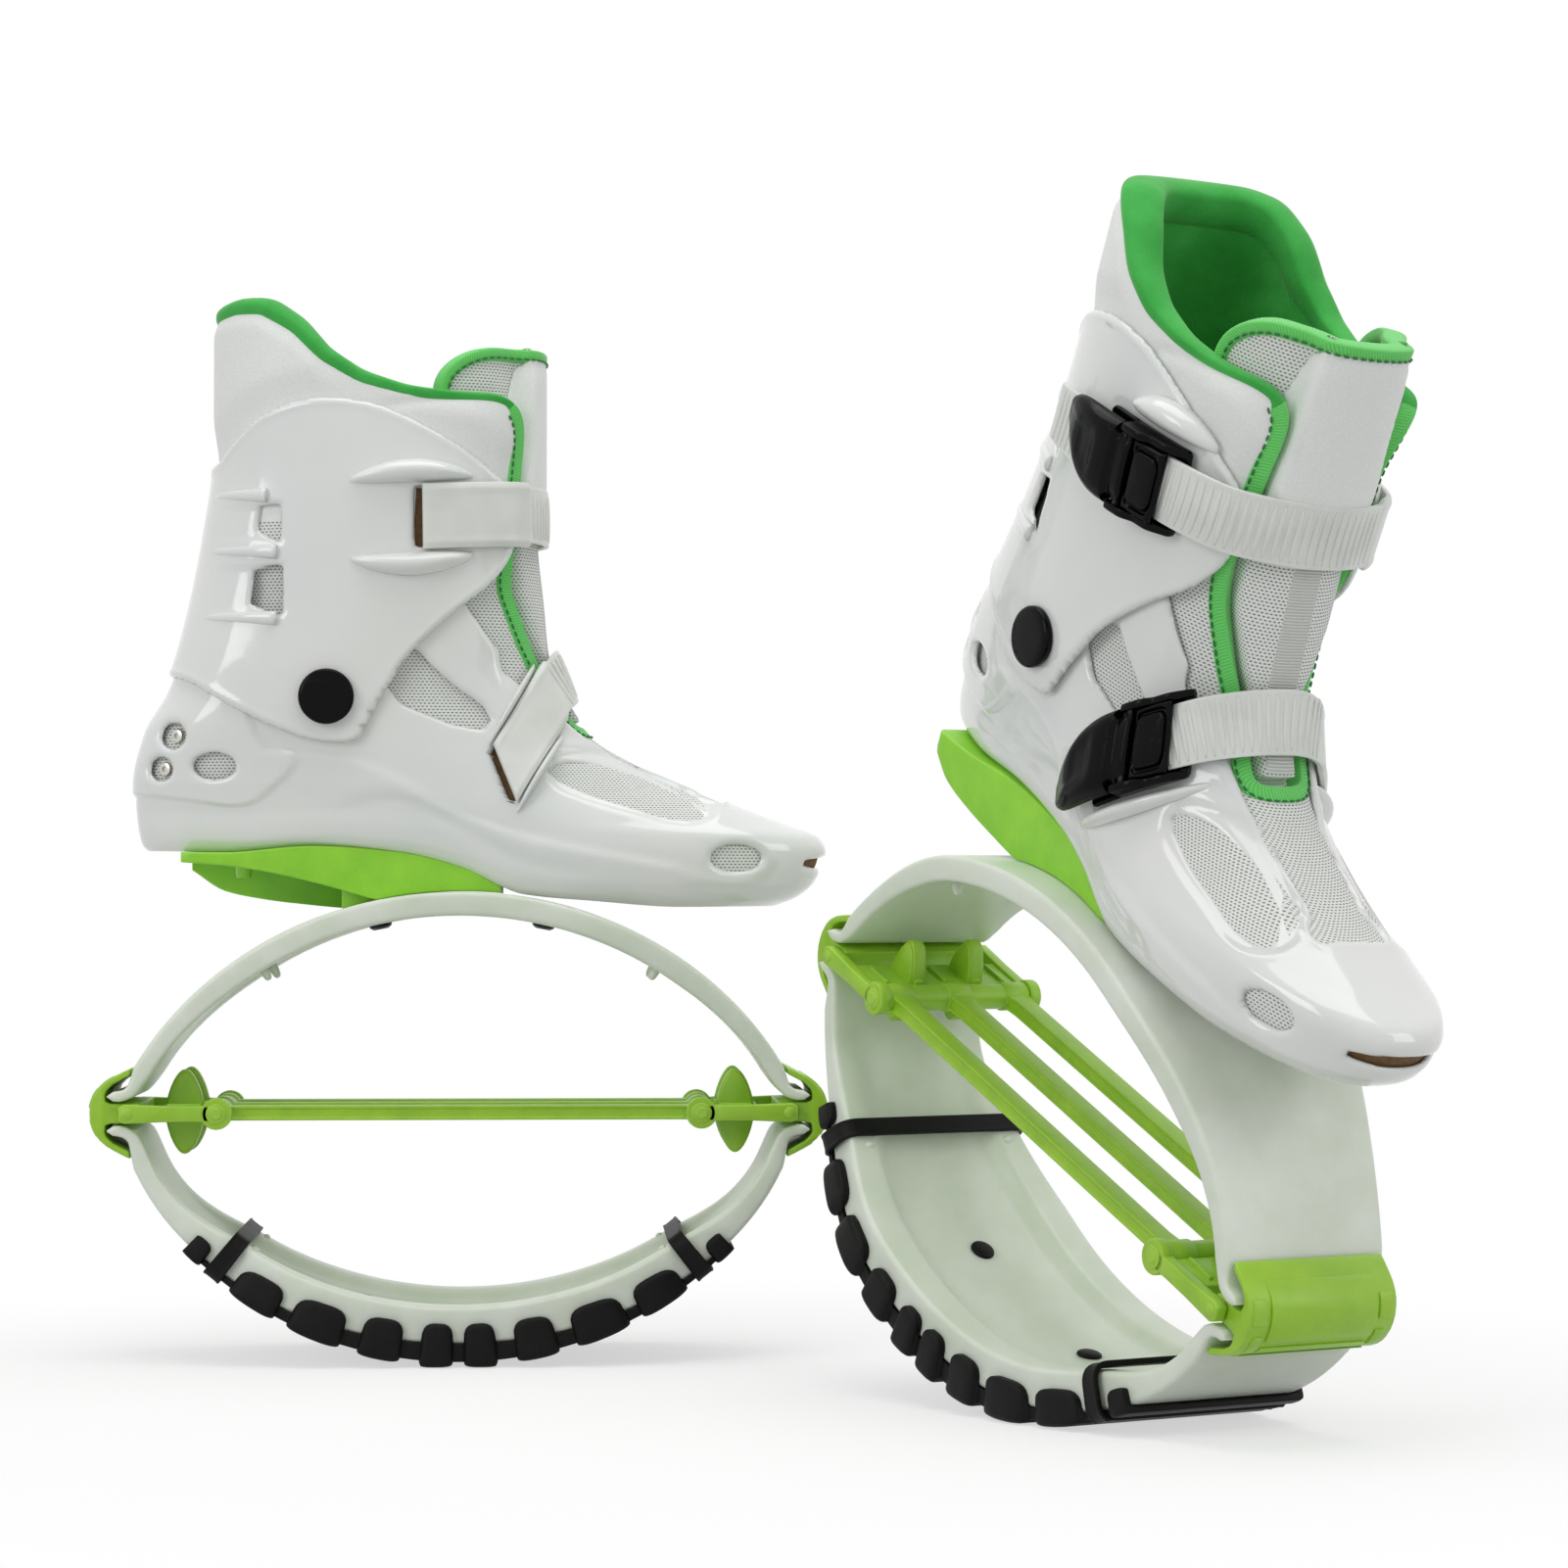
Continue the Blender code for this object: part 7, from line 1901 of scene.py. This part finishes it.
edge_points, edge_faces = swept(liner_rim, edge_section)
rolled = []
for k in range(len(edge_faces)):
    collar, throat = liner_fields(*[np.array(v) for v in liner_rim[0][min(k // 28, len(liner_rim[0]) - 1)]])
    rolled.append(1 if float(collar) < float(throat) else 0)
edge_mesh = outward(mesh_of(edge_points, edge_faces, rolled, along_map(liner_rim[0], 28)))
for side, item in add_pieces("knit_edge", ankle_bend, edge_mesh, [knit, velour], ()):
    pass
rear_first = int(np.argmin(liner_rim[0][:, 0]))
places, normals, across = [np.roll(rows, -rear_first, axis=0) for rows in liner_rim]
collar, throat = liner_fields(*places.T)
seam = np.flatnonzero(throat < np.minimum(collar, 0.0040))
seam = slice(seam[0], seam[-1] + 1)
seam_line = list(places[seam] + normals[seam] * 0.0010 + across[seam] * 0.0052)
edge_stitches = stitches(seam_line, 0.0036, 0.0028, 0.0010, thread)
add_pieces("edge_stitches", ankle_bend, edge_stitches, [thread], ())


# Footbed
# A moulded foam insole covered in the same green velour.

footbed_rings = []
footbed_turns = np.linspace(-math.pi, math.pi, 96, endpoint=False)
for height, outset in ((0.0112, -0.0096), (0.0125, -0.0092), (0.0146, -0.0094), (0.0152, -0.0104)):
    footbed_rings.append(form_points(footbed_turns, np.full(96, sole_height + height), np.full(96, outset)))
for share in (0.85, 0.6, 0.3, 0.05):
    ring = footbed_rings[-1 if share == 0.85 else 3].copy()
    ring[:, 1] *= share
    ring[:, 2] -= 0.0003 * (1 - share)
    footbed_rings.append(ring)
footbed_mesh = outward(mesh_of(*loft(footbed_rings)))
for side, item in add_pieces("insole", "upper", footbed_mesh, [velour], ["footbed"]):
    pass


# Tongue
# A padded mesh tongue under the throat's edges, with a coated panel on its upper front, a ribbed
# webbing strip down its middle and a stitched green piping over its rounded top.

tongue_low, tongue_high = 0.2790, 0.4590
tongue_corner = 0.0190


def tongue_turn(z):
    """How far the tongue reaches round the form: under the throat's edges, wider at its rounded top."""
    hidden = np.interp(z, rim_heights, rim_turns) + 0.13
    part = np.clip((z - 0.4050) / 0.0300, 0, 1)
    wide = hidden + (turn_at(-0.0070, tongue_high) - hidden) * part * part * (3 - 2 * part)
    into = np.clip((z - (tongue_high - tongue_corner)) / tongue_corner, 0, 1)
    return wide - 0.50 * (1 - np.sqrt(1 - into ** 2))


def tongue_point(turn, z, lift=0.0):
    """Points on the tongue's face, which dips under the throat's edges."""
    edge = np.interp(z, rim_heights, rim_turns)
    tuck = np.clip(np.maximum((np.abs(turn) - edge + 0.17) / 0.13, (throat_low + 0.0050 - z) / 0.0050), 0, 1)
    rise = -0.0012 + np.interp(z, (0.37, 0.40), (0.0, 0.0022))
    deep = liner_outset(z) - liner_wall - 0.0020
    return form_points(turn, z, rise + (deep - rise) * tuck * tuck * (3 - 2 * tuck) + lift)


def tongue_grid(low, high, rows, columns, turn_to):
    """A grid of the tongue's face between heights, with its map in millimetres."""
    z = np.repeat(np.linspace(low, high, rows)[:, None], columns, axis=1)
    grid = tongue_point(np.linspace(-1, 1, columns)[None, :] * turn_to(z), z)
    round_it = surface_map(grid)[..., 0]
    return grid, np.stack([round_it, z * 1000], axis=-1)


def tongue_mesh():
    """The padded tongue with its rounded rim."""
    grid, flat = tongue_grid(tongue_low, tongue_high, 90, 61, tongue_turn)
    rows, columns = grid.shape[:2]
    level = np.minimum.reduce([
        np.linalg.norm(grid - grid[:, :1], axis=2), np.linalg.norm(grid - grid[:, -1:], axis=2),
        np.abs(flat[..., 1] / 1000 - tongue_low), np.abs(tongue_high - flat[..., 1] / 1000)])
    faces = [(r * columns + c, r * columns + c + 1, (r + 1) * columns + c + 1, (r + 1) * columns + c)
             for r in range(rows - 1) for c in range(columns - 1)]
    return walled(grid.reshape(-1, 3), faces, level.reshape(-1), flat.reshape(-1, 2), 0.0055,
                  lambda centre, inner: 1 if inner else 0)


for side, item in add_pieces("tongue_pad", ankle_bend, tongue_mesh(), [spacer_mesh, velour], ["tongue"]):
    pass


def panel_mesh():
    """The coated panel on the tongue's upper front."""
    grid, flat = tongue_grid(0.3800, tongue_high, 60, 71, lambda z: tongue_turn(z) - 0.004)
    y, z = flat[..., 0] / 1000, flat[..., 1] / 1000
    outline = softened([(-0.0400, 0.370), (0.0400, 0.370), (0.0390, 0.4180), (0.0255, 0.4620), (-0.0255, 0.4620),
                        (-0.0390, 0.4180)], 1)
    field = inside_by(outline, y, z)
    swell = np.clip(field / 0.012, 0, 1) * np.clip((z - 0.38) / 0.02, 0, 1)
    relief = 0.0010 + 0.0014 * swell * swell * (3 - 2 * swell)
    points, faces, level, spots = trimmed(grid, field, np.stack([y, relief], axis=-1))
    return walled(points, faces, level, spots, 0.0010, None, spots[:, 1])


add_pieces("tongue_panel", ankle_bend, panel_mesh(), [white_fabric], ())


def webbing_fabric():
    """White polyester webbing with fine cross ribs about 1.2 mm apart."""
    material, tree, shader = new_finish("white_ribbed_webbing")
    flat = add(tree, "ShaderNodeUVMap", uv_map="surface_mm")
    parts = add(tree, "ShaderNodeSeparateXYZ", {"Vector": flat.outputs["UV"]})
    yarn = add(tree, "ShaderNodeTexNoise", {"Vector": flat.outputs["UV"], "Scale": 2.0, "Detail": 2.0})
    bent = add(tree, "ShaderNodeMath", {0: yarn.outputs["Fac"], 1: 0.35, 2: parts.outputs["Y"]}, operation="MULTIPLY_ADD")
    wave = add(tree, "ShaderNodeMath", {0: add(tree, "ShaderNodeMath", {0: bent.outputs[0], 1: 5.2},
                                               operation="MULTIPLY").outputs[0]}, operation="SINE")
    tone = add(tree, "ShaderNodeValToRGB", {"Fac": add(tree, "ShaderNodeMapRange", {
        "Value": wave.outputs[0], "From Min": -1.0}).outputs["Result"]})
    tone.color_ramp.elements[0].color = hex_colour("#B9BDB6")
    tone.color_ramp.elements[1].color = hex_colour("#E3E5E0")
    tree.links.new(tone.outputs["Color"], shader.inputs["Base Color"])
    rough = add(tree, "ShaderNodeMapRange", {"Value": yarn.outputs["Fac"], "To Min": 0.6, "To Max": 0.8})
    tree.links.new(rough.outputs["Result"], shader.inputs["Roughness"])
    bump = add(tree, "ShaderNodeBump", {"Height": wave.outputs[0], "Strength": 0.5, "Distance": 0.0003})
    tree.links.new(bump.outputs["Normal"], shader.inputs["Normal"])
    shader.inputs["Sheen Weight"].default_value = 0.2
    return material


webbing = webbing_fabric()
grid, flat = tongue_grid(0.2795, 0.3960, 64, 31, lambda z: z * 0 + 0.20)
strip = trimmed(grid, 0.0072 - np.abs(grid[..., 1]), flat)
webbing_mesh = walled(*strip, 0.0010, None, np.full(len(strip[0]), 0.0009))
add_pieces("tongue_webbing", ankle_bend, webbing_mesh, [webbing], ())


def piping_line():
    """The tongue's edge from one side over the top to the other."""
    z = np.concatenate([np.linspace(0.4250, tongue_high - tongue_corner, 14),
                        tongue_high - tongue_corner * (1 - np.sin(np.linspace(0, math.pi / 2, 14)[1:]))])
    turn = np.concatenate([tongue_turn(z), np.linspace(tongue_turn(tongue_high), 0, 16)[1:]])
    z = np.concatenate([z, np.full(15, tongue_high)])
    turn, z = np.concatenate([turn, -turn[-2::-1]]), np.concatenate([z, z[-2::-1]])
    places = np.concatenate([tongue_point(turn, z), tongue_point(turn, z, 0.001) - tongue_point(turn, z)], axis=-1)
    gone = np.concatenate([[0], np.cumsum(np.linalg.norm(np.diff(places[:, :3], axis=0), axis=1))])
    at = np.linspace(0, gone[-1], 90)
    places = np.column_stack([np.interp(at, gone, c) for c in places.T])
    for _ in range(4):
        places[1:-1] = (places[:-2] + 2 * places[1:-1] + places[2:]) / 4
    places, normals = places[:, :3], places[:, 3:]
    ahead = np.gradient(places, axis=0)
    ahead /= np.linalg.norm(ahead, axis=1)[:, None]
    normals -= ahead * (normals * ahead).sum(axis=1)[:, None]
    normals /= np.linalg.norm(normals, axis=1)[:, None]
    across = np.cross(normals, ahead)
    middle = np.array([places[:, 0].mean(), 0.0, 0.415])
    across *= np.sign((across * (middle - places)).sum(axis=1))[:, None]
    return places, normals, across


def piping_section(k):
    """A folded tape with a soft round edge, closed at its ends."""
    section = []
    end = math.sqrt(1 - (1 - min(1.0, min(k, 89 - k) / 2.0)) ** 2) * 0.9 + 0.1
    for turn in np.linspace(0, math.tau, 20, endpoint=False):
        c, s = math.cos(turn), math.sin(turn)
        u = -0.0022 + 0.0048 * math.copysign(abs(c) ** 0.6, c) * end
        v = (-0.0014 * abs(s) ** 0.8 if s > 0 else 0.0050 * abs(s) ** 0.7) * end
        section.append((u, v))
    return section


piping = piping_line()
piping_mesh = outward(mesh_of(*swept(piping, piping_section, False), None, along_map(piping[0], 20, False)))
for side, item in add_pieces("tongue_piping", ankle_bend, piping_mesh, [knit], ()):
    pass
piping_seam = [piping[0][k] + piping[1][k] * 0.0027 + piping[2][k] * 0.0034 for k in range(3, 87)]
add_pieces("tongue_stitches", ankle_bend, stitches(piping_seam, 0.0036, 0.0028, 0.0010, thread), [thread], ())


# Ladder straps
# Two straps moulded in white polyurethane: a smooth plate with a bevelled border where each is
# fixed, and then a band with cross ribs that runs through the buckle and out behind it.

def satin_polyurethane():
    """White polyurethane, moulded with a satin skin: softer shine than the shell, faint flow lines
    and a slightly warmer white."""
    material, tree, shader = new_finish("satin_moulded_polyurethane")
    place = add(tree, "ShaderNodeTexCoord")
    flow = add(tree, "ShaderNodeTexNoise", {"Vector": place.outputs["Object"], "Scale": 60.0, "Detail": 3.0})
    tone = add(tree, "ShaderNodeValToRGB", {"Fac": flow.outputs["Fac"]})
    tone.color_ramp.elements[0].position, tone.color_ramp.elements[1].position = 0.35, 0.65
    tone.color_ramp.elements[0].color = hex_colour("#DCDFD9")
    tone.color_ramp.elements[1].color = hex_colour("#E5E7E2")
    tree.links.new(tone.outputs["Color"], shader.inputs["Base Color"])
    gloss = add(tree, "ShaderNodeMapRange", {"Value": flow.outputs["Fac"], "To Min": 0.26, "To Max": 0.40})
    tree.links.new(gloss.outputs["Result"], shader.inputs["Roughness"])
    grain = add(tree, "ShaderNodeTexNoise", {"Vector": place.outputs["Object"], "Scale": 1200.0, "Detail": 1.0})
    bump = add(tree, "ShaderNodeBump", {"Height": grain.outputs["Fac"], "Strength": 0.06, "Distance": 0.0003})
    tree.links.new(bump.outputs["Normal"], shader.inputs["Normal"])
    shader.inputs["Subsurface Weight"].default_value = 0.12
    shader.inputs["Subsurface Radius"].default_value = (1.0, 1.0, 0.9)
    shader.inputs["Subsurface Scale"].default_value = 0.0015
    return material


strap_satin = satin_polyurethane()


def strap_band(strap, plate):
    """The strap as one closed band, with its plate thicker, wider and bevelled."""
    medial, lateral = -strap.length(-1), strap.length(1)
    rings = []
    stations = sorted(set(np.round(np.concatenate([
        medial + np.array([0.0, 0.0006, 0.0014, 0.0030]), np.arange(medial + 0.004, lateral - 0.002, 0.0020),
        medial + plate + np.linspace(-0.002, 0.003, 8), lateral - np.array([0.0016, 0.0008, 0.0])]), 5)))
    for at in stations:
        on_plate = 1 - eased((at - medial - plate + 0.001) / 0.003)
        half = 0.01275 + 0.0020 * on_plate
        tail = eased((at - lateral * 0.86) / (lateral * 0.14))
        half *= 1 - 0.12 * tail
        top, low = 0.0012 + 0.0008 * on_plate, -0.0012
        if at < medial + 0.012:
            low = -0.0020
        tip = min(1.0, (at - medial) / 0.0030, (lateral - at) / 0.0012)
        close = 0.25 + 0.75 * math.sqrt(max(0.0, 1 - (1 - max(tip, 0.0)) ** 2))
        slope = 0.0022 * on_plate + 0.0004
        outline = [(-half, low), (half, low), (half, low * 0 + top - 0.0009 * on_plate - 0.0002),
                   (half - slope, top), (half - slope - 0.003, top - 0.0004 * on_plate),
                   (-half + slope + 0.003, top - 0.0004 * on_plate), (-half + slope, top),
                   (-half, top - 0.0009 * on_plate - 0.0002)]
        section = soft_corners(outline, [0.0008, 0.0008, 0.0005, 0.0008, 0.001, 0.001, 0.0008, 0.0005], 3)
        rings.append([strap.place(at, a, o * close if o > 0 else o) for a, o in section])
    return loft(rings)


def ladder(strap, start, end, finish):
    """Cross ribs every 3.7 mm along the band, set out by a node group on a row of guide points."""
    group = bpy.data.node_groups.new("ladder_ribs", "GeometryNodeTree")
    group.interface.new_socket("Geometry", in_out="INPUT", socket_type="NodeSocketGeometry")
    group.interface.new_socket("Pitch", in_out="INPUT", socket_type="NodeSocketFloat")
    group.interface.new_socket("Width", in_out="INPUT", socket_type="NodeSocketFloat")
    group.interface.new_socket("Geometry", in_out="OUTPUT", socket_type="NodeSocketGeometry")
    given = add(group, "NodeGroupInput")
    curve = add(group, "GeometryNodeMeshToCurve", {"Mesh": given.outputs["Geometry"]})
    even = add(group, "GeometryNodeResampleCurve", {"Curve": curve.outputs["Curve"], "Length": given.outputs["Pitch"]},
               mode="LENGTH")
    out = add(group, "GeometryNodeInputNamedAttribute", {"Name": "out"}, data_type="FLOAT_VECTOR")
    tangent = add(group, "GeometryNodeInputTangent")
    facing = add(group, "FunctionNodeAlignRotationToVector", {"Vector": out.outputs["Attribute"]}, axis="Z")
    facing = add(group, "FunctionNodeAlignRotationToVector", {
        "Rotation": facing.outputs["Rotation"], "Vector": tangent.outputs["Tangent"]}, axis="X", pivot_axis="Z")
    rod = add(group, "GeometryNodeMeshUVSphere", {"Segments": 14, "Rings": 10, "Radius": 1.0})
    size = add(group, "ShaderNodeCombineXYZ", {"X": 0.0011, "Y": given.outputs["Width"], "Z": 0.0007})
    shaped = add(group, "GeometryNodeTransform", {"Geometry": rod.outputs["Mesh"], "Scale": size.outputs["Vector"]})
    placed = add(group, "GeometryNodeInstanceOnPoints", {
        "Points": even.outputs["Curve"], "Instance": shaped.outputs["Geometry"], "Rotation": facing.outputs["Rotation"]})
    real = add(group, "GeometryNodeRealizeInstances", {"Geometry": placed.outputs["Instances"]})
    given_finish = add(group, "GeometryNodeSetMaterial", {"Geometry": real.outputs["Geometry"]})
    given_finish.inputs["Material"].default_value = finish
    add(group, "NodeGroupOutput", {"Geometry": given_finish.outputs["Geometry"]})
    places = np.arange(start, end, 0.0015)
    guide = bpy.data.meshes.new("guide")
    guide.from_pydata([tuple(strap.place(at, 0.0, 0.0012)) for at in places], [(k, k + 1) for k in range(len(places) - 1)], [])
    guide.attributes.new("out", "FLOAT_VECTOR", "POINT").data.foreach_set(
        "vector", np.array([tuple(strap.frame_at(at)[2]) for at in places]).reshape(-1))
    return evaluated(guide, group, {"Pitch": 0.0037, "Width": 0.0112})


strap_ends = {"upper": ("cuff", "upper_strap"), "lower": ("upper", "lower_strap")}
for name, strap, plate in (("upper", upper_strap, 0.0530), ("lower", lower_strap, 0.0500)):
    band = outward(mesh_of(*strap_band(strap, plate)), 0.000005)
    band.set_sharp_from_angle(angle=math.radians(40.0))
    medial = -strap.length(-1)
    crown, angle = strap.place(0.0, 0.0, 0.0), strap.angles[1]
    way = Vector((-math.cos(angle), 2.0, -math.sin(angle))).normalized()
    slide = (*strap_ends[name], tuple(crown + way * 0.0180), tuple(crown + way * 0.0460))
    add_pieces(name + "_ladder_strap", slide, band, [strap_satin], [name + "_strap"])
    rungs = ladder(strap, medial + plate + 0.004, strap.length(1) - 0.004, strap_satin)
    add_pieces(name + "_strap_ribs", slide, rungs, [strap_satin], ())


# Buckles
# Ratchet buckles in glossy black nylon: a base with two cheeks, a release plate with a rounded
# panel, and a long pointed lever that closes over the strap's tail.

buckle_half, buckle_floor, buckle_deck = 0.0168, -0.0039, 0.0027


def across_strap(strap, rows):
    """A solid from rows (distance, section of (across, out)) laid along a strap."""
    return loft([[strap.place(at, a, o) for a, o in section] for at, section in rows])


def base_parts(strap):
    """The base plate with its cheeks and its foot."""
    front, pin = strap.buckle_front, strap.buckle_front + 0.0260
    end = front + 0.0473
    rows = []
    for at in np.concatenate([front + np.array([0.0, 0.0006, 0.0015]), np.linspace(front + 0.003, end - 0.002, 30),
                              end - np.array([0.0008, 0.0])]):
        hump = math.exp(-((at - pin + 0.0010) / 0.0100) ** 4)
        nose = eased((at - front) / 0.0100)
        high = buckle_floor + 0.0030 + (buckle_deck + 0.0050 - buckle_floor - 0.0030) * max(0.62 * nose, hump)
        if at > pin + 0.0044:
            high = buckle_floor + 0.0022
        tip = min(1.0, (at - front) / 0.002, (end - at) / 0.002)
        wide = buckle_half + 0.0006 - 0.0016 * (1 - math.sqrt(max(0.0, 1 - (1 - tip) ** 2)))
        inside, top = buckle_half - 0.0026, buckle_floor + 0.0020
        high = max(high, top + 0.0002)
        outline = [(-wide, buckle_floor), (wide, buckle_floor), (wide, high), (inside, high), (inside, top), (-inside, top),
                   (-inside, high), (-wide, high)]
        rows.append((float(at), soft_corners(outline, [0.0006, 0.0006, 0.0010, 0.0007, 0.0003, 0.0003, 0.0007, 0.0010], 3)))
    foot = front + 0.0275
    return [across_strap(strap, rows), drum(strap.place(foot, 0.0, buckle_floor - 0.0012),
                                            strap.place(foot, 0.0, buckle_floor + 0.0010), ((0, 0.0030), (1, 0.0030)), 20)]


def lever_part(strap, lean):
    """The lever: narrow on its pin, then as wide as the buckle, and drawn out to a point that leans
    to one edge."""
    front, pin = strap.buckle_front, strap.buckle_front + 0.0260
    start, end = pin - 0.0022, front + 0.0655
    rows = []
    for at in np.concatenate([[start, start + 0.0005], np.linspace(start + 0.0012, end - 0.0020, 52),
                              [end - 0.0010, end - 0.0004, end]]):
        share = (at - start) / (end - start)
        past = eased((at - pin - 0.0046) / 0.0012)
        point = min(max((at - pin - 0.0080) / (end - pin - 0.0080), 0.0), 1.0)
        wide = (0.0135 + 0.0033 * past) * ((1 - point ** 2.1) ** 0.60 * 0.94 + 0.06)
        middle = lean * 0.0098 * point ** 2.2
        crown = (0.0047 + 0.0036 * math.sin(math.pi * min(share / 0.92, 1.0)) ** 0.8 * past) * (1 - 0.35 * point ** 2)
        close = 0.35 + 0.65 * math.sqrt(max(0.0, 1 - (1 - min(1.0, (at - start) / 0.0015, (end - at) / 0.0030)) ** 2))
        section = [(middle - wide + min(0.0008, wide * 0.3), buckle_deck + 0.0001),
                   (middle + wide - min(0.0008, wide * 0.3), buckle_deck + 0.0001)]
        for t in np.linspace(0, 1, 37):
            a = math.cos(math.pi * t)
            out = crown * (1 - abs(a) ** 5) ** 0.5 * close
            ridge = 0.0008 * math.exp(-((a * lean - 0.45) * wide / 0.0011) ** 2) * eased((share - 0.45) / 0.15) * (1 - point)
            dish = 0.0011 * math.exp(-((share - 0.52) / 0.13) ** 4 - (a / 0.55) ** 4)
            section.append((middle + wide * a, buckle_deck + max(out + ridge - dish, 0.0008)))
        rows.append((float(at), section))
    return across_strap(strap, rows)


def release_plate(strap):
    """The release plate: a rounded panel inside a deep groove and a raised frame."""
    front, pin = strap.buckle_front, strap.buckle_front + 0.0260
    end = pin - 0.0037
    start = end - 0.0155
    rows = []
    for at in np.concatenate([[start, start + 0.0004], np.linspace(start + 0.0009, end - 0.0009, 44), [end - 0.0004, end]]):
        section = [(-0.0141, buckle_deck), (0.0141, buckle_deck)]
        tip = min(1.0, (at - start) / 0.0016, (end - at) / 0.0010)
        close = 0.45 + 0.55 * math.sqrt(max(0.0, 1 - (1 - tip) ** 2))
        for t in np.linspace(0, 1, 61):
            a = 0.0141 * (1 - 2 * t)
            along = abs(at - (start + end) / 2 - 0.0003) / 0.0066
            over = abs(a) / 0.0112
            radial = (along ** 6 + over ** 6) ** (1 / 6)
            groove = 0.0019 * math.exp(-((radial - 1.0) / 0.085) ** 4)
            dome = 0.0005 * max(0.0, 1 - radial ** 2)
            rise = 0.0036 * close * min(1.0, ((0.0141 - abs(a)) / 0.0009 + 0.3))
            section.append((a, buckle_deck + max(0.0006, rise - groove + dome)))
        rows.append((float(at), section))
    return across_strap(strap, rows)


for name, strap, lean in (("upper", upper_strap, 1), ("lower", lower_strap, -1)):
    fixed = strap_ends[name][0]
    pin = strap.buckle_front + 0.0260
    base_mesh = outward(mesh_of(*joined_parts(base_parts(strap))), 0.000005)
    base_mesh.set_sharp_from_angle(angle=math.radians(50.0))
    add_pieces(name + "_base", fixed, base_mesh, [black_gloss], [name + "_buckle_base"])
    lever_mesh = outward(mesh_of(*lever_part(strap, lean)), 0.000005)
    lever_mesh.set_sharp_from_angle(angle=math.radians(50.0))
    add_pieces(name + "_lever_arm", name + "_lever", lever_mesh, [black_gloss], [name + "_buckle_lever"])
    plate_mesh = outward(mesh_of(*release_plate(strap)), 0.000005)
    add_pieces(name + "_release_plate", name + "_pawl", plate_mesh, [black_gloss], [name + "_buckle_pawl"])
    axle = drum(strap.place(pin, -0.0171, buckle_deck + 0.0021), strap.place(pin, 0.0171, buckle_deck + 0.0021), (
        (0.0, 0.0010), (0.01, 0.0022), (0.03, 0.0022), (0.035, 0.0016), (0.965, 0.0016), (0.97, 0.0022), (0.99, 0.0022),
        (1.0, 0.0010)), 20)
    add_pieces(name + "_axle", fixed, outward(mesh_of(*axle)), [bolt_steel], [name + "_buckle_pin"])
